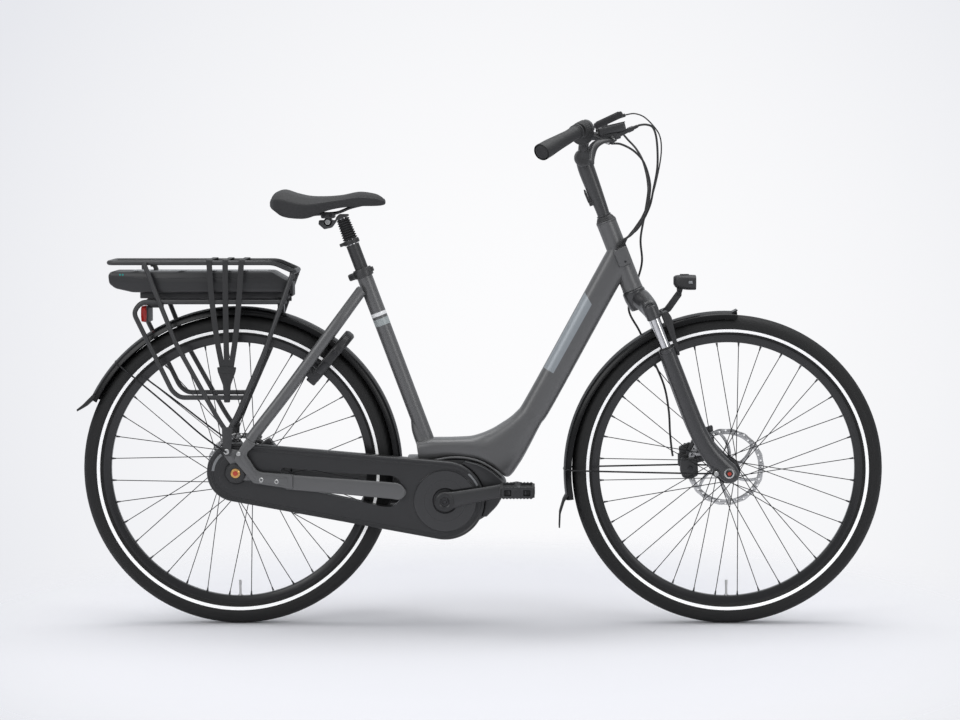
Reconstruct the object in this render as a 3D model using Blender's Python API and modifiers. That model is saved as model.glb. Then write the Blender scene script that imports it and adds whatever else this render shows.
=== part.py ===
# Low-step city bike with a motor at the cranks and a battery in the carrier.
# Real size in metres: X runs forward, Y to the rider's left, Z up; the chain side is at -Y.
# Every size is given from the rear axle and the ground, and bike_origin centres the whole.

import math

import bpy
import bmesh
from mathutils import Vector

# Driving dimensions: wheels
WHEELBASE = 1.127
TAIL_REACH = 0.370
WHEEL_RADIUS = 0.358
TYRE_HALF_WIDTH = 0.0232
RIM_SEAT_RADIUS = 0.3105
RIM_EDGE_RADIUS = 0.3175
RIM_INNER_RADIUS = 0.2945
RIM_HALF_WIDTH = 0.0122
SPOKES = 36
SPOKE_RADIUS = 0.0010
WHEEL_STEPS = 36
AXLE_RADIUS = 0.0060
FRONT_ROTOR_RADIUS = 0.0900
REAR_ROTOR_RADIUS = 0.0800
ROTOR_THICKNESS = 0.0020

# Driving dimensions: frame
CRANK_X = 0.4777
CRANK_HEIGHT = 0.2932
HEAD_ANGLE = math.radians(68.5)
HEAD_LENGTH = 0.1695
HEAD_RADIUS = 0.0233
AXLE_TO_CROWN = 0.467
RAKE = 0.051
SEAT_ANGLE = math.radians(69.5)
SEAT_LINE_BEHIND_CRANK = -0.0053
SEAT_TUBE_LENGTH = 0.5548
SEAT_TUBE_RADIUS = 0.0180
STEERER_RADIUS = 0.0143

# Driving dimensions: drive
CRANK_LENGTH = 0.170
CRANK_REST_ANGLE = math.radians(11.6)
CHAINRING_TEETH = 38
SPROCKET_TEETH = 19
CHAIN_PITCH = 0.0127
CHAIN_LINE = 0.0490
CASE_FRONT_RADIUS = 0.0905
CASE_REAR_RADIUS = 0.0675
CASE_OUTER_FACE = 0.0640
CASE_INNER_FACE = 0.0360
CASE_WALL = 0.0016

# Driving dimensions: hubs and spokes
SPOKE_LAY = math.radians(66)
SPOKE_STEP = 0.0013
RIM_SPOKE_OFFSET = 0.0030
REAR_HUB_RIGHT = 0.0430
REAR_HUB_LEFT = 0.0600
REAR_ROTOR_Y = 0.0500
FRONT_HUB_END = 0.0490
FRONT_ROTOR_Y = 0.0445

# Driving dimensions: rear triangle and kickstand
REAR_DROPOUT_OUTER = 0.0725
REAR_EYE_INNER = 0.0663
STAY_RADIUS = 0.0125
STAY_FLAT = 0.0085
CHAINSTAY_Y = 0.0715
LOWER_TUBE_X = 0.3790
LOWER_TUBE_Z = 0.3130
LOWER_TUBE_RADIUS = 0.0100
STAND_PIVOT = (0.3790, 0.0480, 0.2700)
STAND_AXIS = Vector((-0.14, 0.98, 0.13)).normalized()

# Driving dimensions: front frame
BEARING_COVER = 0.0120
PORT_UP = 0.0800
CRADLE_BACK_REAR = 0.3895
CRADLE_BACK_FRONT = 0.4260
# Stations of the low-step beam as (upper edge, lower edge, half width), from the crank
BEAM_STATIONS = [
    ((0.3852, 0.5961), (0.4215, 0.5290), 0.0215),
    ((0.3687, 0.5660), (0.4190, 0.5230), 0.0255),
    ((0.3347, 0.5041), (0.3896, 0.4738), 0.0265),
    ((0.1941, 0.2469), (0.2490, 0.2164), 0.0275),
    ((0.1620, 0.1980), (0.2195, 0.1702), 0.0290),
    ((0.1208, 0.1676), (0.1953, 0.1237), 0.0320),
    ((0.0949, 0.1539), (0.1711, 0.0806), 0.0345),
    ((0.0780, 0.1475), (0.1440, 0.0480), 0.0350),
    ((0.0600, 0.1425), (0.1164, 0.0657), 0.0350),
    ((0.0420, 0.1408), (0.0780, 0.0850), 0.0350),
    ((0.0095, 0.1395), (0.0141, 0.0930), 0.0345),
    ((-0.0367, 0.1386), (-0.0229, 0.0876), 0.0330),
    ((-0.0680, 0.1330), (-0.0598, 0.0818), 0.0300)]

# Driving dimensions: motor and pedals
MOTOR_LEFT = 0.0560
MOTOR_CLEARANCE = 0.0006
SPINDLE_RADIUS = 0.0090
COVER_DEPTH = 0.0180
PEDAL_INNER = 0.0970
PEDAL_LENGTH = 0.0920
# Outline of the motor's body from the crank, as (x, z)
MOTOR_OUTLINE = [
    (-0.0570, 0.0800), (-0.0229, 0.0862), (0.0141, 0.0915), (0.0460, 0.0905), (0.0790, 0.0820),
    (0.1080, 0.0660), (0.1290, 0.0475), (0.1370, 0.0380), (0.1398, 0.0270), (0.1324, 0.0093),
    (0.1195, -0.0137),
    (0.0953, -0.0381), (0.0600, -0.0600), (0.0200, -0.0740), (-0.0250, -0.0740), (-0.0500, -0.0560),
    (-0.0585, -0.0200)]

# Driving dimensions: fork and lamp, as (ahead, up) in the steering frame
FORK_OUTER_FACE = 0.0780
STANCHION_AHEAD = 0.0210
STANCHION_Y = 0.0620
STANCHION_RADIUS = 0.0125
STANCHION_FOOT = -0.2450
LEG_TOP = -0.1500
FORK_TRAVEL = 0.040
CROWN_FOOT = -0.0770
QUILL_RADIUS = 0.0111
STAY_BOLT = (-0.0300, 0.0000)
LAMP_PIVOT = (0.0960, -0.0470)
# Stations of a fork leg as (ahead, up, half depth, across, half width)
LEG_STATIONS = [
    (0.0212, -0.1500, 0.0185, 0.0620, 0.0168), (0.0200, -0.2150, 0.0195, 0.0620, 0.0168),
    (0.0190, -0.2950, 0.0200, 0.0622, 0.0160), (0.0194, -0.3450, 0.0202, 0.0630, 0.0150),
    (0.0232, -0.3880, 0.0206, 0.0640, 0.0140), (0.0318, -0.4220, 0.0215, 0.0640, 0.0140),
    (0.0430, -0.4500, 0.0222, 0.0640, 0.0140), (0.0510, -0.4670, 0.0225, 0.0640, 0.0140),
    (0.0585, -0.4830, 0.0165, 0.0640, 0.0140), (0.0610, -0.4885, 0.0070, 0.0640, 0.0130)]

# Driving dimensions: fenders
FENDER_HALF_WIDTH = 0.0300
FENDER_DROP = 0.0150
FENDER_WALL = 0.0016
FENDER_OFFSET = 0.0055
FRONT_FENDER_RADIUS = 0.3705
REAR_FENDER_RADIUS = 0.3760
STAY_WIRE = 0.0020

# Driving dimensions: carrier, battery and ring lock, from the rear axle along X and from the ground
RAIL_Y = 0.0600
RAIL_RADIUS = 0.0055
LEG_Y = 0.0700
LOOP_Y = 0.0640
LOOP_HEIGHT = 0.7490
PLATFORM_HEIGHT = 0.8379
CARRIER_BOLT = (-0.0197, 0.4060)
BATTERY_REAR = -0.2888
BATTERY_FRONT = 0.1215
BATTERY_HALF_WIDTH = 0.0540
BATTERY_BOTTOM = 0.7700
BATTERY_TOP = 0.8175
LOCK_ANGLE = 50.5

# Driving dimensions: handlebar, as (ahead, across, up) from the middle of its clamp
BAR_PIVOT_AHEAD = 0.0040
BAR_PIVOT_UP = 0.3227
BAR_CLAMP_RADIUS = 0.0127
BAR_RADIUS = 0.0111
BAR_SIDES = 8
LEVER_PIVOT = (-0.0185, 0.2180)
LEVER_HALF = 0.0070
SHIFTER_INNER = (0.0030, 0.1280, 0.0675)
SHIFTER_OUTER = (-0.0130, 0.1880, 0.0612)
LEVER_TOP = (0.0640, 0.1375, 0.0388)
LEVER_AXIS = Vector((0.567, 0.55, 0.616)).normalized()
LEVER_TIP = (0.0240, 0.2120, -0.0030)
KNUCKLE_RADIUS = 0.0052
KNUCKLE_HALF = 0.0044
BRAKE_FRONT = (0.0740, 0.1255, 0.0511)
HOSE_TIP_RIGHT = (0.1200, 0.1300, 0.0718)
HOSE_TIP_LEFT = (0.0880, 0.1300, 0.0560)
SHIFT_ROOT = (0.0060, 0.1300, 0.0548)
SHIFT_TIP = (0.0600, 0.1190, 0.0345)
DISPLAY_ROOT = (0.0780, 0.0040, 0.0925)
DISPLAY_TIP = (0.0960, 0.0040, 0.0975)

# Driving dimensions: lines from the handlebar
HOSE_RADIUS = 0.0025
WIRE_RADIUS = 0.0016
PORT_TOP = 0.1040
LINE_GAP = 0.00096

# Driving dimensions: seat
SEATPOST_RADIUS = 0.0152
POST_TOP = 0.0730
MAST_RADIUS = 0.0112
MAST_TOP = 0.1330
TILT_BOLT = (0.2095, 0.9291)
TILT_BARREL_RADIUS = 0.0100
# Stations of the saddle as (x, top, skirt bottom, half width, crown)
SADDLE_STATIONS = [
    (0.0815, 0.9830, 0.9640, 0.0480, 0.0040),
    (0.0900, 0.9960, 0.9570, 0.0760, 0.0060),
    (0.1120, 1.0035, 0.9440, 0.0940, 0.0070),
    (0.1400, 0.9950, 0.9390, 0.0960, 0.0060),
    (0.1700, 0.9890, 0.9400, 0.0860, 0.0060),
    (0.2050, 0.9885, 0.9540, 0.0640, 0.0060),
    (0.2400, 0.9915, 0.9620, 0.0440, 0.0060),
    (0.2800, 0.9985, 0.9655, 0.0320, 0.0070),
    (0.3150, 0.9945, 0.9660, 0.0270, 0.0070),
    (0.3360, 0.9830, 0.9680, 0.0200, 0.0050)]

# Clearances
GAP = 0.0003
WELD = 0.000001

STEM_FOOT = HEAD_LENGTH + BEARING_COVER + GAP
DOCK_BOTTOM = LOOP_HEIGHT + RAIL_RADIUS + GAP
REAR_AXLE_X = (TAIL_REACH - WHEELBASE - WHEEL_RADIUS) / 2
HEAD_TILT = HEAD_ANGLE - math.pi / 2
SEAT_TILT = SEAT_ANGLE - math.pi / 2
CHAINRING_RADIUS = CHAIN_PITCH / 2 / math.sin(math.pi / CHAINRING_TEETH)
SPROCKET_RADIUS = CHAIN_PITCH / 2 / math.sin(math.pi / SPROCKET_TEETH)

for leftover in list(bpy.data.objects):
    bpy.data.objects.remove(leftover)

bike_collection = bpy.data.collections.new("city_bike")
bpy.context.scene.collection.children.link(bike_collection)


# Materials
def make_material(name, colour, roughness, metallic=0.0):
    material = bpy.data.materials.new(name)
    material.use_nodes = True
    shader = material.node_tree.nodes["Principled BSDF"]
    shader.inputs["Base Color"].default_value = (*colour, 1.0)
    shader.inputs["Roughness"].default_value = roughness
    shader.inputs["Metallic"].default_value = metallic
    return material


FRAME_PAINT = make_material("frame_paint", (0.085, 0.085, 0.086), 0.42, 0.35)
BLACK_PLASTIC = make_material("black_plastic", (0.022, 0.022, 0.023), 0.5)
GLOSS_BLACK = make_material("gloss_black", (0.012, 0.012, 0.013), 0.25)
BLACK_METAL = make_material("black_metal", (0.030, 0.030, 0.031), 0.4, 0.6)
TYRE_RUBBER = make_material("tyre_rubber", (0.020, 0.020, 0.020), 0.8)
SOFT_RUBBER = make_material("soft_rubber", (0.018, 0.018, 0.018), 0.75)
STEEL = make_material("steel", (0.55, 0.55, 0.54), 0.3, 1.0)
SADDLE_SKIN = make_material("saddle_skin", (0.020, 0.020, 0.021), 0.6)
LAMP_RED = make_material("lamp_red", (0.45, 0.02, 0.02), 0.2)


# Frames of reference
def make_frame(name, x, y, z, tilt=0.0, parent=None, turn=0.0):
    frame = bpy.data.objects.new(name, None)
    frame.empty_display_size = 0.05
    frame.location = (x, y, z)
    frame.rotation_euler = (turn, tilt, 0.0)
    frame.parent = parent
    bike_collection.objects.link(frame)
    bpy.context.view_layer.update()
    return frame


BIKE = make_frame("bike_origin", REAR_AXLE_X, 0, 0)
REAR_AXLE = make_frame("rear_axle_centre", 0, 0, WHEEL_RADIUS, parent=BIKE)
FRONT_AXLE = make_frame("front_axle_centre", WHEELBASE, 0, WHEEL_RADIUS, parent=BIKE)
CRANK = make_frame("crank_centre", CRANK_X, 0, CRANK_HEIGHT, parent=BIKE)
HEAD_UP = Vector((-math.cos(HEAD_ANGLE), 0, math.sin(HEAD_ANGLE)))
HEAD_AHEAD = Vector((math.sin(HEAD_ANGLE), 0, math.cos(HEAD_ANGLE)))
HEAD_BOTTOM = Vector((WHEELBASE, 0, WHEEL_RADIUS)) - HEAD_AHEAD * RAKE + HEAD_UP * AXLE_TO_CROWN
STEERING = make_frame("steering_axis", HEAD_BOTTOM.x, 0, HEAD_BOTTOM.z, HEAD_TILT, BIKE)
SEAT_UP = Vector((-math.cos(SEAT_ANGLE), 0, math.sin(SEAT_ANGLE)))
SEAT_FOOT = Vector((CRANK_X - SEAT_LINE_BEHIND_CRANK, 0, CRANK_HEIGHT))
SEAT_TOP = SEAT_FOOT + SEAT_UP * SEAT_TUBE_LENGTH
SEAT = make_frame("seat_axis", SEAT_TOP.x, 0, SEAT_TOP.z, SEAT_TILT, BIKE)


# Building helpers
def new_object(name, data, frame):
    item = bpy.data.objects.new(name, data)
    item.parent = frame
    bike_collection.objects.link(item)
    return item


def box(frame, size, centre, bevel=0.0, tilt=0.0, segments=1):
    """A cube with sides size; tilt turns it about Y."""
    mesh = bpy.data.meshes.new("box")
    work = bmesh.new()
    bmesh.ops.create_cube(work, size=1.0)
    bmesh.ops.scale(work, vec=size, verts=work.verts)
    work.to_mesh(mesh)
    work.free()
    item = new_object("box", mesh, frame)
    item.location = centre
    item.rotation_euler = (0, tilt, 0)
    if bevel:
        edge = item.modifiers.new("edge", "BEVEL")
        edge.width = bevel
        edge.segments = segments
        edge.limit_method = "ANGLE"
    return item


def rod(frame, start, end, radius, end_radius=None, sides=16):
    """A straight round bar from start to end."""
    start = Vector(start)
    end = Vector(end)
    mesh = bpy.data.meshes.new("rod")
    work = bmesh.new()
    bmesh.ops.create_cone(
        work, cap_ends=True, segments=sides, radius1=radius,
        radius2=radius if end_radius is None else end_radius, depth=(end - start).length)
    work.to_mesh(mesh)
    work.free()
    item = new_object("rod", mesh, frame)
    item.location = (start + end) / 2
    item.rotation_euler = (end - start).to_track_quat("Z", "Y").to_euler()
    return item


def turned(frame, profile, sides=32, along="Y", centre=(0, 0, 0), closed=False,
           start=0.0, sweep=2 * math.pi):
    """A profile of (radius, position) points turned about Y, or about Z."""
    mesh = bpy.data.meshes.new("turned")
    edges = [(index, index + 1) for index in range(len(profile) - 1)]
    if closed:
        edges.append((len(profile) - 1, 0))
    mesh.from_pydata([(radius, 0, position) for radius, position in profile], edges, [])
    item = new_object("turned", mesh, frame)
    item.location = centre
    item.rotation_euler = (-math.pi / 2, -start, 0) if along == "Y" else (0, 0, start)
    screw = item.modifiers.new("turn", "SCREW")
    screw.angle = sweep
    screw.steps = sides
    screw.render_steps = sides
    screw.use_merge_vertices = True
    screw.merge_threshold = 0.00001
    return item


def tube(frame, points, radius, resolution=1, radii=None, closed=False):
    """A wire or tube through points; radii scales its radius at each one."""
    curve = bpy.data.curves.new("tube", "CURVE")
    curve.dimensions = "3D"
    curve.bevel_depth = radius
    curve.bevel_resolution = resolution
    curve.use_fill_caps = not closed
    spline = curve.splines.new("POLY")
    spline.points.add(len(points) - 1)
    spline.use_cyclic_u = closed
    for index, point in enumerate(points):
        spline.points[index].co = (*point, 1.0)
        spline.points[index].radius = radii[index] if radii else 1.0
    return new_object("tube", curve, frame)


def plate(frame, outline, thickness, y=0.0, holes=()):
    """A flat plate with an outline of (x, z) points, standing across Y."""
    curve = bpy.data.curves.new("plate", "CURVE")
    curve.dimensions = "2D"
    curve.fill_mode = "BOTH"
    curve.extrude = thickness / 2
    for loop in (outline, *holes):
        spline = curve.splines.new("POLY")
        spline.points.add(len(loop) - 1)
        spline.use_cyclic_u = True
        for index, (x, z) in enumerate(loop):
            spline.points[index].co = (x, z, 0.0, 1.0)
    item = new_object("plate", curve, frame)
    item.location = (0, y, 0)
    item.rotation_euler = (math.pi / 2, 0, 0)
    return item


def section(centre, across, upward, half_width, half_height, power=2.0, sides=12):
    """A ring of points: a rounded box for a high power, an ellipse for 2."""
    ring = []
    for index in range(sides):
        angle = 2 * math.pi * (index + 0.5) / sides
        right = math.copysign(abs(math.cos(angle)) ** (2 / power), math.cos(angle))
        up = math.copysign(abs(math.sin(angle)) ** (2 / power), math.sin(angle))
        ring.append(Vector(centre) + Vector(across) * right * half_width + Vector(upward) * up * half_height)
    return ring


def loft(frame, rings):
    """A closed skin through rings of as many points each."""
    mesh = bpy.data.meshes.new("loft")
    work = bmesh.new()
    layers = [[work.verts.new(point) for point in ring] for ring in rings]
    for first, second in zip(layers, layers[1:]):
        for index in range(len(first)):
            work.faces.new((first[index - 1], first[index], second[index], second[index - 1]))
    work.faces.new(layers[0])
    work.faces.new(layers[-1])
    bmesh.ops.recalc_face_normals(work, faces=work.faces)
    work.to_mesh(mesh)
    work.free()
    return new_object("loft", mesh, frame)


def as_mesh(item):
    """The closed mesh of an object as it stands, in world coordinates; the object is removed."""
    bpy.context.view_layer.update()
    graph = bpy.context.evaluated_depsgraph_get()
    mesh = bpy.data.meshes.new_from_object(item.evaluated_get(graph))
    work = bmesh.new()
    work.from_mesh(mesh)
    bmesh.ops.remove_doubles(work, verts=work.verts, dist=WELD)
    work.transform(item.matrix_world)
    work.to_mesh(mesh)
    work.free()
    bpy.data.objects.remove(item)
    return new_object("mesh", mesh, None)


def together(items):
    """Pieces that don't touch, as one mesh for one Boolean."""
    work = bmesh.new()
    for item in items:
        item = as_mesh(item)
        work.from_mesh(item.data)
        bpy.data.objects.remove(item)
    mesh = bpy.data.meshes.new("together")
    work.to_mesh(mesh)
    work.free()
    return new_object("together", mesh, None)


def combine(base, tools, operation):
    base = as_mesh(base)
    for tool in tools:
        tool = as_mesh(tool)
        change = base.modifiers.new("change", "BOOLEAN")
        change.operation = operation
        change.solver = "EXACT"
        change.object = tool
        base = as_mesh(base)
        bpy.data.objects.remove(tool)
    return base


def join(base, *tools):
    return combine(base, tools, "UNION")


def cut(base, *tools):
    return combine(base, tools, "DIFFERENCE")


def round_hole(radius, sides=16):
    """Radius of a hole with flat sides that clears a round bar."""
    return (radius + GAP) / math.cos(math.pi / sides)


def other_side(item):
    """The mirror image of a mesh in world coordinates, across the bike's middle plane."""
    mesh = item.data.copy()
    work = bmesh.new()
    work.from_mesh(mesh)
    bmesh.ops.scale(work, vec=(1, -1, 1), verts=work.verts)
    bmesh.ops.reverse_faces(work, faces=work.faces)
    work.to_mesh(mesh)
    work.free()
    return new_object("other_side", mesh, None)


def finish(item, name, material, frame):
    """Names a piece, hangs it on its frame and shades it."""
    if item.parent is None:
        item.data.transform(frame.matrix_world.inverted())
        item.parent = frame
    item.name = name
    item.data.name = name
    item.data.materials.append(material)
    if item.type == "MESH":
        item.data.shade_smooth()
        item.data.set_sharp_from_angle(angle=math.radians(40))
    return item


def arc(centre_x, centre_z, radius, start, end, steps):
    """Points on an arc from start to end, in degrees from +X towards +Z."""
    points = []
    for index in range(steps + 1):
        angle = math.radians(start + (end - start) * index / steps)
        points.append((centre_x + radius * math.cos(angle), centre_z + radius * math.sin(angle)))
    return points


def smooth_path(points, steps):
    """A Catmull-Rom curve through points, with steps points for each stretch."""
    points = [Vector(point) for point in points]
    ends = [2 * points[0] - points[1], *points, 2 * points[-1] - points[-2]]
    path = []
    for index in range(1, len(ends) - 2):
        before, first, second, after = ends[index - 1:index + 3]
        for step in range(steps):
            t = step / steps
            path.append(0.5 * (2 * first + (second - before) * t
                               + (2 * before - 5 * first + 4 * second - after) * t * t
                               + (3 * first - before - 3 * second + after) * t * t * t))
    path.append(points[-1])
    return path


# Wheels
def rim_profile():
    return [
        (RIM_INNER_RADIUS, 0.0070), (RIM_EDGE_RADIUS, RIM_HALF_WIDTH), (RIM_SEAT_RADIUS - GAP, 0.0095),
        (RIM_SEAT_RADIUS - GAP, -0.0095), (RIM_EDGE_RADIUS, -RIM_HALF_WIDTH), (RIM_INNER_RADIUS, -0.0070)]


def tyre_profile():
    half = [
        (RIM_SEAT_RADIUS, 0.0088), (RIM_EDGE_RADIUS + 0.0012, 0.0125), (0.3345, TYRE_HALF_WIDTH),
        (0.3520, 0.0150)]
    tread = [(WHEEL_RADIUS, 0.0)]
    return half + tread + [(radius, -y) for radius, y in reversed(half)]


def spokes(frame, flange_radius, right_flange, left_flange):
    """Crossed spokes as one curve: half lead from the flange's outer face, half trail from its inner face."""
    curve = bpy.data.curves.new("spokes", "CURVE")
    curve.dimensions = "3D"
    curve.bevel_depth = SPOKE_RADIUS
    curve.bevel_resolution = 0
    curve.use_fill_caps = True
    outer = RIM_INNER_RADIUS * math.cos(math.pi / WHEEL_STEPS) - GAP
    for index in range(SPOKES):
        side = -1 if index % 2 else 1
        flange = left_flange if side > 0 else right_flange
        leads = 1 if index % 4 < 2 else -1
        rim_angle = 2 * math.pi * (index + 0.5) / SPOKES
        hub_angle = rim_angle - leads * SPOKE_LAY
        spline = curve.splines.new("POLY")
        spline.points.add(1)
        spline.points[0].co = (
            flange_radius * math.cos(hub_angle), side * (abs(flange) + leads * SPOKE_STEP),
            flange_radius * math.sin(hub_angle), 1.0)
        spline.points[1].co = (
            outer * math.cos(rim_angle), side * (RIM_SPOKE_OFFSET + leads * SPOKE_STEP),
            outer * math.sin(rim_angle), 1.0)
    return new_object("spokes", curve, frame)


def hub_shell(frame, body_radius, flange_radius, flange, right_end, left_end, bearing_radius):
    """Hub shell with two flanges, bored for its axle."""
    half = 0.0025
    bore = round_hole(AXLE_RADIUS, 14)
    profile = [
        (bore, left_end), (bearing_radius, left_end), (bearing_radius, flange + 0.006),
        (flange_radius, flange + half), (flange_radius, flange - half),
        (body_radius, flange - 0.005), (body_radius, -flange + 0.005),
        (flange_radius, -flange + half), (flange_radius, -flange - half),
        (bearing_radius, -flange - 0.006), (bearing_radius, right_end), (bore, right_end)]
    return turned(frame, profile, sides=14, closed=True)


def rotor(frame, y, outer_radius, hub_radius):
    """Brake disc: a ring on six bent arms round a centre ring."""
    ring_width = 0.013
    ring = turned(frame, [
        (outer_radius - ring_width, y + ROTOR_THICKNESS / 2), (outer_radius, y + ROTOR_THICKNESS / 2),
        (outer_radius, y - ROTOR_THICKNESS / 2), (outer_radius - ring_width, y - ROTOR_THICKNESS / 2)],
        sides=24, closed=True)
    centre = turned(frame, [
        (hub_radius, y + ROTOR_THICKNESS / 2), (hub_radius + 0.009, y + ROTOR_THICKNESS / 2),
        (hub_radius + 0.009, y - ROTOR_THICKNESS / 2), (hub_radius, y - ROTOR_THICKNESS / 2)],
        sides=16, closed=True)
    arms = []
    for index in range(6):
        angle = math.radians(60 * index + 10)
        lean = math.radians(28)
        inner = hub_radius + 0.006
        outer = outer_radius - ring_width / 2
        start = Vector((inner * math.cos(angle), inner * math.sin(angle)))
        end = Vector((outer * math.cos(angle + lean), outer * math.sin(angle + lean)))
        side = Vector((-(end - start).y, (end - start).x)).normalized() * 0.0040
        outline = [start - side, end - side, end + side, start + side]
        arms.append(plate(frame, [tuple(point) for point in outline], ROTOR_THICKNESS * 0.9, y))
    return join(join(ring, together(arms)), centre)


def build_rear_wheel():
    finish(turned(REAR_AXLE, tyre_profile(), WHEEL_STEPS, closed=True), "rear_tyre", TYRE_RUBBER, REAR_AXLE)
    finish(turned(REAR_AXLE, rim_profile(), WHEEL_STEPS, closed=True), "rear_rim", GLOSS_BLACK, REAR_AXLE)
    shell = hub_shell(REAR_AXLE, 0.030, 0.041, 0.028, -REAR_HUB_RIGHT, REAR_HUB_LEFT, 0.020)
    hub = join(shell, spokes(REAR_AXLE, 0.036, 0.028, 0.028))
    finish(hub, "rear_hub_and_spokes", GLOSS_BLACK, REAR_AXLE)
    disc = rotor(REAR_AXLE, REAR_ROTOR_Y, REAR_ROTOR_RADIUS, round_hole(0.020))
    finish(disc, "rear_rotor", STEEL, REAR_AXLE)


def build_front_wheel():
    finish(turned(FRONT_AXLE, tyre_profile(), WHEEL_STEPS, closed=True), "front_tyre", TYRE_RUBBER,
           FRONT_AXLE)
    finish(turned(FRONT_AXLE, rim_profile(), WHEEL_STEPS, closed=True), "front_rim", GLOSS_BLACK,
           FRONT_AXLE)
    shell = hub_shell(FRONT_AXLE, 0.022, 0.029, 0.030, -FRONT_HUB_END, FRONT_HUB_END, 0.015)
    hub = join(shell, spokes(FRONT_AXLE, 0.025, 0.030, 0.030))
    finish(hub, "front_hub_and_spokes", GLOSS_BLACK, FRONT_AXLE)
    disc = rotor(FRONT_AXLE, FRONT_ROTOR_Y, FRONT_ROTOR_RADIUS, round_hole(0.015))
    finish(disc, "front_rotor", STEEL, FRONT_AXLE)


def build_axles():
    """Each axle is one bar with a nut at both ends, outside the dropouts."""
    nut = 0.0105
    for name, frame, face in (("rear_axle", REAR_AXLE, REAR_DROPOUT_OUTER), ("front_axle", FRONT_AXLE,
                                                                             FORK_OUTER_FACE)):
        ends = face + GAP
        profile = [(0, ends + 0.0075), (0.0060, ends + 0.0075), (nut, ends + 0.0060),
                   (nut, ends), (AXLE_RADIUS, ends)]
        profile += [(radius, -y) for radius, y in reversed(profile)]
        finish(turned(frame, profile, sides=12), name, STEEL, frame)


# Rear triangle
def stay_path():
    """Centre line of the right seat stay, from the casting up to the seat tube."""
    return [(0.0330, -0.0712, 0.4340), (0.0497, -0.0690, 0.4568), (0.1201, -0.0625, 0.5477),
            (0.2200, -0.0520, 0.6835), (0.2560, -0.0370, 0.7325), (0.2780, -0.0235, 0.7625)]


def build_rear_frame():
    """Stays, castings and cross tubes, welded and bolted into one piece on each side of the wheel."""
    path = stay_path()
    rings = []
    for index, point in enumerate(path):
        ahead = Vector(path[min(index + 1, len(path) - 1)]) - Vector(path[max(index - 1, 0)])
        upward = ahead.cross(Vector((0, 1, 0))).normalized()
        across = upward.cross(ahead).normalized()
        rings.append(section(point, across, upward, STAY_FLAT, STAY_RADIUS, 2.2, 10))
    stay = loft(BIKE, rings)

    # Bent casting: from the stay's foot down to the chain stay, with an eye for the axle
    casting = plate(BIKE, [
        (-0.0029, 0.3885), (0.0035, 0.4050), (0.0260, 0.4390), (0.0480, 0.4250), (0.0243, 0.4026),
        (0.0498, 0.3619), (0.1307, 0.3549), (0.1306, 0.3218), (0.0442, 0.3352), (0.0401, 0.3366)],
        0.0100, -0.0765)
    eye = plate(BIKE, [
        *arc(0.0, WHEEL_RADIUS, 0.0190, 80, 300, 6), (0.0500, 0.3400), (0.0500, 0.3600), (0.0200, 0.3900)],
        0.0062, -0.0694)
    lug = box(BIKE, (0.016, 0.0096, 0.016), (CARRIER_BOLT[0], -0.0692, CARRIER_BOLT[1]))
    lug_web = plate(BIKE, [(-0.0277, 0.4000), (-0.0120, 0.4140), (0.0100, 0.4100), (0.0060, 0.3850),
                           (-0.0060, 0.3700)],
                    0.0062, -0.0694)
    tail = box(BIKE, (0.0200, 0.0040, 0.0300), (0.1200, -0.0735, 0.3378), tilt=math.radians(4.3))
    stay_bar = loft(BIKE, [
        section((x, -CHAINSTAY_Y, z), (0, 1, 0), (0.05, 0, 1), 0.0050, height, 3.5, 10)
        for x, z, height in ((0.1150, 0.3375, 0.0170), (0.2500, 0.3265, 0.0180), (0.3500, 0.3180, 0.0190),
                             (0.3740, 0.3145, 0.0180), (0.3860, 0.3130, 0.0090))])
    half = join(casting, eye, lug_web, lug, tail, stay_bar, stay)
    half = cut(half, rod(BIKE, (0, -0.10, WHEEL_RADIUS), (0, 0.10, WHEEL_RADIUS),
                         round_hole(AXLE_RADIUS, 12), sides=12))
    left = other_side(half)
    lower_tube = rod(BIKE, (LOWER_TUBE_X, -CHAINSTAY_Y, LOWER_TUBE_Z), (LOWER_TUBE_X, CHAINSTAY_Y,
                                                                        LOWER_TUBE_Z),
                     LOWER_TUBE_RADIUS, sides=14)
    upper_tube = rod(BIKE, (0.2650, -0.0320, 0.7450), (0.2650, 0.0320, 0.7450), 0.0080, sides=12)
    bracket = box(BIKE, (0.0170, 0.030, 0.050), (LOWER_TUBE_X, 0.0230, LOWER_TUBE_Z - 0.0250))
    return join(half, lower_tube, upper_tube, left, bracket)


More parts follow.
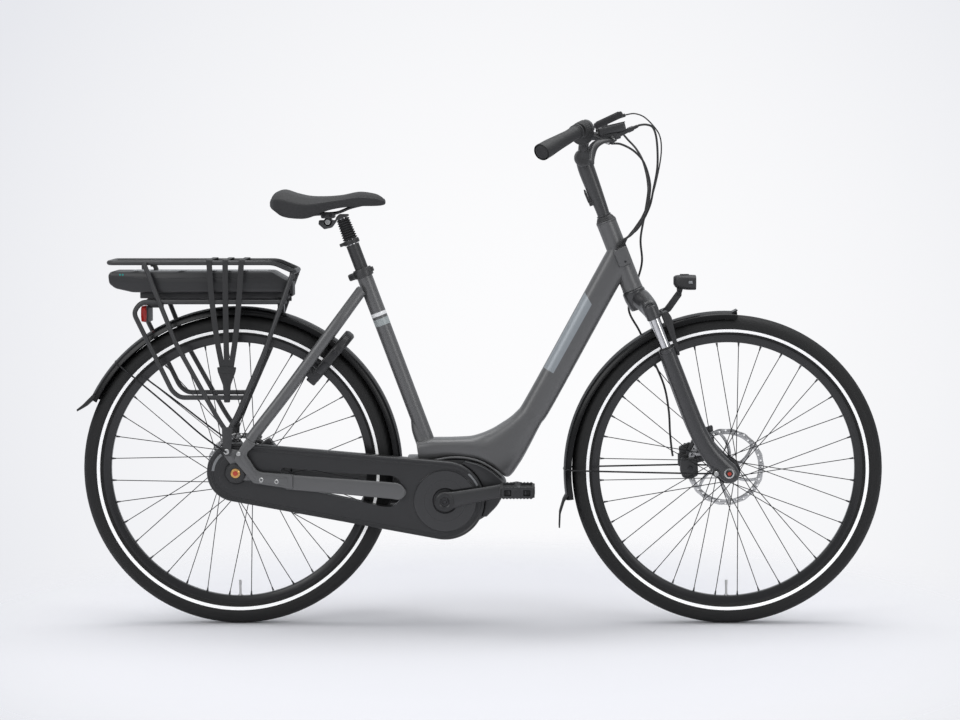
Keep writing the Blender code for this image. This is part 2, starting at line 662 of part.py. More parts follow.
def build_front_frame():
    beam = loft(CRANK, [
        section(((upper[0] + lower[0]) / 2, 0, (upper[1] + lower[1]) / 2), (0, 1, 0),
                (Vector((upper[0] - lower[0], 0, upper[1] - lower[1]))).normalized(),
                width, math.dist(upper, lower) / 2, 3.0, 10)
        for upper, lower, width in BEAM_STATIONS])
    head = turned(STEERING, [
        (0, HEAD_LENGTH), (0.0225, HEAD_LENGTH), (HEAD_RADIUS, HEAD_LENGTH - 0.006), (HEAD_RADIUS, 0.006),
        (0.0240, 0.0), (0, 0.0)], sides=20, along="Z")
    cover = turned(STEERING, [
        (0, HEAD_LENGTH + BEARING_COVER), (0.0165, HEAD_LENGTH + BEARING_COVER),
        (0.0215, HEAD_LENGTH + 0.003),
        (0.0215, HEAD_LENGTH - 0.002), (0, HEAD_LENGTH - 0.002)], sides=20, along="Z")
    port = box(STEERING, (0.034, 0.034, 0.044), (0.0060, -0.0160, PORT_UP), bevel=0.003)
    seat_tube = loft(SEAT, [
        section((0, 0, up), (0, 1, 0), (1, 0, 0), radius, radius, 2.0, 16)
        for up, radius in ((0.0, SEAT_TUBE_RADIUS), (-0.020, SEAT_TUBE_RADIUS),
                           (-0.380, SEAT_TUBE_RADIUS))])
    foot = loft(BIKE, [
        section((x, 0, z), (0, 1, 0), (1, 0, 0.08), half_width, half_depth, 2.4, 12)
        for x, z, half_width, half_depth in ((0.4070, 0.4700, 0.0182, 0.0190),
                                             (0.4230, 0.4350, 0.0220, 0.0200),
                                             (0.4330, 0.4050, 0.0280, 0.0215),
                                             (0.4335, 0.3880, 0.0280, 0.0215))])
    cradle = box(BIKE, (CRADLE_BACK_FRONT - CRADLE_BACK_REAR, 0.0560, 0.1100),
                 ((CRADLE_BACK_FRONT + CRADLE_BACK_REAR) / 2, 0, 0.3350))
    frame = join(head, cover, port, beam, foot, seat_tube, cradle)
    bore = rod(STEERING, (0, 0, -0.01), (0, 0, HEAD_LENGTH + 0.03), round_hole(STEERER_RADIUS), sides=16)
    seat_bore = rod(SEAT, (0, 0, -0.330), (0, 0, 0.01), round_hole(SEATPOST_RADIUS), sides=16)
    motor_room = plate(CRANK, [tuple(Vector(point) * (1 + MOTOR_CLEARANCE / math.hypot(*point)))
                               for point in MOTOR_OUTLINE], 0.12)
    return cut(frame, bore, seat_bore, motor_room)


def build_seat_collar():
    """Clamp ring at the seat tube's top with its bolt lugs behind."""
    ring = turned(SEAT, [
        (round_hole(SEATPOST_RADIUS), 0.0100), (0.0215, 0.0090), (0.0222, 0.0020), (0.0222, -0.0100),
        (round_hole(SEAT_TUBE_RADIUS), -0.0100), (round_hole(SEAT_TUBE_RADIUS), GAP),
        (round_hole(SEATPOST_RADIUS), GAP)],
        sides=16, along="Z", closed=True)
    lug = box(SEAT, (0.0170, 0.0180, 0.0160), (-0.0270, 0, -0.0010), bevel=0.003)
    bolt = rod(SEAT, (-0.0290, -0.0130, -0.0010), (-0.0290, 0.0130, -0.0010), 0.0038, sides=8)
    front = box(SEAT, (0.0060, 0.0130, 0.0110), (0.0235, 0, 0.0010))
    return join(ring, lug, bolt, front)


def build_motor():
    body = as_mesh(plate(CRANK, MOTOR_OUTLINE, MOTOR_LEFT + CASE_INNER_FACE - GAP,
                         (MOTOR_LEFT - CASE_INNER_FACE + GAP) / 2))
    body = join(body, rod(CRANK, (0, MOTOR_LEFT - 0.004, 0), (0, MOTOR_LEFT + 0.008, 0), 0.0240, sides=16))
    spindle_bore = rod(CRANK, (0, -0.1, 0), (0, 0.1, 0), round_hole(SPINDLE_RADIUS, 12), sides=12)
    finish(cut(body, spindle_bore), "drive_unit", BLACK_PLASTIC, CRANK)

    reach = CASE_FRONT_RADIUS + 0.0010
    front = [point for point in MOTOR_OUTLINE if math.hypot(*point) > reach + 0.002 and point[0] > 0.02]
    start = math.degrees(math.atan2(front[-1][1], front[-1][0]))
    end = math.degrees(math.atan2(front[0][1], front[0][0]))
    cover = plate(CRANK, front + arc(0, 0, reach, start - 4, end + 2, 14), COVER_DEPTH,
                  -(CASE_INNER_FACE + COVER_DEPTH / 2))
    finish(as_mesh(cover), "drive_unit_cover", BLACK_PLASTIC, CRANK)


# Chain drive
def case_outline(grow=0.0, steps=8):
    """Two circles and the straight lines that touch both, from the rear axle."""
    distance = math.hypot(CRANK_X, WHEEL_RADIUS - CRANK_HEIGHT)
    droop = math.degrees(math.atan2(CRANK_HEIGHT - WHEEL_RADIUS, CRANK_X))
    spread = math.degrees(math.asin((CASE_FRONT_RADIUS - CASE_REAR_RADIUS) / distance))
    top = droop + 90 + spread
    bottom = droop - 90 - spread
    front = arc(CRANK_X, CRANK_HEIGHT - WHEEL_RADIUS, CASE_FRONT_RADIUS + grow, bottom, top, steps)
    back = arc(0, 0, CASE_REAR_RADIUS + grow, top, bottom + 360, steps)
    return front + back


def chain_path(steps=9):
    distance = math.hypot(CRANK_X, WHEEL_RADIUS - CRANK_HEIGHT)
    droop = math.degrees(math.atan2(CRANK_HEIGHT - WHEEL_RADIUS, CRANK_X))
    spread = math.degrees(math.asin((CHAINRING_RADIUS - SPROCKET_RADIUS) / distance))
    top = droop + 90 + spread
    bottom = droop - 90 - spread

    def loop(offset):
        front = arc(CRANK_X, CRANK_HEIGHT - WHEEL_RADIUS, CHAINRING_RADIUS + offset, bottom, top, steps)
        return front + arc(0, 0, SPROCKET_RADIUS + offset, top, bottom + 360, steps)
    return loop


def toothed(teeth, radius, depth):
    """Outline of a sprocket: a tooth and a gap for each pitch, the gaps inside the chain."""
    outline = []
    for index in range(teeth):
        for part, reach in ((0.0, depth), (0.5, -depth)):
            angle = 2 * math.pi * (index + part) / teeth
            outline.append(((radius + reach) * math.cos(angle), (radius + reach) * math.sin(angle)))
    return outline


def build_chain_drive():
    half_chain = 0.0040
    root = 0.0068
    ring = toothed(CHAINRING_TEETH, CHAINRING_RADIUS - root, 0.0015)
    chainring = cut(plate(CRANK, ring, 0.0030, -CHAIN_LINE),
                    rod(CRANK, (0, -0.06, 0), (0, -0.04, 0), round_hole(SPINDLE_RADIUS, 12), sides=12))
    finish(chainring, "chainring", STEEL, CRANK)
    small = toothed(SPROCKET_TEETH, SPROCKET_RADIUS - root, 0.0015)
    sprocket = cut(plate(REAR_AXLE, small, 0.0030, -CHAIN_LINE),
                   rod(REAR_AXLE, (0, -0.06, 0), (0, -0.04, 0), round_hole(AXLE_RADIUS, 12), sides=12))
    finish(sprocket, "rear_sprocket", STEEL, REAR_AXLE)
    loop = chain_path()
    chain = plate(REAR_AXLE, loop(0.0036), 2 * half_chain, -CHAIN_LINE, holes=[loop(-0.0036)])
    finish(as_mesh(chain), "chain", STEEL, REAR_AXLE)

    middle = (CASE_OUTER_FACE + CASE_INNER_FACE) / 2
    openings = [(REAR_AXLE, (0, 0), 0.0250), (CRANK, (0, 0), 0.0250), (BIKE, (LOWER_TUBE_X, LOWER_TUBE_Z),
                                                                       0.0110)]
    for name, wall, rest in (("chain_case_outer", CASE_OUTER_FACE, middle + GAP / 2),
                             ("chain_case_inner", CASE_INNER_FACE, middle - GAP / 2)):
        shell = plate(REAR_AXLE, case_outline(), abs(wall - rest), -(wall + rest) / 2)
        inward = math.copysign(CASE_WALL, rest - wall)
        hollow = plate(REAR_AXLE, case_outline(-CASE_WALL), abs(wall - rest), -(wall + rest) / 2 - inward)
        holes = [rod(frame, (x, -0.08, z), (x, -0.02, z), radius, sides=12)
                 for frame, (x, z), radius in openings]
        finish(cut(shell, hollow, *holes), name, BLACK_PLASTIC, REAR_AXLE)


def build_crank(side):
    """Crank arm on its side (-1 right, 1 left); the left one carries the spindle."""
    angle = CRANK_REST_ANGLE if side < 0 else CRANK_REST_ANGLE + math.pi
    out = Vector((math.cos(angle), 0, math.sin(angle)))
    upward = Vector((-math.sin(angle), 0, math.cos(angle)))
    stations = ((-0.0200, 0.0780, 0.0060, 0.0100), (-0.0140, 0.0780, 0.0085, 0.0190),
                (0.0, 0.0780, 0.0095, 0.0225),
                (0.0250, 0.0785, 0.0085, 0.0190), (0.0900, 0.0830, 0.0068, 0.0155),
                (0.1560, 0.0870, 0.0065, 0.0140),
                (0.1700, 0.0872, 0.0065, 0.0138), (0.1800, 0.0872, 0.0062, 0.0095),
                (0.1838, 0.0872, 0.0055, 0.0040))
    arm = loft(CRANK, [
        section(out * reach + Vector((0, side * y, 0)), (0, 1, 0), upward, width, height, 2.8, 10)
        for reach, y, width, height in stations])
    if side < 0:
        boss = rod(CRANK, (0, -0.0655, 0), (0, -0.0720, 0), 0.0170, sides=16)
        arm = join(arm, boss)
        return cut(arm, rod(CRANK, (0, -0.06, 0), (0, -0.0785, 0), round_hole(SPINDLE_RADIUS, 12),
                            sides=12))
    spindle = rod(CRANK, (0, -0.0780, 0), (0, 0.0760, 0), SPINDLE_RADIUS, sides=12)
    return join(arm, spindle)


def build_pedal(side):
    """Platform pedal: a bearing barrel between two ribbed cages."""
    angle = CRANK_REST_ANGLE if side < 0 else CRANK_REST_ANGLE + math.pi
    name = "right" if side < 0 else "left"
    frame = make_frame("pedal_centre_" + name, CRANK_LENGTH * math.cos(angle), 0,
                       CRANK_LENGTH * math.sin(angle),
                       parent=CRANK)
    inner = side * PEDAL_INNER
    outer = side * (PEDAL_INNER + PEDAL_LENGTH)
    barrel = rod(frame, (0, inner, 0), (0, outer, 0), 0.0120, sides=10)
    axle = rod(frame, (0, side * 0.0940, 0), (0, inner + side * 0.01, 0), 0.0070, sides=8)
    ends = [box(frame, (0.0700, 0.0070, 0.0280), (0, y, 0)) for y in (inner + side * 0.0040,
                                                                      outer - side * 0.0040)]
    rails = [box(frame, (0.0070, PEDAL_LENGTH, 0.0220), (x, (inner + outer) / 2,
                                                         0)) for x in (-0.0355, 0.0355)]
    finish(join(barrel, axle, together(ends), together(rails)), "pedal_" + name, BLACK_PLASTIC, frame)


build_rear_wheel()
build_front_wheel()
build_axles()
finish(build_rear_frame(), "rear_frame", FRAME_PAINT, BIKE)
finish(build_front_frame(), "front_frame", FRAME_PAINT, BIKE)
finish(build_seat_collar(), "seat_collar", BLACK_METAL, SEAT)
build_motor()
build_chain_drive()
finish(build_crank(-1), "crank_right", BLACK_METAL, CRANK)
finish(build_crank(1), "crank_left", BLACK_METAL, CRANK)
build_pedal(-1)
build_pedal(1)


# Fork: everything in the steering frame, whose X points ahead of the axis and Z up along it
FORK = make_frame("fork_slide_axis", HEAD_BOTTOM.x, 0, HEAD_BOTTOM.z, HEAD_TILT, BIKE)


def build_fork_crown():
    steerer = rod(STEERING, (0, 0, -0.030), (0, 0, HEAD_LENGTH + BEARING_COVER - 0.001), STEERER_RADIUS,
                  sides=16)
    race = turned(STEERING, [(0, -GAP), (0.0240, -GAP), (0.0262, -0.0070), (0.0262, -0.0200),
                             (0.0220, -0.0470),
                             (0, -0.0470)], sides=16, along="Z")
    bridge = loft(STEERING, [
        section((ahead, y, up), (1, 0, 0), (0, 0, 1), depth, height, 2.6, 10)
        for y, ahead, up, depth, height in (
            (-0.0740, 0.0205, -0.0560, 0.0110, 0.0160), (-0.0680, 0.0205, -0.0540, 0.0165, 0.0210),
            (-0.0500, 0.0190, -0.0480, 0.0190, 0.0240), (-0.0250, 0.0110, -0.0290, 0.0215, 0.0200),
            (0.0, 0.0040, -0.0240, 0.0240, 0.0205),
            (0.0250, 0.0110, -0.0290, 0.0215, 0.0200), (0.0500, 0.0190, -0.0480, 0.0190, 0.0240),
            (0.0680, 0.0205, -0.0540, 0.0165, 0.0210), (0.0740, 0.0205, -0.0560, 0.0110, 0.0160))])
    crown = join(race, steerer, bridge)
    bore = rod(STEERING, (0, 0, 0.040), (0, 0, HEAD_LENGTH + 0.05), round_hole(QUILL_RADIUS), sides=16)
    crown = cut(crown, bore)
    for side in (-1, 1):
        socket = rod(STEERING, (STANCHION_AHEAD, side * STANCHION_Y, -0.0450),
                     (STANCHION_AHEAD, side * STANCHION_Y, CROWN_FOOT), 0.0168, sides=14)
        stanchion = rod(STEERING, (STANCHION_AHEAD, side * STANCHION_Y, -0.0550),
                        (STANCHION_AHEAD, side * STANCHION_Y, STANCHION_FOOT), STANCHION_RADIUS, sides=14)
        crown = join(crown, socket, stanchion)
    return crown


def build_fork_legs():
    rings = []
    for index, (ahead, up, depth, y, width) in enumerate(LEG_STATIONS):
        before = LEG_STATIONS[max(index - 1, 0)]
        after = LEG_STATIONS[min(index + 1, len(LEG_STATIONS) - 1)]
        along = Vector((after[0] - before[0], 0, after[1] - before[1])).normalized()
        rings.append(section((ahead, -y, up), (0, 1, 0), along.cross(Vector((0, 1, 0))), width, depth,
                             2.3, 12))
    leg = loft(FORK, rings)
    stay_pad = rod(FRONT_AXLE, (STAY_BOLT[0], -0.0560, STAY_BOLT[1]), (STAY_BOLT[0], -0.0770,
                                                                       STAY_BOLT[1]), 0.0085,
                   sides=12)
    leg = join(leg, stay_pad)
    bore = rod(FORK, (STANCHION_AHEAD, -STANCHION_Y, LEG_TOP + 0.01),
               (STANCHION_AHEAD, -STANCHION_Y, STANCHION_FOOT - FORK_TRAVEL - 0.003),
               round_hole(STANCHION_RADIUS, 14), sides=14)
    axle_hole = rod(FRONT_AXLE, (0, -0.1, 0), (0, 0.1, 0), round_hole(AXLE_RADIUS, 12), sides=12)
    leg = cut(leg, bore, axle_hole)
    left = other_side(leg)
    tab = plate(FRONT_AXLE, [(-0.0300, 0.0980), (-0.0700, 0.0820), (-0.0980, 0.0180), (-0.0880, 0.0020),
                             (-0.0400, 0.0150), (-0.0250, 0.0500)], 0.0080, 0.0560)
    left = join(left, tab)
    finish(leg, "fork_leg_right", GLOSS_BLACK, FORK)
    finish(left, "fork_leg_left", GLOSS_BLACK, FORK)


def build_front_caliper():
    """Brake caliper straddling the rotor, bolted to the tab on the left leg."""
    body = plate(FRONT_AXLE, [(-0.1050, 0.0230), (-0.0660, 0.0200), (-0.0640, -0.0180), (-0.0780, -0.0260),
                              (-0.1000, -0.0240), (-0.1060, -0.0100)], 0.0310, 0.0455)
    arm = plate(FRONT_AXLE, [(-0.1060, 0.0230), (-0.1080, 0.0450), (-0.0820, 0.0560), (-0.0780, 0.0460),
                             (-0.0840, 0.0400), (-0.0870, 0.0200)], 0.0150, 0.0680)
    body = join(body, box(FRONT_AXLE, (0.0300, 0.0300, 0.0300), (-0.0950, 0.0650, 0.0150), bevel=0.003),
                arm)
    slot = box(FRONT_AXLE, (0.0700, 0.0060, 0.0900), (-0.0580, FRONT_ROTOR_Y, 0.0))
    tab_room = plate(FRONT_AXLE, [(-0.0297, 0.0990), (-0.0705, 0.0830), (-0.0986, 0.0181),
                                  (-0.0884, 0.0010),
                                  (-0.0400, 0.0140), (-0.0240, 0.0490)], 0.0080 + 2 * GAP, 0.0560)
    return cut(body, slot, tab_room)


# Fenders
def fender_blade(frame, radius, start, end, steps):
    """A curved shell over the tyre, from start to end in degrees."""
    profile = [(radius - FENDER_DROP, FENDER_HALF_WIDTH), (radius - 0.0050, 0.0260), (radius, 0.0150),
               (radius, -0.0150), (radius - 0.0050, -0.0260), (radius - FENDER_DROP, -FENDER_HALF_WIDTH)]
    blade = turned(frame, profile, sides=steps, start=math.radians(start), sweep=math.radians(start - end))
    shell = blade.modifiers.new("wall", "SOLIDIFY")
    shell.thickness = FENDER_WALL
    shell.offset = -1.0
    return blade


def fender_stay(frame, radius, angle, points):
    """One wire from the right bolt up to the blade, over its outer face and down to the left bolt."""
    out = Vector((math.cos(math.radians(angle)), 0, math.sin(math.radians(angle))))
    left = [Vector(point) for point in points]
    for inset, y in ((FENDER_DROP, FENDER_HALF_WIDTH + 0.0010), (0.0045, 0.0270), (-0.0005, 0.0140)):
        left.append(out * (radius - inset) + Vector((0, y, 0)))
    right = [Vector((point.x, -point.y, point.z)) for point in left]
    return tube(frame, right + list(reversed(left)), STAY_WIRE, 1)


def build_front_fender():
    """Blade a little off the wheel's centre, with a mud flap, an upturned lip and a wire stay on each side."""
    centre = make_frame("front_fender_centre", -FENDER_OFFSET, 0, -FENDER_OFFSET, parent=FRONT_AXLE)
    radius = FRONT_FENDER_RADIUS
    blade = fender_blade(centre, radius, 190, 86, 15)
    flap = plate(FRONT_AXLE, [
        (-0.3640, -0.0560), (-0.3720, -0.0560), (-0.3795, -0.0700), (-0.3880, -0.1000), (-0.3890, -0.1330),
        (-0.3855, -0.1330), (-0.3840, -0.1000), (-0.3750, -0.0720)], 0.0560)
    lip = plate(FRONT_AXLE, [(0.0060, 0.3600), (0.0080, 0.3648), (0.0200, 0.3710), (0.0215, 0.3690),
                             (0.0120, 0.3605)],
                0.0480)
    stay = fender_stay(FRONT_AXLE, radius + FENDER_OFFSET, 179.7, [
        (-0.0250, 0.0812, 0.0000), (-0.0480, 0.0812, 0.0000), (-0.1109, 0.0805, 0.0008),
        (-0.3400, 0.0400, 0.0010)])
    return join(blade, flap, lip, stay)


def build_fork_bridge():
    """Bracket in front of the legs: two straps, an arch over the fender and the arm of the lamp."""
    straps = []
    for side in (-1, 1):
        straps.append(plate(FORK, [(0.0402, -0.0700), (0.0550, -0.0700), (0.0585, -0.0870),
                                   (0.0450, -0.1740),
                                   (0.0396, -0.1740)], 0.0100, side * STANCHION_Y))
    arch = box(FORK, (0.0140, 2 * STANCHION_Y + 0.0080, 0.0100), (0.0480, 0, -0.0755), bevel=0.002)
    foot = box(FORK, (0.0120, 0.0240, 0.0250), (0.0480, 0, -0.0862))
    cheeks = [plate(FORK, [(0.0440, -0.0790), (0.0440, -0.0710), (0.0560, -0.0640), (0.0930, -0.0405),
                           (0.1010, -0.0440), (0.1000, -0.0530), (0.0620, -0.0780)], 0.0040, y)
              for y in (-0.0065, 0.0065)]
    return join(arch, *straps, foot, *cheeks)


def build_headlamp():
    """Lamp with its lug between the cheeks of the arm."""
    pivot = HEAD_BOTTOM + HEAD_AHEAD * LAMP_PIVOT[0] + HEAD_UP * LAMP_PIVOT[1]
    frame = make_frame("lamp_pivot", pivot.x, 0, pivot.z, parent=BIKE)
    shell = loft(frame, [
        section((x, 0, z), (0, 1, 0), (0, 0, 1), width, height, 3.2, 14)
        for x, z, width, height in ((-0.0130, 0.0290, 0.0110, 0.0090), (-0.0060, 0.0270, 0.0190, 0.0145),
                                    (0.0150, 0.0255, 0.0235, 0.0172), (0.0370, 0.0250, 0.0240, 0.0172),
                                    (0.0380, 0.0250, 0.0225, 0.0160))])
    lug = plate(frame, [(-0.0045, -0.0035), (-0.0060, 0.0150), (0.0100, 0.0150), (0.0045, -0.0035)], 0.0084)
    finish(join(shell, lug), "headlamp", BLACK_PLASTIC, frame)


def build_rear_fender():
    """Blade with its mud flap, a bracket up to the carrier and a wire stay on each side."""
    radius = REAR_FENDER_RADIUS
    blade = fender_blade(REAR_AXLE, radius, 154, 1, 21)
    flap = plate(REAR_AXLE, [(-0.3290, 0.1790), (-0.3560, 0.1520), (-0.3698, 0.1410), (-0.3685, 0.1365),
                             (-0.3530, 0.1450), (-0.3240, 0.1710)], 0.0540)
    bracket = box(BIKE, (0.0150, 0.0240, 0.0260), (0.1000, 0, 0.7435 - GAP - 0.0130))
    stay = fender_stay(REAR_AXLE, radius, 138.2, [
        (-0.0197, 0.0817, 0.0480), (-0.0750, 0.0817, 0.0880), (-0.1500, 0.0640, 0.1500),
        (-0.2560, 0.0390, 0.2340)])
    return join(blade, flap, bracket, stay)


# Carrier and what it holds, from the rear axle along X and from the ground
def rounded_corner(before, corner, after, radius, steps):
    """Points that cut a corner of a path with a smooth bend."""
    corner = Vector(corner)
    start = corner + (Vector(before) - corner).normalized() * radius
    end = corner + (Vector(after) - corner).normalized() * radius
    return [start.lerp(corner, t).lerp(corner.lerp(end, t), t) for t in (step / steps for step in range(steps + 1))]


def bent(points, radius, steps=2):
    """A path with every inner corner rounded."""
    path = [Vector(points[0])]
    for before, corner, after in zip(points, points[1:], points[2:]):
        path += rounded_corner(before, corner, after, radius, steps)
    path.append(Vector(points[-1]))
    return path


def build_carrier():
    pieces = []
    for side in (-1, 1):
        leg = bent([(-0.2045, side * LEG_Y, 0.8380), (-0.1330, side * LEG_Y, 0.6532),
                    (-0.0178, side * LEG_Y, 0.4440),
                    (0.0669, side * LEG_Y, 0.6320), (0.1330, side * 0.0650, 0.8150)], 0.0140, 1)
        pieces.append(tube(BIKE, leg, RAIL_RADIUS, 1))
        loop = bent([(0.1180, side * LOOP_Y, LOOP_HEIGHT), (-0.2120, side * LOOP_Y, LOOP_HEIGHT),
                     (-0.2303, side * LOOP_Y, 0.7251), (-0.1440, side * LOOP_Y, 0.5450),
                     (-0.1259, side * LOOP_Y, 0.5306), (0.0250, side * LOOP_Y, 0.5306)], 0.0160, 1)
        pieces.append(tube(BIKE, loop, RAIL_RADIUS, 1))
        pieces.append(plate(BIKE, [(-0.0300, 0.4640), (-0.0060, 0.4640), (-0.0085, 0.4200),
                                   (-0.0120, 0.3990),
                                   (-0.0270, 0.3990), (-0.0290, 0.4200)], 0.0046, side * 0.0766))
    platform = bent([
        (-0.0900, RAIL_Y, PLATFORM_HEIGHT), (0.0899, RAIL_Y, PLATFORM_HEIGHT), (0.1359, RAIL_Y, 0.8179),
        (0.1359, -RAIL_Y, 0.8179), (0.0899, -RAIL_Y, PLATFORM_HEIGHT), (-0.2864, -RAIL_Y, PLATFORM_HEIGHT),
        (-0.2864, RAIL_Y, PLATFORM_HEIGHT)], 0.0140, 2)
    ring = tube(BIKE, platform, RAIL_RADIUS, 1, closed=True)
    bars = [box(BIKE, (0.0140, 2 * RAIL_Y, 0.0050), (x, 0, PLATFORM_HEIGHT - 0.0020)) for x in (-0.2310, -0.1270)]
    cross = [rod(BIKE, (x, -LOOP_Y, LOOP_HEIGHT), (x, LOOP_Y, LOOP_HEIGHT), RAIL_RADIUS, sides=8)
             for x in (-0.1850, 0.1000)]
    return join(ring, *bars, *pieces, *cross)


def build_battery():
    """Battery case with bevelled ends, sliding on the dock below it."""
    middle = (BATTERY_REAR + BATTERY_FRONT) / 2
    frame = make_frame("battery_origin", middle, 0, BATTERY_BOTTOM, parent=BIKE)
    rear = BATTERY_REAR - middle
    front = BATTERY_FRONT - middle
    height = BATTERY_TOP - BATTERY_BOTTOM
    outline = [(rear, height - 0.0080), (rear + 0.0060, height), (front - 0.0380, height),
               (front, height - 0.0220),
               (front, 0.0060), (front - 0.0060, 0.0), (rear + 0.0560, 0.0), (rear + 0.0160, 0.0090),
               (rear + 0.0020, 0.0200)]
    case = as_mesh(plate(frame, outline, 2 * BATTERY_HALF_WIDTH))
    edge = case.modifiers.new("edge", "BEVEL")
    edge.width = 0.0045
    edge.segments = 2
    edge.limit_method = "ANGLE"
    edge.angle_limit = math.radians(50)
    groove = box(frame, (0.5, 0.0306 * 2, 0.0040), (0, 0, 0))
    finish(cut(case, groove), "battery", BLACK_PLASTIC, frame)


def build_battery_dock():
    """Rail with its head piece behind the contacts, bolted to the carrier's cross tubes."""
    rail = box(BIKE, (0.3400, 0.0600, BATTERY_BOTTOM + 0.0020 - GAP - DOCK_BOTTOM),
               (-0.0500, 0, (DOCK_BOTTOM + BATTERY_BOTTOM + 0.0020 - GAP) / 2), bevel=0.002)
    head = box(BIKE, (0.0080, 0.0560, 0.0330), (BATTERY_FRONT + GAP + 0.0040, 0, 0.7760), bevel=0.002)
    neck = box(BIKE, (0.0180, 0.0560, 0.0080), (0.1200, 0, 0.7632))
    return join(rail, head, neck)


def strap(points, half_width, half_thick):
    rings = []
    for index, point in enumerate(points):
        along = (Vector(points[min(index + 1, len(points) - 1)]) - Vector(points[max(index - 1, 0)])).normalized()
        upward = along.cross(Vector((1, 0, 0))).normalized()
        rings.append([Vector(point) + Vector((1, 0, 0)) * a * half_width + upward * b * half_thick
                      for a, b in ((-1, -1), (1, -1), (1, 1), (-1, 1))])
    return loft(BIKE, rings)


def build_straps():
    """Three elastic straps over the platform, drawn together in a hook on the lower loop."""
    top = PLATFORM_HEIGHT + RAIL_RADIUS + 0.0012
    side = -(RAIL_Y + RAIL_RADIUS + 0.0012)
    pieces = []
    for x, foot in ((-0.0570, -0.0270), (-0.0200, -0.0180), (0.0170, -0.0090)):
        pieces.append(strap([(x, 0.0660, top), (x, -0.0620, top), (x, side, top - 0.0040),
                             (x, side - 0.0004, PLATFORM_HEIGHT - 0.0100), (x * 0.8 + foot * 0.2, -0.0714,
                                                                            0.7600),
                             (foot, -0.0722, 0.5950)], 0.0080, 0.0009))
    hook = plate(BIKE, [(-0.0400, 0.6010), (0.0040, 0.6010), (0.0020, 0.5900), (-0.0090, 0.5600),
                        (-0.0110, 0.5360),
                        (-0.0250, 0.5360), (-0.0270, 0.5600), (-0.0380, 0.5900)], 0.0050, -0.0735)
    catch = plate(BIKE, [(-0.0250, 0.5400), (-0.0110, 0.5400), (-0.0110, 0.5200), (-0.0250, 0.5200)],
                  0.0035, -0.0722)
    return join(hook, *pieces, catch)


def build_rear_light():
    lens = box(BIKE, (0.0160, 0.0760, 0.0400), (-0.2090, 0, 0.7190), bevel=0.004, segments=2)
    bracket = box(BIKE, (0.0340, 0.0200, 0.0110), (-0.1880, 0, LOOP_HEIGHT - RAIL_RADIUS - GAP - 0.0055))
    return join(lens, bracket)


def build_ring_lock():
    """Horseshoe lock round the tyre, in front of the seat stays."""
    angle = math.radians(LOCK_ANGLE)
    frame = make_frame("lock_plane", 0, 0, WHEEL_RADIUS, -angle, BIKE)
    shoe = turned(frame, [(0.0360, 0.0120), (0.0460, 0.0120), (0.0500, 0.0060), (0.0500, -0.0060),
                          (0.0460, -0.0120),
                          (0.0360, -0.0120)], sides=20, along="Z", closed=True)
    shoe.location = (0.3600, 0, 0)
    shoe = cut(shoe, box(frame, (0.2000, 0.2000, 0.1000), (0.2600, 0, 0)))
    arms = [box(frame, (0.0960, 0.0135, 0.0240), (0.3130, side * 0.0427, 0),
                bevel=0.004) for side in (-1, 1)]
    pads = [box(frame, (0.0160, 0.0080, 0.0300), (0.2800, side * 0.0460, 0.0220)) for side in (-1, 1)]
    return join(shoe, *arms, *pads)


def build_rear_caliper():
    """Brake caliper over the rear rotor, bolted inside the left casting."""
    angle = math.radians(40)
    frame = make_frame("rear_caliper_line", 0, 0, WHEEL_RADIUS, -angle, BIKE)
    body = box(frame, (0.0420, 0.0300, 0.0400), (0.0830, REAR_ROTOR_Y + 0.0020, 0), bevel=0.005)
    foot = box(frame, (0.0340, 0.0120, 0.0260), (0.0500, REAR_EYE_INNER - GAP - 0.0060, -0.0120))
    slot = box(frame, (0.0500, 0.0060, 0.0800), (0.0600, REAR_ROTOR_Y, 0))
    return cut(join(body, foot), slot)


# Kickstand: folded back along the left chain stay
def build_kickstand():
    frame = make_frame("kickstand_pivot", *STAND_PIVOT, parent=BIKE)
    leg = tube(frame, smooth_path([(0, 0.0060, -0.0020), (-0.0300, 0.0080, -0.0060),
                                   (-0.1400, 0.0130, -0.0150),
                                   (-0.2380, 0.0180, -0.0180)], 2), 0.0075, 2)
    hub = rod(frame, -STAND_AXIS * 0.0077, STAND_AXIS * 0.0110, 0.0110, sides=14)
    foot = box(frame, (0.0300, 0.0180, 0.0130), (-0.2440, 0.0180, -0.0180), bevel=0.003)
    finish(join(leg, hub, foot), "kickstand_leg", BLACK_METAL, frame)


finish(build_fork_crown(), "fork_crown", FRAME_PAINT, STEERING)
build_fork_legs()
finish(build_front_caliper(), "front_caliper", BLACK_METAL, FORK)
finish(build_front_fender(), "front_fender", BLACK_PLASTIC, FORK)
finish(build_fork_bridge(), "fork_bridge", BLACK_PLASTIC, FORK)
build_headlamp()
finish(build_rear_fender(), "rear_fender", BLACK_PLASTIC, BIKE)
finish(build_carrier(), "carrier", BLACK_METAL, BIKE)
build_battery()
finish(build_battery_dock(), "battery_dock", BLACK_PLASTIC, BIKE)
finish(build_straps(), "luggage_straps", SOFT_RUBBER, BIKE)
finish(build_rear_light(), "rear_light", LAMP_RED, BIKE)
finish(build_ring_lock(), "ring_lock", BLACK_PLASTIC, BIKE)
finish(build_rear_caliper(), "rear_caliper", BLACK_METAL, BIKE)
build_kickstand()


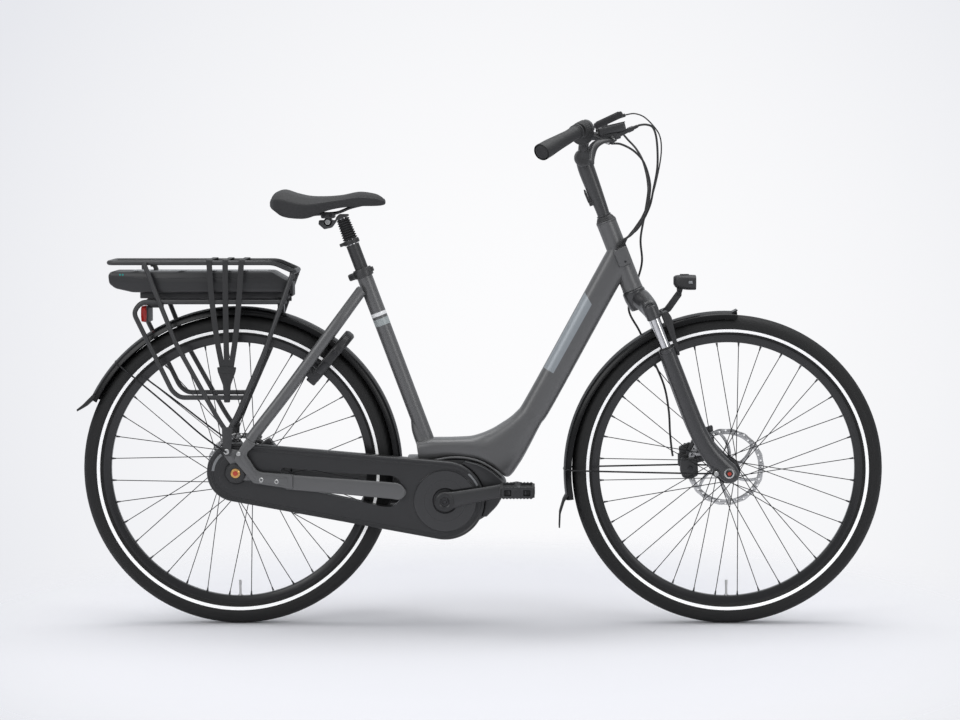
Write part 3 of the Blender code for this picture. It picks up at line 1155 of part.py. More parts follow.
# Cockpit
BAR_HOLE_RADIUS = round_hole(BAR_RADIUS, BAR_SIDES)
STEM = make_frame("stem_slide_axis", HEAD_BOTTOM.x, 0, HEAD_BOTTOM.z, HEAD_TILT, BIKE)
BAR_PIVOT = HEAD_BOTTOM + HEAD_AHEAD * BAR_PIVOT_AHEAD + HEAD_UP * BAR_PIVOT_UP
BAR = make_frame("bar_pivot", BAR_PIVOT.x, 0, BAR_PIVOT.z, parent=BIKE)


def build_stem():
    """Height-adjustable stem: quill, tapering body and the clamp round the bar."""
    body = loft(STEM, [
        section((middle, 0, up), (0, 1, 0), (1, 0, 0), width, depth, 2.3, 14)
        for up, middle, width, depth in ((STEM_FOOT, 0.0, 0.0150, 0.0144), (0.1950, 0.0008, 0.0150, 0.0146),
                                         (0.2250, 0.0011, 0.0155, 0.0161), (0.2600, 0.0010, 0.0170, 0.0182),
                                         (0.2950, 0.0017, 0.0195, 0.0192), (0.3200, 0.0035, 0.0205,
                                                                            0.0185))])
    clamp = rod(STEM, (BAR_PIVOT_AHEAD, -0.0220, BAR_PIVOT_UP), (BAR_PIVOT_AHEAD, 0.0220, BAR_PIVOT_UP),
                0.0206, sides=16)
    quill = rod(STEM, (0, 0, 0.0650), (0, 0, 0.2000), QUILL_RADIUS, sides=14)
    bar_hole = rod(STEM, (BAR_PIVOT_AHEAD, -0.1, BAR_PIVOT_UP), (BAR_PIVOT_AHEAD, 0.1, BAR_PIVOT_UP),
                   round_hole(BAR_CLAMP_RADIUS), sides=16)
    cheeks = [box(STEM, (0.0120, 0.0030, 0.0090), (-0.0160, side * (LEVER_HALF + GAP + 0.0015),
                                                   LEVER_PIVOT[1]))
              for side in (-1, 1)]
    return cut(join(body, clamp, quill, *cheeks), bar_hole)


def build_stem_lever():
    frame = make_frame("stem_lever_pivot", LEVER_PIVOT[0], 0, LEVER_PIVOT[1], parent=STEM)
    outline = [(ahead - LEVER_PIVOT[0], up - LEVER_PIVOT[1]) for ahead, up in (
        (-0.0172, 0.2160), (-0.0182, 0.2530), (-0.0215, 0.2550), (-0.0235, 0.2450), (-0.0230, 0.2230),
        (-0.0192, 0.2155))]
    finish(as_mesh(plate(frame, outline, 2 * LEVER_HALF)), "stem_lever", BLACK_PLASTIC, frame)


def bar_path(side, reach=0.0):
    """Centre line of half the handlebar, straight where the twist shifter turns."""
    inner = smooth_path([(0, 0.0310, 0), (0.0030, 0.0480, 0.0070), (0.0060, 0.0750, 0.0330),
                         (0.0060, 0.1020, 0.0568), SHIFTER_INNER], 2)
    outer = smooth_path([SHIFTER_OUTER, (-0.0340, 0.2180, 0.0486), (-0.0660, 0.2540, 0.0310),
                         (-0.0990 - reach * 0.66, 0.2900 + reach * 0.66, 0.0145 - reach * 0.34)], 2)
    return [(x, side * y, z) for x, y, z in inner + outer]


def build_handlebar():
    right = bar_path(-1)
    left = bar_path(1)
    path = list(reversed(right)) + left
    thick = BAR_CLAMP_RADIUS / BAR_RADIUS
    radii = [thick if abs(point[1]) < 0.035 else 1.0 for point in path]
    return tube(BAR, path, BAR_RADIUS, 2, radii)


def along_bar(side, start, end):
    """The stretch of the bar's path between two distances across the bike, past its end where asked."""
    path = bar_path(side, 0.006)
    return [point for point in path if start <= abs(point[1]) <= end]


def build_grip(side):
    """Rubber sleeve over the bar's end."""
    sleeve = tube(BAR, along_bar(side, 0.1885 if side > 0 else 0.1900, 0.3), 0.0165, 2)
    hole = tube(BAR, [point for point in bar_path(side) if abs(point[1]) > 0.15], BAR_HOLE_RADIUS, 2)
    return cut(sleeve, hole)


def build_twist_shifter():
    """Turning sleeve on the straight part of the bar, between the grip and the brake's clamp."""
    inner = Vector((SHIFTER_INNER[0], -SHIFTER_INNER[1], SHIFTER_INNER[2]))
    outer = Vector((SHIFTER_OUTER[0], -SHIFTER_OUTER[1], SHIFTER_OUTER[2]))
    along = (outer - inner).normalized()
    middle = (inner + outer) / 2
    frame = bpy.data.objects.new("twist_axis", None)
    frame.location = middle
    frame.rotation_euler = along.to_track_quat("Z", "X").to_euler()
    frame.parent = BAR
    bike_collection.objects.link(frame)
    bpy.context.view_layer.update()
    half = (outer - inner).length / 2
    sleeve = turned(frame, [
        (BAR_HOLE_RADIUS, half - 0.0010), (0.0165, half - 0.0010), (0.0178, half - 0.0060),
        (0.0185, -half + 0.0220),
        (0.0190, -half + 0.0125), (BAR_HOLE_RADIUS, -half + 0.0125)], sides=16, along="Z", closed=True)
    finish(sleeve, "twist_shifter", SOFT_RUBBER, frame)


def mirror_y(point, side):
    return (point[0], side * point[1], point[2])


def build_brake_body(side):
    """Brake cylinder with its clamp ring and hose end; the right one also holds the shifter's housing."""
    path = bar_path(side)
    here = [Vector(point) for point in path if 0.098 < abs(point[1]) < 0.130]
    ring_start = here[-2].lerp(here[-1], 0.15)
    ring_end = here[-1]
    along = (ring_end - ring_start).normalized()
    clamp = rod(BAR, ring_start - along * 0.004, ring_end + along * 0.0030, 0.0170, sides=16)
    body = rod(BAR, mirror_y((0.0120, 0.1180, 0.0491), side), mirror_y((0.0820, 0.1260, 0.0511), side),
               0.0098, sides=12)
    tip = HOSE_TIP_RIGHT if side < 0 else HOSE_TIP_LEFT
    neck = rod(BAR, mirror_y(BRAKE_FRONT, side), mirror_y(tip, side), 0.0062, 0.0036, sides=10)
    pieces = [body, neck]
    if side < 0:
        pieces.append(rod(BAR, mirror_y(SHIFT_ROOT, side), mirror_y(SHIFT_TIP, side), 0.0075, 0.0036,
                          sides=10))
        inner = Vector(mirror_y(SHIFTER_INNER, side))
        outer = Vector(mirror_y(SHIFTER_OUTER, side))
        straight = (outer - inner).normalized()
        pieces.append(rod(BAR, inner - straight * 0.0020, inner + straight * 0.0120, 0.0190, sides=16))
    hole = tube(BAR, [point for point in path if 0.06 < abs(point[1]) < 0.20], BAR_HOLE_RADIUS, 2)
    pivot = Vector(mirror_y(LEVER_TOP, side))
    axis = Vector(mirror_y(LEVER_AXIS, side))
    core = Vector(mirror_y((0.0640, 0.1239, 0.0498), side))
    pieces.append(rod(BAR, core, pivot + (pivot - core).normalized() * 0.0015, 0.0076, sides=10))
    slot = rod(BAR, pivot - axis * (KNUCKLE_HALF + GAP), pivot + axis * (KNUCKLE_HALF + GAP), 0.0086,
               sides=16)
    return cut(join(clamp, *pieces), hole, slot)


def build_brake_lever(side):
    """Bent blade hanging in front of the grip from the pivot on the brake body."""
    name = "right" if side < 0 else "left"
    frame = make_frame("brake_lever_pivot_" + name, LEVER_TOP[0], side * LEVER_TOP[1], LEVER_TOP[2],
                       parent=BAR)
    path = [Vector(mirror_y(point, side)) - Vector(mirror_y(LEVER_TOP, side)) for point in (
        LEVER_TOP, (0.0615, 0.1510, 0.0290), (0.0480, 0.1760, 0.0150), (0.0330, 0.1970, 0.0042), LEVER_TIP)]
    axis = Vector(mirror_y(LEVER_AXIS, side))
    knuckle = rod(frame, -axis * KNUCKLE_HALF, axis * KNUCKLE_HALF, KNUCKLE_RADIUS, sides=12)
    rings = []
    for index, point in enumerate(path):
        along = (path[min(index + 1, len(path) - 1)] - path[max(index - 1, 0)]).normalized()
        upward = along.cross(Vector((0.66, 0, 0.75))).normalized()
        across = upward.cross(along).normalized()
        width = (0.0045, 0.0065, 0.0075, 0.0075, 0.0060)[index]
        thick = 0.0032 if index == 0 else 0.0040
        rings.append(section(point, across, upward, thick, width, 2.2, 8))
    finish(join(knuckle, loft(frame, rings)), "brake_lever_" + name, BLACK_METAL, frame)


def build_display():
    """Display over the bar's middle with its clamp ring and arm."""
    case = box(BAR, (0.0700, 0.0740, 0.0170), (0.0575, -0.0040, 0.0862), bevel=0.005,
               tilt=math.radians(-25), segments=2)
    ring = turned(BAR, [(round_hole(BAR_CLAMP_RADIUS), -0.0225), (0.0165, -0.0225), (0.0165, -0.0300),
                        (round_hole(BAR_CLAMP_RADIUS), -0.0300)], sides=16, closed=True)
    arm = tube(BAR, [(0.0100, -0.0268, 0.0110), (0.0330, -0.0268, 0.0360), (0.0520, -0.0230, 0.0780)],
               0.0042, 1)
    pocket = rod(BAR, mirror_y(DISPLAY_ROOT, -1), mirror_y(DISPLAY_TIP, -1), 0.0045, sides=8)
    return join(case, arm, ring, pocket)


# Seat
POST = make_frame("seatpost_axis", SEAT_TOP.x, 0, SEAT_TOP.z, SEAT_TILT, BIKE)
MAST = make_frame("suspension_axis", SEAT_TOP.x, 0, SEAT_TOP.z, SEAT_TILT, BIKE)
SADDLE = make_frame("saddle_tilt_axis", TILT_BOLT[0], 0, TILT_BOLT[1], parent=BIKE)


def build_seatpost():
    """Post with its head collar, bored for the sprung mast."""
    shape = turned(POST, [
        (0, POST_TOP + 0.0080), (0.0180, POST_TOP + 0.0080), (0.0188, POST_TOP + 0.0020),
        (0.0188, POST_TOP - 0.0010),
        (SEATPOST_RADIUS, POST_TOP - 0.0030), (SEATPOST_RADIUS, -0.1500), (0, -0.1500)], sides=16,
        along="Z")
    lug = box(POST, (0.0120, 0.0080, 0.0080), (-0.0220, 0, POST_TOP + 0.0030), bevel=0.0015)
    bore = rod(POST, (0, 0, POST_TOP + 0.02), (0, 0, -0.0800), round_hole(MAST_RADIUS, 14), sides=14)
    return cut(join(shape, lug), bore)


def build_mast():
    """Sliding mast with the saddle clamp's lower half at its head."""
    mast = rod(MAST, (0, 0, -0.0300), (0, 0, MAST_TOP + 0.004), MAST_RADIUS, sides=14)
    head = plate(BIKE, [(0.1879, 0.9240), (0.2012, 0.9124), (0.2180, 0.9160), (0.2255, 0.9262),
                        (0.2288, 0.9322),
                        (0.2560, 0.9424), (0.2560, 0.9470), (0.2350, 0.9470), (0.2285, 0.9400),
                        (0.2262, 0.9331),
                        (0.1890, 0.9331)], 0.0300)
    barrel = rod(SADDLE, (0, -0.0150, 0), (0, 0.0150, 0), TILT_BARREL_RADIUS, sides=16)
    return join(mast, head, barrel)


def build_gaiter():
    """Rubber bellows over the mast between the post's collar and the saddle clamp."""
    low = POST_TOP + 0.0080 + GAP
    high = MAST_TOP - 0.0010
    ribs = 8
    outer = []
    for rib in range(ribs):
        share = rib / ribs
        valley = low + (high - low) * share
        crest = low + (high - low) * (share + 0.5 / ribs)
        outer.append((0.0142 - 0.0006 * share, valley))
        outer.append((0.0178 - 0.0025 * share, crest))
    outer.append((0.0136, high))
    bore = round_hole(MAST_RADIUS, 14)
    profile = [(bore, high), *reversed(outer), (bore, low)]
    return turned(MAST, profile, sides=14, along="Z", closed=True)


def build_saddle_rails():
    """Two rails and the clamp's upper half that holds them."""
    rails = []
    for side in (-1, 1):
        path = smooth_path([(-0.0820, side * 0.0300, 0.0310), (-0.0620, side * 0.0260, 0.0140),
                            (-0.0250, side * 0.0220, 0.0180),
                            (0.0180, side * 0.0220, 0.0205), (0.0520, side * 0.0180, 0.0330),
                            (0.0900, side * 0.0100, 0.0422)], 2)
        rails.append(tube(SADDLE, path, 0.0035, 1))
    clamp = box(SADDLE, (0.0300, 0.0540, 0.0142), (0, 0, 0.0151))
    seat = rod(SADDLE, (0, -0.1, 0), (0, 0.1, 0), round_hole(TILT_BARREL_RADIUS), sides=16)
    return join(cut(clamp, seat), *rails)


def build_saddle():
    """Padded saddle: a cage of ten sections, crowned on top, drawn in at the sides and hollow below."""
    mesh = bpy.data.meshes.new("saddle")
    work = bmesh.new()
    layers = []
    for x, top, bottom, half, crown in SADDLE_STATIONS:
        height = top - bottom
        ring = [(0.0, top), (0.45, top - crown * 0.25), (0.82, top - crown - height * 0.06),
                (1.0, top - height * 0.38),
                (0.97, bottom + height * 0.22), (0.86, bottom), (0.74, bottom + height * 0.16),
                (0.40, bottom + height * 0.40), (0.0, bottom + height * 0.44)]
        points = [(x, -share * half, z) for share, z in ring]
        points += [(x, share * half, z) for share, z in reversed(ring[1:-1])]
        layers.append([work.verts.new(Vector(point) - Vector((TILT_BOLT[0], 0,
                                                              TILT_BOLT[1]))) for point in points])
    for first, second in zip(layers, layers[1:]):
        for index in range(len(first)):
            work.faces.new((first[index - 1], first[index], second[index], second[index - 1]))
    for layer, (x, top, bottom, half, crown) in ((layers[0], SADDLE_STATIONS[0]),
                                                 (layers[-1], SADDLE_STATIONS[-1])):
        middle = work.verts.new((x - TILT_BOLT[0], 0, bottom + (top - bottom) * 0.7 - TILT_BOLT[1]))
        for index in range(len(layer)):
            work.faces.new((layer[index - 1], layer[index], middle))
    bmesh.ops.recalc_face_normals(work, faces=work.faces)
    work.to_mesh(mesh)
    work.free()
    item = new_object("saddle", mesh, SADDLE)
    smooth = item.modifiers.new("smooth", "SUBSURF")
    smooth.levels = 1
    smooth.render_levels = 1
    return item


# Lines from the handlebar, as (ahead, across, up) in the steering frame
def cable(points, radius, steps=2):
    return tube(STEERING, smooth_path(points, steps), radius, 1)


def leaving(root, tip, side):
    """First points of a line that goes on straight from a hose end on the brake body, in the steering frame."""
    along = (Vector(tip) - Vector(root)).normalized()
    points = []
    for reach in (LINE_GAP, 0.0050):
        place = BAR_PIVOT + Vector(mirror_y(Vector(tip) + along * reach, side)) - HEAD_BOTTOM
        points.append((place.dot(HEAD_AHEAD), place.y, place.dot(HEAD_UP)))
    return points


def build_cables():
    front = [*leaving(BRAKE_FRONT, HOSE_TIP_LEFT, 1), (0.1185, 0.1230, 0.3219), (0.1278, 0.1130, 0.2972),
             (0.1319, 0.0980, 0.2689), (0.1285, 0.0800, 0.2358), (0.1215, 0.0640, 0.2077),
             (0.1128, 0.0520, 0.1881),
             (0.0900, 0.0400, 0.1500), (0.0500, 0.0380, 0.1000), (0.0180, 0.0400, 0.0500),
             (-0.0120, 0.0480, 0.0050),
             (-0.0240, 0.0540, -0.0400), (-0.0200, 0.0580, -0.1000), (-0.0150, 0.0620, -0.1700),
             (-0.0130, 0.0700, -0.2400),
             (-0.0240, 0.0800, -0.3000), (-0.0400, 0.0840, -0.3500), (-0.0500, 0.0800, -0.3850),
             (-0.0540, 0.0730, -0.4020)]
    rear = [*leaving(BRAKE_FRONT, HOSE_TIP_RIGHT, -1), (0.1612, -0.1210, 0.3413), (0.1728, -0.1100, 0.3303),
            (0.1732, -0.0900, 0.3077), (0.1645, -0.0620, 0.2731), (0.1503, -0.0400, 0.2368),
            (0.1277, -0.0260, 0.1993),
            (0.1032, -0.0220, 0.1629),
            (0.0640, -0.0230, 0.1290), (0.0310, -0.0250, 0.1170), (0.0115, -0.0262, PORT_TOP)]
    shift = [*leaving(SHIFT_ROOT, SHIFT_TIP, -1), (0.0924, -0.1120, 0.3216), (0.1118, -0.1030, 0.3005),
             (0.1246, -0.0860, 0.2740), (0.1275, -0.0660, 0.2459), (0.1233, -0.0480, 0.2128),
             (0.1122, -0.0370, 0.1865),
             (0.0983, -0.0320, 0.1655),
             (0.0500, -0.0340, 0.1240), (0.0185, -0.0310, 0.1150), (0.0000, -0.0285, PORT_TOP)]
    screen = [*leaving(DISPLAY_ROOT, DISPLAY_TIP, -1), (0.1504, -0.0010, 0.3734), (0.1673, 0.0020, 0.3590),
              (0.1796, 0.0040, 0.3333), (0.1855, 0.0040, 0.3062), (0.1777, 0.0020, 0.2752),
              (0.1576, -0.0020, 0.2382),
              (0.1252, -0.0060, 0.1914), (0.1000, -0.0090, 0.1630), (0.0600, -0.0140, 0.1340),
              (0.0350, -0.0175, 0.1190), (0.0185, -0.0205, PORT_TOP)]
    finish(as_mesh(cable(front, HOSE_RADIUS, 1)), "front_brake_hose", BLACK_PLASTIC, STEERING)
    finish(as_mesh(cable(rear, HOSE_RADIUS)), "rear_brake_hose", BLACK_PLASTIC, STEERING)
    finish(as_mesh(cable(shift, HOSE_RADIUS)), "shift_cable", BLACK_PLASTIC, STEERING)
    finish(as_mesh(cable(screen, WIRE_RADIUS)), "display_cable", BLACK_PLASTIC, STEERING)


finish(build_stem(), "stem", BLACK_METAL, STEM)
build_stem_lever()
finish(as_mesh(build_handlebar()), "handlebar", BLACK_METAL, BAR)
finish(build_grip(-1), "grip_right", SOFT_RUBBER, BAR)
finish(build_grip(1), "grip_left", SOFT_RUBBER, BAR)
build_twist_shifter()
finish(build_brake_body(-1), "brake_body_right", BLACK_METAL, BAR)
finish(build_brake_body(1), "brake_body_left", BLACK_METAL, BAR)
build_brake_lever(-1)
build_brake_lever(1)
finish(build_display(), "display", BLACK_PLASTIC, BAR)
finish(build_seatpost(), "seatpost", BLACK_METAL, POST)
finish(build_mast(), "suspension_mast", BLACK_METAL, MAST)
finish(build_gaiter(), "gaiter", SOFT_RUBBER, MAST)
finish(build_saddle_rails(), "saddle_rails", STEEL, SADDLE)
finish(build_saddle(), "saddle", SADDLE_SKIN, SADDLE)
build_cables()
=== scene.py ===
# City bike: the look of each piece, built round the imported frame
import math
import bpy
import bmesh
import numpy as np
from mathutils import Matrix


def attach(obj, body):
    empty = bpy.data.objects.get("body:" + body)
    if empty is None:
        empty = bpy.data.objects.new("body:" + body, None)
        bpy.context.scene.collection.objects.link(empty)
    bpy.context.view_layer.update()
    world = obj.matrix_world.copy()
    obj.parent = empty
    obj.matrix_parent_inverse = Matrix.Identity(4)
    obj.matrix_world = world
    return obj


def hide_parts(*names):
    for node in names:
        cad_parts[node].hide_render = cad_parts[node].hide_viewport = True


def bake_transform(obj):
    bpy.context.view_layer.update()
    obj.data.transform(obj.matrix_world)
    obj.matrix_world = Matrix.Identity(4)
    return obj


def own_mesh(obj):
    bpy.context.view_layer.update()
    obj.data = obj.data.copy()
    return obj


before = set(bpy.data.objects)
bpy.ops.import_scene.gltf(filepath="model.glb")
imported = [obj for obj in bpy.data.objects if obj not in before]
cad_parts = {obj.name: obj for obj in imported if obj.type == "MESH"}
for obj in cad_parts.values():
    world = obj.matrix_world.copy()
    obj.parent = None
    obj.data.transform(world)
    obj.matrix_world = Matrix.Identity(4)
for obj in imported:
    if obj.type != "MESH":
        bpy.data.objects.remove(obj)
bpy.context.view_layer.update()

# Places that the pieces are drawn from, in metres and degrees
bike = {"rearX": -0.5575, "wheelbase": 1.127, "wheelRadius": 0.358, "crankX": 0.4777, "crankZ": 0.2932,
    "crankAngle": 11.6, "crankLength": 0.17, "headAngle": 68.5, "crownRise": 0.467, "rake": 0.051, "seatAngle": 69.5,
    "seatFootX": 0.483, "seatTube": 0.5548, "barAhead": 0.004, "barUp": 0.3227, "tiltX": 0.2095, "tiltZ": 0.9291,
    "lampAhead": 0.096, "lampUp": -0.047}


def place(x, z, degrees=90.0):
    # a flat frame across the bike: its origin, its own forward direction and its own upward direction
    turn = math.radians(degrees)
    ahead = np.array([math.sin(turn), 0.0, math.cos(turn)])
    upward = np.array([-math.cos(turn), 0.0, math.sin(turn)])
    return np.array([bike["rearX"] + x, 0.0, z]), ahead, upward


headTurn = math.radians(bike["headAngle"])
headX = bike["wheelbase"] - bike["rake"] * math.sin(headTurn) - bike["crownRise"] * math.cos(headTurn)
headZ = bike["wheelRadius"] - bike["rake"] * math.cos(headTurn) + bike["crownRise"] * math.sin(headTurn)
seatTurn = math.radians(bike["seatAngle"])
fromGround = place(0, 0)
fromRear = place(0, bike["wheelRadius"])
fromFront = place(bike["wheelbase"], bike["wheelRadius"])
fromCrank = place(bike["crankX"], bike["crankZ"])
fromHead = place(headX, headZ, bike["headAngle"])
fromSeat = place(bike["seatFootX"] - math.cos(seatTurn) * bike["seatTube"],
    bike["crankZ"] + math.sin(seatTurn) * bike["seatTube"], bike["seatAngle"])
barCentre = fromHead[0] + fromHead[1] * bike["barAhead"] + fromHead[2] * bike["barUp"]
fromBar = (barCentre, *fromGround[1:])
fromTilt = place(bike["tiltX"], bike["tiltZ"])
lampCentre = fromHead[0] + fromHead[1] * bike["lampAhead"] + fromHead[2] * bike["lampUp"]
fromLamp = (lampCentre, *fromGround[1:])


def put(where, points):
    # world place = origin + forward x first number + leftward x second + upward x third
    points = np.asarray(points, float)
    origin, ahead, upward = where
    return origin + points[..., :1] * ahead + points[..., 1:2] * np.array([0.0, 1.0, 0.0]) + points[..., 2:3] * upward


def aim(where, vector):
    return put(where, vector) - where[0]


# Lines and outlines
def tenths(rows):
    # sizes written in tenths of a millimetre, as metres
    return np.array(rows, float) / 10000


def sideView(rows, y=0.0, ahead=0, up=1):
    # two columns of the rows, as points in a plane that stands along the bike
    return np.column_stack([rows[:, ahead], np.full(len(rows), y), rows[:, up]])


def unit(vector):
    return vector / np.linalg.norm(vector)


def unitRows(rows):
    return rows / np.linalg.norm(rows, axis=1, keepdims=True)


def fullTurn(steps):
    return np.linspace(0, 2 * math.pi, steps, endpoint=False)


def smoothRows(rows, steps):
    # Catmull-Rom: each stretch is a cubic through two rows, steered by the rows before and after them
    rows = np.asarray(rows, float)
    full = np.vstack([2 * rows[0] - rows[1], rows, 2 * rows[-1] - rows[-2]])
    before, first, second, after = full[:-3], full[1:-2], full[2:-1], full[3:]
    t = (np.arange(steps) / steps)[None, :, None]
    part = 0.5 * (2 * first[:, None] + (second - before)[:, None] * t
        + (2 * before - 5 * first + 4 * second - after)[:, None] * t ** 2
        + (3 * first - before - 3 * second + after)[:, None] * t ** 3)
    return np.vstack([part.reshape(-1, rows.shape[1]), rows[-1:]])


def filletLoop(points, radius, steps=4, closed=True):
    # each corner becomes a short curve that leaves and meets its two sides radius away from the corner
    points = np.asarray(points, float)
    before, after = np.roll(points, 1, axis=0), np.roll(points, -1, axis=0)
    toBefore, toAfter = before - points, after - points
    lengthBefore = np.linalg.norm(toBefore, axis=1, keepdims=True)
    lengthAfter = np.linalg.norm(toAfter, axis=1, keepdims=True)
    reach = np.minimum(np.broadcast_to(np.asarray(radius, float).reshape(-1, 1), lengthBefore.shape),
        0.45 * np.minimum(lengthBefore, lengthAfter))
    start = points + toBefore / lengthBefore * reach
    end = points + toAfter / lengthAfter * reach
    t = np.linspace(0, 1, steps + 1)[None, :, None]
    curve = (1 - t) ** 2 * start[:, None] + 2 * t * (1 - t) * points[:, None] + t ** 2 * end[:, None]
    if closed:
        return curve.reshape(-1, points.shape[1])
    return np.vstack([points[:1], curve[1:-1].reshape(-1, points.shape[1]), points[-1:]])


def arcPoints(x, z, radius, start, end, steps):
    turn = np.radians(np.linspace(start, end, steps + 1))
    return np.column_stack([x + radius * np.cos(turn), z + radius * np.sin(turn)])


# Shapes: each returns its points, its faces and its material's number
def shapeOf(points, faces, material=0):
    # the faces are turned outwards: the sum of each face's signed volume has to be positive
    points = np.asarray(points, float)
    fans = [(face[0], face[i], face[i + 1]) for face in faces for i in range(1, len(face) - 1)]
    corners = points[np.array(fans)] - points.mean(axis=0)
    volume = np.einsum("ij,ij->i", corners[:, 0], np.cross(corners[:, 1], corners[:, 2])).sum()
    if volume < 0:
        faces = [face[::-1] for face in faces]
    return {"points": points, "faces": faces, "material": material}


def gridShape(grid, material=0, closedRows=False):
    # a grid of rows round a form: neighbours are joined in fours, and the two end rows are closed by one face each
    rows, columns = grid.shape[:2]
    nextRow = np.arange(rows if closedRows else rows - 1)
    i, j = np.meshgrid(nextRow, np.arange(columns), indexing="ij")
    up, side = (i + 1) % rows, (j + 1) % columns
    quads = np.stack([i * columns + j, i * columns + side, up * columns + side, up * columns + j], axis=-1)
    faces = quads.reshape(-1, 4).tolist()
    if not closedRows:
        faces.append(list(range(columns))[::-1])
        faces.append(list(range((rows - 1) * columns, rows * columns)))
    return shapeOf(grid.reshape(-1, 3), faces, material)


def roundEnds(grid, edge, steps=3):
    # at both ends the last row goes on inwards over a quarter circle, so the end's rim is rounded
    turns = np.linspace(0, math.pi / 2, steps + 1)
    rows = list(grid)
    for last in (True, False):
        end, before = (rows[-1], rows[-2]) if last else (rows[0], rows[1])
        middle = end.mean(axis=0)
        out = unit(middle - before.mean(axis=0))
        size = np.linalg.norm(end - middle, axis=1).mean()
        extra = [middle + (end - middle) * (1 - edge * (1 - math.cos(t)) / size) + out * edge * (math.sin(t) - 1)
            for t in turns]
        rows = rows[:-1] + extra if last else extra[::-1] + rows[1:]
    return np.array(rows)


def directions(path):
    # the direction of a line at each of its points, and two directions across it that don't twist on the way
    path = np.asarray(path, float)
    along = unitRows(np.gradient(path, axis=0))
    first = np.cross(along[0], (0.0, 1.0, 0.0))
    if np.linalg.norm(first) < 0.2:
        first = np.cross(along[0], (1.0, 0.0, 0.0))
    across = [unit(first)]
    for step in along[1:]:
        carried = across[-1] - step * np.dot(across[-1], step)
        across.append(unit(carried))
    across = np.array(across)
    return along, across, np.cross(along, across)


def tubeShape(path, radius, sides=16, material=0, edge=0.0, closed=False):
    # a circle of the given radius carried along the path: centre + radius x (cosine x across + sine x other way across)
    path = np.asarray(path, float)
    radius = np.broadcast_to(np.asarray(radius, float), (len(path),))
    _, across, other = directions(path)
    turn = fullTurn(sides)[None, :, None]
    grid = path[:, None] + radius[:, None, None] * (np.cos(turn) * across[:, None] + np.sin(turn) * other[:, None])
    if closed:
        return gridShape(grid[:-1], material, closedRows=True)
    return gridShape(roundEnds(grid, edge) if edge else grid, material)


def superLoop(sides, power):
    # |x|^p + |y|^p = 1: a circle at p = 2, squarer above
    turn = fullTurn(sides)
    c, s = np.cos(turn)[None], np.sin(turn)[None]
    power = np.asarray(power, float).reshape(-1, 1)
    return np.sign(c) * np.abs(c) ** (2 / power), np.sign(s) * np.abs(s) ** (2 / power)


def loftShape(centres, across, upward, width, height, power=2.0, sides=32, material=0, edge=0.0):
    # rows of rounded sections: centre + across x half width x one wave + upward x half height x the other wave
    centres = np.asarray(centres, float)
    count = len(centres)
    across = np.broadcast_to(np.asarray(across, float), (count, 3))
    upward = np.broadcast_to(np.asarray(upward, float), (count, 3))
    power = np.broadcast_to(np.asarray(power, float), (count,))
    c, s = superLoop(sides, power)
    width = np.broadcast_to(np.asarray(width, float), (count,)).reshape(-1, 1, 1)
    height = np.broadcast_to(np.asarray(height, float), (count,)).reshape(-1, 1, 1)
    grid = centres[:, None] + across[:, None] * width * c[..., None] + upward[:, None] * height * s[..., None]
    return gridShape(roundEnds(grid, edge) if edge else grid, material)


def nearEnds(profile, closed=False):
    # long straight steps get points 1.5 and 4 mm from their ends, so that the lightened edges (wear and painted edge
    # sheen) stay near the edge
    profile = np.asarray(profile, float)
    rows = [profile[0]]
    for first, second in zip(profile, np.vstack([profile[1:], profile[:1]]) if closed else profile[1:]):
        length = np.linalg.norm(second - first)
        if length > 0.01:
            rows += [first + (second - first) * share / length for share in (0.0015, 0.004, length - 0.004,
                length - 0.0015)]
        rows.append(second)
    return np.array(rows[:-1] if closed else rows)


def latheShape(where, profile, y=0.0, sides=64, material=0, axis="across", closed=False, centre=(0.0, 0.0)):
    # each profile point (radius, distance along the axis) goes round the axis in a full circle
    profile = nearEnds(profile, closed)
    turn = fullTurn(sides)[None, :]
    radius, reach = profile[:, :1], profile[:, 1:2] + np.zeros_like(turn)
    one, two = radius * np.cos(turn), radius * np.sin(turn)
    if axis == "across":
        local = np.stack([one + centre[0], reach + y, two + centre[1]], axis=-1)
    else:
        local = np.stack([one + centre[0], two + y, reach + centre[1]], axis=-1)
    return gridShape(put(where, local), material, closedRows=closed)


def turnedShape(where, points, radius, steps, y=0.0, sides=64, material=0, axis="across", closed=True,
        centre=(0.0, 0.0)):
    # an outline of (radius, distance along the axis) with rounded corners, turned in a full circle
    return latheShape(where, filletLoop(points, radius, steps, closed), y, sides, material, axis, closed, centre)


def rodShape(where, start, end, radius, sides=24, material=0, edge=0.0006):
    # a round rod: start + share x (end - start), with rows close to both ends
    path = put(where, np.array([start, end], float))
    length = np.linalg.norm(path[1] - path[0])
    near = min(0.3, 0.003 / length)
    shares = np.array([0, near, 0.5, 1 - near, 1])
    path = path[0] + (path[1] - path[0]) * shares[:, None]
    return tubeShape(path, radius, sides, material, edge)


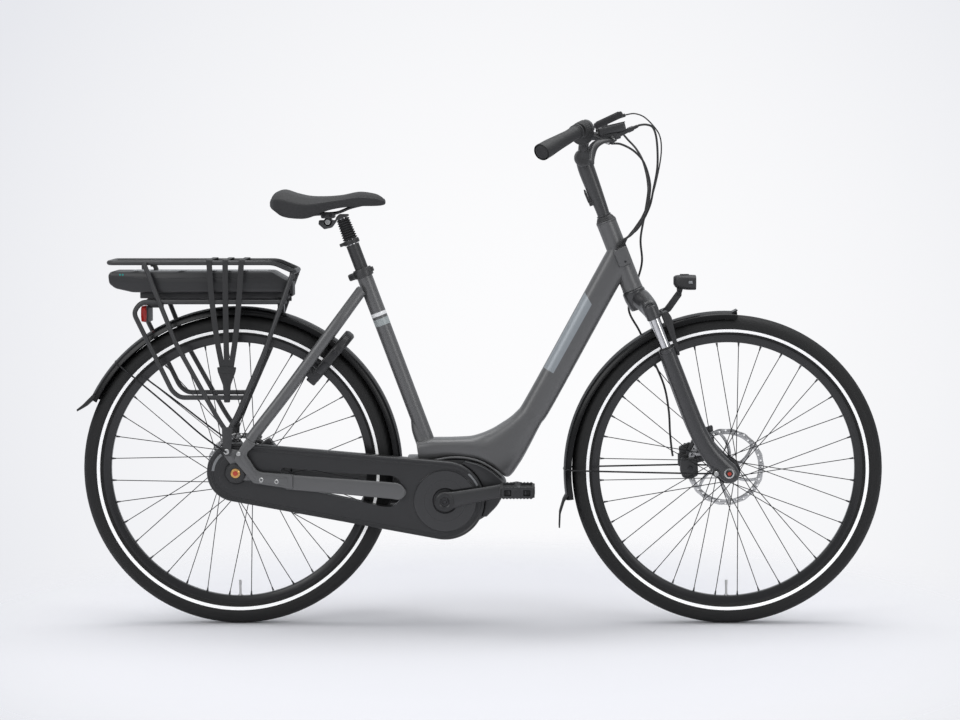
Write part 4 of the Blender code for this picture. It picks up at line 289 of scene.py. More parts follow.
def plateShape(where, loops, thickness, y=0.0, bevel=0.0006, material=0):
    # flat outlines, the first one's inner loops cut out, filled and given a thickness with rounded rims
    curve = bpy.data.curves.new("outline", "CURVE")
    curve.dimensions = "2D"
    curve.fill_mode = "BOTH"
    curve.extrude = max(thickness / 2 - bevel, 0.00001)
    curve.bevel_depth = bevel
    curve.bevel_resolution = 1
    curve.offset = -bevel
    for loop in loops:
        loop = np.asarray(loop, float)
        spline = curve.splines.new("POLY")
        spline.points.add(len(loop) - 1)
        spline.points.foreach_set("co", np.column_stack([loop, np.zeros(len(loop)), np.ones(len(loop))]).ravel())
        spline.use_cyclic_u = True
    item = bpy.data.objects.new("outline", curve)
    bpy.context.scene.collection.objects.link(item)
    bpy.context.view_layer.update()
    mesh = bpy.data.meshes.new_from_object(item.evaluated_get(bpy.context.evaluated_depsgraph_get()))
    work = bmesh.new()
    work.from_mesh(mesh)
    bmesh.ops.remove_doubles(work, verts=work.verts, dist=0.000004)
    bmesh.ops.recalc_face_normals(work, faces=work.faces)
    points = np.array([vertex.co[:] for vertex in work.verts])
    faces = [[vertex.index for vertex in face.verts] for face in work.faces]
    work.free()
    bpy.data.objects.remove(item)
    bpy.data.curves.remove(curve)
    bpy.data.meshes.remove(mesh)
    return shapeOf(put(where, np.column_stack([points[:, 0], y - points[:, 2], points[:, 1]])), faces, material)


def roundedPlate(where, points, radius, steps, thickness, y=0.0, bevel=0.0006, material=0):
    # a plate of one outline with rounded corners
    return plateShape(where, [filletLoop(points, radius, steps)], thickness, y, bevel, material)


def blockShape(where, size, centre, edge=0.002, material=0, tilt=0.0, steps=2):
    # a block with rounded edges: a rounded outline along its longest side, with rounded ends
    half = np.asarray(size, float) / 2
    order = np.argsort(half)
    longest = int(order[-1])
    others = [axis for axis in (0, 1, 2) if axis != longest]
    a, b = half[others[0]], half[others[1]]
    edge = min(edge, 0.45 * a, 0.45 * b)
    corner = filletLoop([(-a, -b), (a, -b), (a, b), (-a, b)], edge * 1.6, steps + 1)
    grid = np.zeros((4, len(corner), 3))
    grid[:, :, others[0]] = corner[None, :, 0]
    grid[:, :, others[1]] = corner[None, :, 1]
    grid[:, :, longest] = np.linspace(-half[longest], half[longest], 4)[:, None]
    grid = roundEnds(grid, edge, steps)
    turn = math.radians(tilt)
    turned = grid.copy()
    turned[..., 0] = grid[..., 0] * math.cos(turn) + grid[..., 2] * math.sin(turn)
    turned[..., 2] = -grid[..., 0] * math.sin(turn) + grid[..., 2] * math.cos(turn)
    return gridShape(put(where, turned + np.asarray(centre, float)), material)


def otherSide(shape):
    # the same shape on the other side of the bike, its faces turned back outwards
    points = shape["points"] * np.array([1.0, -1.0, 1.0])
    return {**shape, "points": points, "faces": [face[::-1] for face in shape["faces"]]}


def hexHead(where, x, z, y, radius, height, side=-1, material=0, socket=True):
    # a round bolt head with a small hexagon sunk in it
    out = side * height
    profile = [(0.0005, 0), (radius, 0), (radius, out * 0.7), (radius * 0.86, out), (radius * 0.5, out)]
    if socket:
        profile += [(radius * 0.48, out * 0.35), (0.0005, out * 0.35)]
    else:
        profile += [(0.0005, out)]
    return latheShape(where, profile, y, 20, material, centre=(x, z))


pieces = []


def piece(name, body, shapes, materials, replaces=(), sharp=32, blend=None):
    # one object from several shapes: points one after another, faces counted on; materials holds their names in a row
    points = np.vstack([shape["points"] for shape in shapes])
    starts = np.cumsum([0] + [len(shape["points"]) for shape in shapes])
    faces = [[index + int(start) for index in face] for shape, start in zip(shapes, starts)
        for face in shape["faces"]]
    numbers = np.concatenate([np.full(len(shape["faces"]), shape["material"], int) if np.isscalar(shape["material"])
        else np.asarray(shape["material"], int) for shape in shapes])
    mesh = bpy.data.meshes.new(name)
    mesh.from_pydata(points.tolist(), [], faces)
    for word in materials.split():
        mesh.materials.append(made[word])
    mesh.polygons.foreach_set("material_index", numbers)
    mesh.update()
    mesh.shade_smooth()
    mesh.set_sharp_from_angle(angle=math.radians(sharp))
    item = bpy.data.objects.new(name, mesh)
    bpy.context.scene.collection.objects.link(item)
    if blend:
        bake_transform(item)
    else:
        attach(item, body)
    if replaces:
        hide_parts(*replaces)
    pieces.append(item)
    return item


# Materials: groups that several finishes use, then one material for each finish
def newGroup(name, inputs, outputs):
    group = bpy.data.node_groups.new(name, "ShaderNodeTree")
    for label, kind, value in inputs:
        socket = group.interface.new_socket(label, in_out="INPUT", socket_type="NodeSocket" + kind)
        if value is not None:
            socket.default_value = value
    for label, kind in outputs:
        group.interface.new_socket(label, in_out="OUTPUT", socket_type="NodeSocket" + kind)
    return group, group.nodes.new("NodeGroupInput"), group.nodes.new("NodeGroupOutput")


def addNode(tree, kind, values=None, links=None, **settings):
    node = tree.nodes.new("ShaderNode" + kind)
    for key, value in settings.items():
        setattr(node, key, value)
    for key, value in (values or {}).items():
        node.inputs[key].default_value = value
    for key, socket in (links or {}).items():
        tree.links.new(socket, node.inputs[key])
    return node


def ramp(tree, value, low, high, start=0.0, end=1.0, **settings):
    # from start to end while the value goes from low to high
    return addNode(tree, "MapRange", {"From Min": low, "From Max": high, "To Min": start, "To Max": end},
        {"Value": value}, **settings)



def mathNode(tree, operation, first, second=None, third=None, clamp=False):
    node = tree.nodes.new("ShaderNodeMath")
    node.operation = operation
    node.use_clamp = clamp
    for index, value in enumerate((first, second, third)):
        if value is None:
            continue
        if isinstance(value, (int, float)):
            node.inputs[index].default_value = value
        else:
            tree.links.new(value, node.inputs[index])
    return node.outputs[0]


def finishGroup():
    # colour and roughness drift in soft clouds; the fine grain is a height; edges are where the surface bends outwards,
    # and there the colour is lightened, partly wear and partly a painted edge sheen
    group, given, result = newGroup("finishDetail", [("Colour", "Color", (0.1, 0.1, 0.1, 1)),
        ("Drift", "Float", 0.15), ("Roughness", "Float", 0.5), ("Smear", "Float", 0.08),
        ("Cloud Scale", "Float", 14.0), ("Grain Scale", "Float", 900.0), ("Edge Light", "Float", 0.3)],
        [("Colour", "Color"), ("Roughness", "Float"), ("Height", "Float")])
    where = addNode(group, "TexCoord").outputs["Object"]
    cloud = addNode(group, "TexNoise", {"Detail": 4.0, "Roughness": 0.6},
        {"Vector": where, "Scale": given.outputs["Cloud Scale"]})
    grain = addNode(group, "TexNoise", {"Detail": 2.0, "Roughness": 0.55},
        {"Vector": where, "Scale": given.outputs["Grain Scale"]})
    centred = mathNode(group, "SUBTRACT", cloud.outputs["Fac"], 0.5)
    fine = mathNode(group, "SUBTRACT", grain.outputs["Fac"], 0.5)
    both = mathNode(group, "MULTIPLY_ADD", fine, 0.5, centred)
    change = mathNode(group, "MULTIPLY_ADD", both, given.outputs["Drift"], 1.0)
    bent = addNode(group, "NewGeometry").outputs["Pointiness"]
    edge = ramp(group, bent, 0.515, 0.6).outputs[0]
    # lightened edges: partly wear, partly a painted sheen where edges catch the light
    wearAndSheen = mathNode(group, "MULTIPLY", edge, mathNode(group, "MULTIPLY", given.outputs["Edge Light"],
        cloud.outputs["Fac"]))
    change = mathNode(group, "ADD", change, wearAndSheen)
    scaled = addNode(group, "VectorMath", links={0: given.outputs["Colour"]}, operation="SCALE")
    group.links.new(change, scaled.inputs["Scale"])
    group.links.new(scaled.outputs[0], result.inputs["Colour"])
    rough = mathNode(group, "MULTIPLY_ADD", centred, given.outputs["Smear"], given.outputs["Roughness"], clamp=True)
    group.links.new(rough, result.inputs["Roughness"])
    group.links.new(grain.outputs["Fac"], result.inputs["Height"])
    return group


def streakGroup():
    # fine lines that run round an axis across the bike, as a turned or brushed disc has
    group, given, result = newGroup("turnedLines", [("Centre", "Vector", (0, 0, 0)), ("Lines", "Float", 2600.0)],
        [("Line", "Float"), ("Radius", "Float"), ("Angle", "Float")])
    where = addNode(group, "TexCoord").outputs["Object"]
    offset = addNode(group, "VectorMath", links={0: where, 1: given.outputs["Centre"]},
        operation="SUBTRACT").outputs[0]
    parts = addNode(group, "SeparateXYZ", links={0: offset})
    squared = mathNode(group, "MULTIPLY", parts.outputs["X"], parts.outputs["X"])
    radius = mathNode(group, "SQRT", mathNode(group, "MULTIPLY_ADD", parts.outputs["Z"], parts.outputs["Z"], squared))
    angle = mathNode(group, "ARCTAN2", parts.outputs["Z"], parts.outputs["X"])
    rounded = addNode(group, "CombineXYZ", links={"X": mathNode(group, "MULTIPLY", radius, given.outputs["Lines"]),
        "Y": mathNode(group, "MULTIPLY", angle, 1.5)})
    line = addNode(group, "TexNoise", {"Scale": 1.0, "Detail": 3.0}, {"Vector": rounded.outputs[0]})
    group.links.new(line.outputs["Fac"], result.inputs["Line"])
    group.links.new(radius, result.inputs["Radius"])
    group.links.new(angle, result.inputs["Angle"])
    return group


finishDetail = finishGroup()
turnedLines = streakGroup()


# materials by their names
made = {}


def makeMaterial(name, colour, roughness, metallic=0.0, drift=0.15, smear=0.1, cloud=14.0, grain=900.0, bump=0.08,
        edge=0.3, coat=0.0, coatRoughness=0.1, specular=0.5, depth=0.00005):
    material = bpy.data.materials.new(name)
    material.use_nodes = True
    tree = material.node_tree
    shader = tree.nodes["Principled BSDF"]
    shader.inputs["Metallic"].default_value = metallic
    shader.inputs["Coat Weight"].default_value = coat
    shader.inputs["Coat Roughness"].default_value = coatRoughness
    shader.inputs["Specular IOR Level"].default_value = specular
    detail = addNode(tree, "Group", node_tree=finishDetail)
    for key, value in (("Colour", (*colour, 1)), ("Drift", drift), ("Roughness", roughness), ("Smear", smear),
            ("Cloud Scale", cloud), ("Grain Scale", grain), ("Edge Light", edge)):
        detail.inputs[key].default_value = value
    tree.links.new(detail.outputs["Colour"], shader.inputs["Base Color"])
    tree.links.new(detail.outputs["Roughness"], shader.inputs["Roughness"])
    relief = addNode(tree, "Bump", {"Strength": bump, "Distance": depth}, {"Height": detail.outputs["Height"]})
    tree.links.new(relief.outputs["Normal"], shader.inputs["Normal"])
    made[name] = material
    return material


def addRelief(material, height, strength, distance):
    # a second, coarser relief under the fine grain
    tree = material.node_tree
    fine = next(node for node in tree.nodes if node.type == "BUMP")
    coarse = addNode(tree, "Bump", {"Strength": strength, "Distance": distance}, {"Height": height})
    tree.links.new(coarse.outputs["Normal"], fine.inputs["Normal"])


def mixColour(material, mask, colour):
    # the second colour shows where the mask is 1
    tree = material.node_tree
    shader = tree.nodes["Principled BSDF"]
    before = shader.inputs["Base Color"].links[0].from_socket
    mix = addNode(tree, "Mix", links={"Factor": mask, "A": before}, data_type="RGBA")
    mix.inputs["B"].default_value = (*colour, 1)
    tree.links.new(mix.outputs["Result"], shader.inputs["Base Color"])


paint = {"frame": (0.118, 0.118, 0.119), "casting": (0.1, 0.1, 0.101), "panel": (0.3, 0.325, 0.345),
    "band": (0.335, 0.365, 0.365), "white": (0.8, 0.8, 0.8), "flake": 5200.0}
# each finish: colour, roughness, metal, drift, smear, cloud size, grain size, bump, lightened edge (wear and painted
# edge sheen), coat, coat roughness
finishes = {"framePaint": (paint["frame"], 0.42, 0.35, 0.08, 0.05, 6.0, paint["flake"], 0.012, 0.08, 0.25, 0.22),
    "castingPaint": (paint["casting"], 0.44, 0.3, 0.12, 0.06, 12.0, paint["flake"], 0.06, 0.35, 0.15, 0.3),
    "silverBand": (paint["band"], 0.4, 0.1, 0.06, 0.05, 20.0, 3000.0, 0.01, 0.0, 0.3, 0.2),
    "whiteBand": (paint["white"], 0.35, 0.0, 0.04, 0.05, 20.0, 3000.0, 0.03, 0.0, 0.3, 0.2),
    "blackPlastic": ((0.022, 0.022, 0.023), 0.5, 0.0, 0.22, 0.12, 20.0, 2100.0, 0.16, 0.6),
    "finePlastic": ((0.019, 0.019, 0.02), 0.36, 0.0, 0.16, 0.1, 12.0, 2600.0, 0.07, 0.45),
    "glossPlastic": ((0.012, 0.012, 0.013), 0.18, 0.0, 0.1, 0.08, 9.0, 1800.0, 0.02, 0.2, 0.4, 0.06),
    "rimBlack": ((0.016, 0.016, 0.017), 0.3, 0.25, 0.15, 0.08, 10.0, 2400.0, 0.04, 0.2, 0.2, 0.15),
    "spokeBlack": ((0.018, 0.018, 0.019), 0.33, 0.6, 0.12, 0.1, 40.0, 3200.0, 0.03, 0.0),
    "blackMetal": ((0.054, 0.054, 0.055), 0.42, 0.55, 0.16, 0.08, 22.0, 2600.0, 0.08, 0.7),
    "boltSteel": ((0.5, 0.5, 0.49), 0.3, 1.0, 0.15, 0.15, 60.0, 3500.0, 0.05),
    "darkBolt": ((0.05, 0.05, 0.052), 0.35, 0.9, 0.15, 0.15, 60.0, 3500.0, 0.05, 0.5),
    "brassRing": ((0.62, 0.36, 0.13), 0.28, 1.0, 0.12, 0.1, 60.0, 3500.0, 0.04),
    "redCap": ((0.42, 0.055, 0.035), 0.34, 0.3, 0.12, 0.1, 60.0, 3500.0, 0.04),
    "chainSteel": ((0.36, 0.35, 0.33), 0.34, 1.0, 0.2, 0.15, 40.0, 2500.0, 0.06, 0.4),
    "chrome": ((0.72, 0.72, 0.73), 0.1, 1.0, 0.05, 0.06, 18.0, 2500.0, 0.01, 0.0),
    # grey for the pedals' reflectors, and for the painted highlights on the chain case's bevels
    "reflectorGrey": ((0.2, 0.205, 0.21), 0.3, 0.0, 0.08, 0.05, 40.0, 900.0, 0.2, 0.0),
    "tealLamp": ((0.02, 0.3, 0.27), 0.25, 0.0, 0.1, 0.05, 40.0, 900.0, 0.02, 0.0),
    "hoseBlack": ((0.014, 0.014, 0.014), 0.42, 0.0, 0.12, 0.1, 60.0, 2600.0, 0.05, 0.0),
    "strapRubber": ((0.02, 0.02, 0.021), 0.62, 0.0, 0.2, 0.1, 50.0, 1500.0, 0.2, 0.4),
    "stripeWhite": ((0.86, 0.86, 0.86), 0.45, 0.0, 0.1, 0.08, 26.0, 1900.0, 0.1, 0.0),
    "forkPaint": ((0.045, 0.045, 0.047), 0.34, 0.25, 0.1, 0.06, 8.0, 4200.0, 0.04, 0.25, 0.3, 0.15),
    "collarMetal": ((0.06, 0.06, 0.061), 0.4, 0.45, 0.12, 0.08, 22.0, 2600.0, 0.06, 0.4),
    "stemPaint": ((0.052, 0.052, 0.053), 0.36, 0.3, 0.1, 0.06, 10.0, 3000.0, 0.05, 0.25, 0.2, 0.2),
    "rubberBlack": ((0.013, 0.013, 0.013), 0.66, 0.0, 0.25, 0.12, 30.0, 1200.0, 0.2, 0.4)}
for name, values in finishes.items():
    makeMaterial(name, *values)


def tyreMaterial(name, centre, tint):
    # the side wall has thin rings round the wheel, and dust gathers between them
    material = makeMaterial(name, tint, 0.62, 0.0, 0.22, 0.12, 24.0, 1500.0, 0.22, 0.25, specular=0.35, depth=0.00008)
    tree = material.node_tree
    rings = addNode(tree, "Group", node_tree=turnedLines)
    rings.inputs["Centre"].default_value = centre
    rings.inputs["Lines"].default_value = 900.0
    fine = mathNode(tree, "SINE", mathNode(tree, "MULTIPLY", rings.outputs["Radius"], 2 * math.pi / 0.0011))
    addRelief(material, fine, 0.22, 0.00008)
    dust = ramp(tree, rings.outputs["Line"], 0.5, 0.85, end=0.22)
    mixColour(material, dust.outputs[0], (0.06, 0.058, 0.056))
    return material


def discMaterial(name, centre, colour):
    material = makeMaterial(name, colour, 0.3, 1.0, 0.08, 0.08, 30.0, 2600.0, 0.03, 0.0)
    tree = material.node_tree
    rings = addNode(tree, "Group", node_tree=turnedLines)
    rings.inputs["Centre"].default_value = centre
    rings.inputs["Lines"].default_value = 2600.0
    addRelief(material, rings.outputs["Line"], 0.3, 0.00006)
    dark = ramp(tree, rings.outputs["Line"], 0.35, 0.75, end=0.35)
    mixColour(material, dark.outputs[0], tuple(0.6 * value for value in colour))
    return material


def stanchionMaterial():
    # bright chrome with faint streaks along the tube
    material = makeMaterial("stanchionChrome", (0.62, 0.62, 0.63), 0.14, 1.0, 0.06, 0.08, 16.0, 2500.0, 0.01, 0.0)
    tree = material.node_tree
    source = addNode(tree, "TexCoord").outputs["Object"]
    turned = addNode(tree, "Mapping", {"Rotation": (0, -math.radians(90 - bike["headAngle"]), 0),
        "Scale": (700, 700, 12)}, {"Vector": source})
    streak = addNode(tree, "TexNoise", {"Scale": 1.0, "Detail": 3.0}, {"Vector": turned.outputs[0]})
    mask = ramp(tree, streak.outputs["Fac"], 0.45, 0.75, end=0.6)
    mixColour(material, mask.outputs[0], (0.22, 0.22, 0.23))
    return material


def saddleMaterial():
    # pebbled skin: rounded cells with narrow valleys, over a wide soft wrinkle
    material = makeMaterial("saddleSkin", (0.035, 0.035, 0.036), 0.66, 0.0, 0.18, 0.08, 22.0, 2200.0, 0.1, 0.1,
        specular=0.28)
    tree = material.node_tree
    source = addNode(tree, "TexCoord").outputs["Object"]
    cells = addNode(tree, "TexVoronoi", {"Scale": 620.0, "Randomness": 0.9}, {"Vector": source}, feature="SMOOTH_F1")
    wide = addNode(tree, "TexNoise", {"Scale": 90.0, "Detail": 3.0}, {"Vector": source})
    height = mathNode(tree, "MULTIPLY_ADD", wide.outputs["Fac"], 0.6,
        mathNode(tree, "SUBTRACT", 1.0, cells.outputs["Distance"]))
    addRelief(material, height, 0.35, 0.00022)
    return material


def lensMaterial(name, colour, roughness, transmission):
    material = makeMaterial(name, colour, roughness, 0.0, 0.05, 0.03, 40.0, 800.0, 0.04, 0.0, 0.5, 0.04)
    material.node_tree.nodes["Principled BSDF"].inputs["Transmission Weight"].default_value = transmission
    return material


def studMaterial():
    # the grip's rubber: rows of small raised diamonds
    material = makeMaterial("gripRubber", (0.016, 0.016, 0.017), 0.6, 0.0, 0.2, 0.1, 40.0, 1800.0, 0.16, 0.5)
    tree = material.node_tree
    source = addNode(tree, "TexCoord").outputs["Object"]
    cells = addNode(tree, "TexVoronoi", {"Scale": 330.0, "Randomness": 0.15}, {"Vector": source},
        feature="DISTANCE_TO_EDGE")
    dots = ramp(tree, cells.outputs["Distance"], 0.05, 0.3)
    addRelief(material, dots.outputs[0], 0.5, 0.0004)
    return material


rearCentre = tuple(fromRear[0])
frontCentre = tuple(fromFront[0])
tyreMaterial("rearTyreRubber", rearCentre, (0.011, 0.011, 0.011))
tyreMaterial("frontTyreRubber", frontCentre, (0.011, 0.011, 0.011))
discMaterial("rearDisc", rearCentre, (0.52, 0.52, 0.52))
discMaterial("frontDisc", frontCentre, (0.56, 0.56, 0.56))
stanchionMaterial()
saddleMaterial()
studMaterial()
makeMaterial("fenderBlack", (0.004, 0.004, 0.0044), 0.26, 0.0, 0.16, 0.1, 12.0, 2600.0, 0.04, 0.35, specular=0.28)
makeMaterial("gaiterRubber", (0.019, 0.019, 0.02), 0.58, 0.0, 0.2, 0.1, 60.0, 1600.0, 0.15, 0.5)
lensMaterial("lampGlass", (0.75, 0.78, 0.8), 0.08, 0.7)
lensMaterial("redGlass", (0.5, 0.018, 0.012), 0.14, 0.15)
lensMaterial("screenGlass", (0.014, 0.015, 0.017), 0.07, 0.0)
# painted light: the white stripes on the tyres and the shifter's mark glow a little, though they are no lamps
paintedGlow = made["stripeWhite"].node_tree.nodes["Principled BSDF"].inputs
paintedGlow["Emission Color"].default_value = (1, 1, 1, 1)
paintedGlow["Emission Strength"].default_value = 0.3
print("materials ready", len(bpy.data.materials))


# Wheels
tyre = {"middle": 0.3345, "round": 0.0236, "halfWidth": 0.0234, "turnSteps": 576, "crossSteps": 60,
    "beadAngle": 141.0, "grooveDepth": 0.0012, "blocks": 96, "stripeIn": 0.3196, "stripeOut": 0.3264}


def tyreShape(where):
    # radius = middle + round x cos(a), across = half width x sin(a); grooves sink where their waves cross
    a = np.radians(np.linspace(-tyre["beadAngle"], tyre["beadAngle"], tyre["crossSteps"]))[None, :]
    turn = fullTurn(tyre["turnSteps"])[:, None]
    across = tyre["halfWidth"] * np.sin(a)
    swing = np.abs(((turn * 64 / (2 * math.pi)) % 1) * 2 - 1) * 0.0016
    ring = np.exp(-((np.abs(across) - 0.0038 - swing) / 0.00075) ** 2)
    slant = ((turn * tyre["blocks"] / (2 * math.pi) + np.abs(across) * 95) % 1) - 0.5
    cuts = np.exp(-(slant / 0.13) ** 2) * (np.abs(across) > 0.0072) * (np.abs(np.degrees(a)) < 68)
    edge = np.exp(-((np.abs(np.degrees(a)) - 70) / 2.6) ** 2) * 0.35
    depth = tyre["grooveDepth"] * np.maximum(np.maximum(ring, cuts), edge)
    rise = 0.00035 * np.exp(-((np.abs(np.degrees(a)) - 92) / 4.5) ** 2)
    radius = tyre["middle"] + (tyre["round"] - depth + rise) * np.cos(a)
    across = across * (1 + rise / tyre["round"]) + np.zeros_like(radius)
    bead = tenths([(3122, 118), (3109, 100), (3109, 50), (3109, -50), (3109, -100), (3122, -118)])
    radius = np.hstack([radius, np.broadcast_to(bead[:, 0], (len(turn), 6))])
    across = np.hstack([across, np.broadcast_to(bead[:, 1], (len(turn), 6))])
    local = np.stack([radius * np.cos(turn), across, radius * np.sin(turn)], axis=-1)
    shape = gridShape(put(where, local), closedRows=True)
    middle = (radius[:1] + np.roll(radius[:1], -1)) / 2
    wall = np.abs(np.roll(across[:1], -1) + across[:1]) / 2 > 0.0125
    striped = ((middle > tyre["stripeIn"]) & (middle < tyre["stripeOut"]) & wall).astype(int)
    shape["material"] = np.tile(striped.ravel(), tyre["turnSteps"])
    return shape


spokeSet = {"count": 36, "radius": 0.001, "lay": 66.0, "step": 0.0013, "rimOffset": 0.003, "rimRadius": 0.294,
    "nippleLength": 0.009, "nippleRadius": 0.0021}


def spokeShapes(where, flangeRadius, flange):
    # each spoke runs from a hole in a flange to the rim, half of them leading and half trailing
    shapes = []
    for index in range(spokeSet["count"]):
        side = -1 if index % 2 else 1
        leads = 1 if index % 4 < 2 else -1
        rimAngle = 2 * math.pi * (index + 0.5) / spokeSet["count"]
        hubAngle = rimAngle - leads * math.radians(spokeSet["lay"])
        hub = np.array([flangeRadius * math.cos(hubAngle), side * (flange + leads * spokeSet["step"]),
            flangeRadius * math.sin(hubAngle)])
        rim = np.array([spokeSet["rimRadius"] * math.cos(rimAngle), side * (spokeSet["rimOffset"]
            + leads * spokeSet["step"]), spokeSet["rimRadius"] * math.sin(rimAngle)])
        head = hub - np.array([0, side * leads * 0.0042, 0])
        path = filletLoop([head, hub, rim], 0.0022, 3, closed=False)
        path = np.vstack([path[:-1], path[-2] + (path[-1] - path[-2]) * np.linspace(0.2, 1, 5)[:, None]])
        shapes.append(tubeShape(put(where, path), spokeSet["radius"], 8))
        out = unit(rim - hub)
        foot = put(where, np.array([rim - out * spokeSet["nippleLength"], rim - out * 0.003, rim]))
        shapes.append(tubeShape(foot, [spokeSet["nippleRadius"] * 0.72, spokeSet["nippleRadius"],
            spokeSet["nippleRadius"] * 1.25], 8, 1))
        shapes.append(tubeShape(put(where, np.array([head, head - np.array([0, side * leads * 0.0012, 0])])), 0.0021,
            8, 1))
    return shapes


rimSet = {"half": tenths([(2945, 58), (2962, 82), (3060, 106), (3172, 122), (3180, 112), (3168, 100), (3107, 94)]),
    "round": 0.0009}


def rimShape(where):
    # one half of the rim's outline and its mirror image, turned round the axle
    profile = np.vstack([rimSet["half"], rimSet["half"][::-1] * (1, -1)])
    return turnedShape(where, profile, rimSet["round"], 2, sides=240)


def valveShapes(where):
    # a valve stem at the bottom of the rim with its cap and lock ring
    path = put(where, np.array([[0, 0, -0.295], [0, 0, -0.288], [0, 0, -0.268]]))
    cap = put(where, np.array([[0, 0, -0.27], [0, 0, -0.258]]))
    ring = put(where, np.array([[0, 0, -0.2945], [0, 0, -0.2918]]))
    return [tubeShape(path, 0.0027, 16, 1), tubeShape(cap, 0.0031, 16, 1, edge=0.0008),
        tubeShape(ring, 0.0052, 18, 1, edge=0.0005)]


def hubProfile(body, flange, at, right, left, bearing):
    # the hub's outline from its left end over both flanges to its right end
    profile = [(0.0068, left), (bearing * 0.8, left), (bearing, left - 0.003), (bearing, at + 0.0065),
        (flange, at + 0.0026), (flange, at - 0.0026), (body * 1.04, at - 0.0062), (body, at - 0.012),
        (body, -at + 0.012), (body * 1.04, -at + 0.0062), (flange, -at + 0.0026), (flange, -at - 0.0026),
        (bearing, -at - 0.0065), (bearing, right + 0.003), (bearing * 0.8, right), (0.0068, right)]
    return filletLoop(profile, 0.0016, 3)


disc = {"thick": 0.0019, "band": 0.0135, "arms": 6, "armHalf": 0.0042, "lean": 28.0, "firstArm": 10.0, "holes": 36}


def rotorShapes(where, y, outer, inner):
    # the rim of the disc waves a little; windows between leaning arms and rows of small holes are cut out
    turn = fullTurn(288)
    edge = outer - 0.0007 + 0.0007 * np.cos(turn * 18)
    loops = [np.column_stack([edge * np.cos(turn), edge * np.sin(turn)])]
    ringIn = outer - disc["band"]
    hubOut = inner + 0.0095
    radii = np.linspace(hubOut, ringIn, 7)
    for arm in range(disc["arms"]):
        share = (radii - hubOut) / (ringIn - hubOut)
        lower = np.radians(disc["firstArm"] + 60 * arm + disc["lean"] * share) + disc["armHalf"] / radii
        upper = np.radians(disc["firstArm"] + 60 * (arm + 1) + disc["lean"] * share) - disc["armHalf"] / radii
        first = np.linspace(upper[0], lower[0], 6)[1:-1]
        last = np.linspace(lower[-1], upper[-1], 14)[1:-1]
        angle = np.concatenate([lower, last, upper[::-1], first])
        reach = np.concatenate([radii, np.full(12, ringIn), radii[::-1], np.full(4, hubOut)])
        loops.append(np.column_stack([reach * np.cos(angle), reach * np.sin(angle)]))
    for hole in range(disc["holes"]):
        angle = 2 * math.pi * hole / disc["holes"]
        reach = outer - disc["band"] * (0.32, 0.5, 0.68)[hole % 3]
        loops.append(arcPoints(reach * math.cos(angle), reach * math.sin(angle), 0.0019, 0, 330, 11))
    for hole in range(disc["arms"]):
        angle = math.radians(disc["firstArm"] + 60 * hole + 3)
        reach = inner + 0.005
        loops.append(arcPoints(reach * math.cos(angle), reach * math.sin(angle), 0.0016, 0, 330, 11))
    loops.append(arcPoints(0, 0, inner + 0.0004, 0, 355, 71))
    shapes = [plateShape(where, loops, disc["thick"], y, 0.00025)]
    for hole in range(disc["arms"]):
        angle = math.radians(disc["firstArm"] + 60 * hole + 3)
        reach = inner + 0.005
        shapes.append(hexHead(where, reach * math.cos(angle), reach * math.sin(angle), y + disc["thick"] / 2, 0.0031,
            0.0016, 1, 1))
    return shapes


# hub: body and flange radius, flange's place, right and left end, bearing radius
# spokes: radius of their holes and flange's place; rotor: place, outer and inner radius
wheels = {"rear": {"hub": (0.03, 0.041, 0.028, -0.043, 0.0485, 0.02), "spokes": (0.036, 0.028),
    "rotor": (0.05, 0.08, 0.02)},
    "front": {"hub": (0.022, 0.029, 0.03, -0.0488, 0.0488, 0.015), "spokes": (0.025, 0.03),
    "rotor": (0.0445, 0.09, 0.015)}}


def buildWheels():
    both = (("rear", fromRear), ("front", fromFront))
    for name, where in both:
        piece(name + "Tyre", name + "_wheel", [tyreShape(where)], name + "TyreRubber stripeWhite", [name + "_tyre"],
            50)
    for name, where in both:
        piece(name + "Rim", name + "_wheel", [rimShape(where), *valveShapes(where)], "rimBlack boltSteel",
            [name + "_rim"])
    carry = latheShape(fromRear, tenths([(68, 480), (198, 480), (198, 600), (68, 600)]), sides=48, closed=True)
    for name, where in both:
        shell = latheShape(where, hubProfile(*wheels[name]["hub"]), sides=72, closed=True)
        shapes = [shell, *([carry] if name == "rear" else []), *spokeShapes(where, *wheels[name]["spokes"])]
        piece(name + "Hub", name + "_wheel", shapes, "spokeBlack darkBolt", [name + "_hub_and_spokes"])
    for name, where in both:
        piece(name + "Rotor", name + "_wheel", rotorShapes(where, *wheels[name]["rotor"]), name + "Disc darkBolt",
            [name + "_rotor"])


buildWheels()
print("wheels", len(pieces))


# Frame
beam = {"power": 3.0, "steps": 7, "stations": tenths([(3852, 5961, 4215, 5290, 215), (3687, 5660, 4190, 5230, 255),
    (3347, 5041, 3896, 4738, 265), (1941, 2469, 2490, 2164, 275), (1620, 1980, 2195, 1702, 290),
    (1208, 1676, 1953, 1237, 320), (949, 1539, 1711, 806, 345), (780, 1475, 1440, 480, 350),
    (600, 1425, 1164, 657, 350), (420, 1408, 780, 850, 350), (95, 1395, 141, 930, 345), (-367, 1386, -229, 876, 330),
    (-680, 1330, -598, 818, 300)])}
seatTubeSize = 0.018
seatBands = {"whiteTop": -0.0974, "whiteFoot": -0.1058, "silverTop": -0.1122, "silverFoot": -0.1288, "lift": 0.00025}


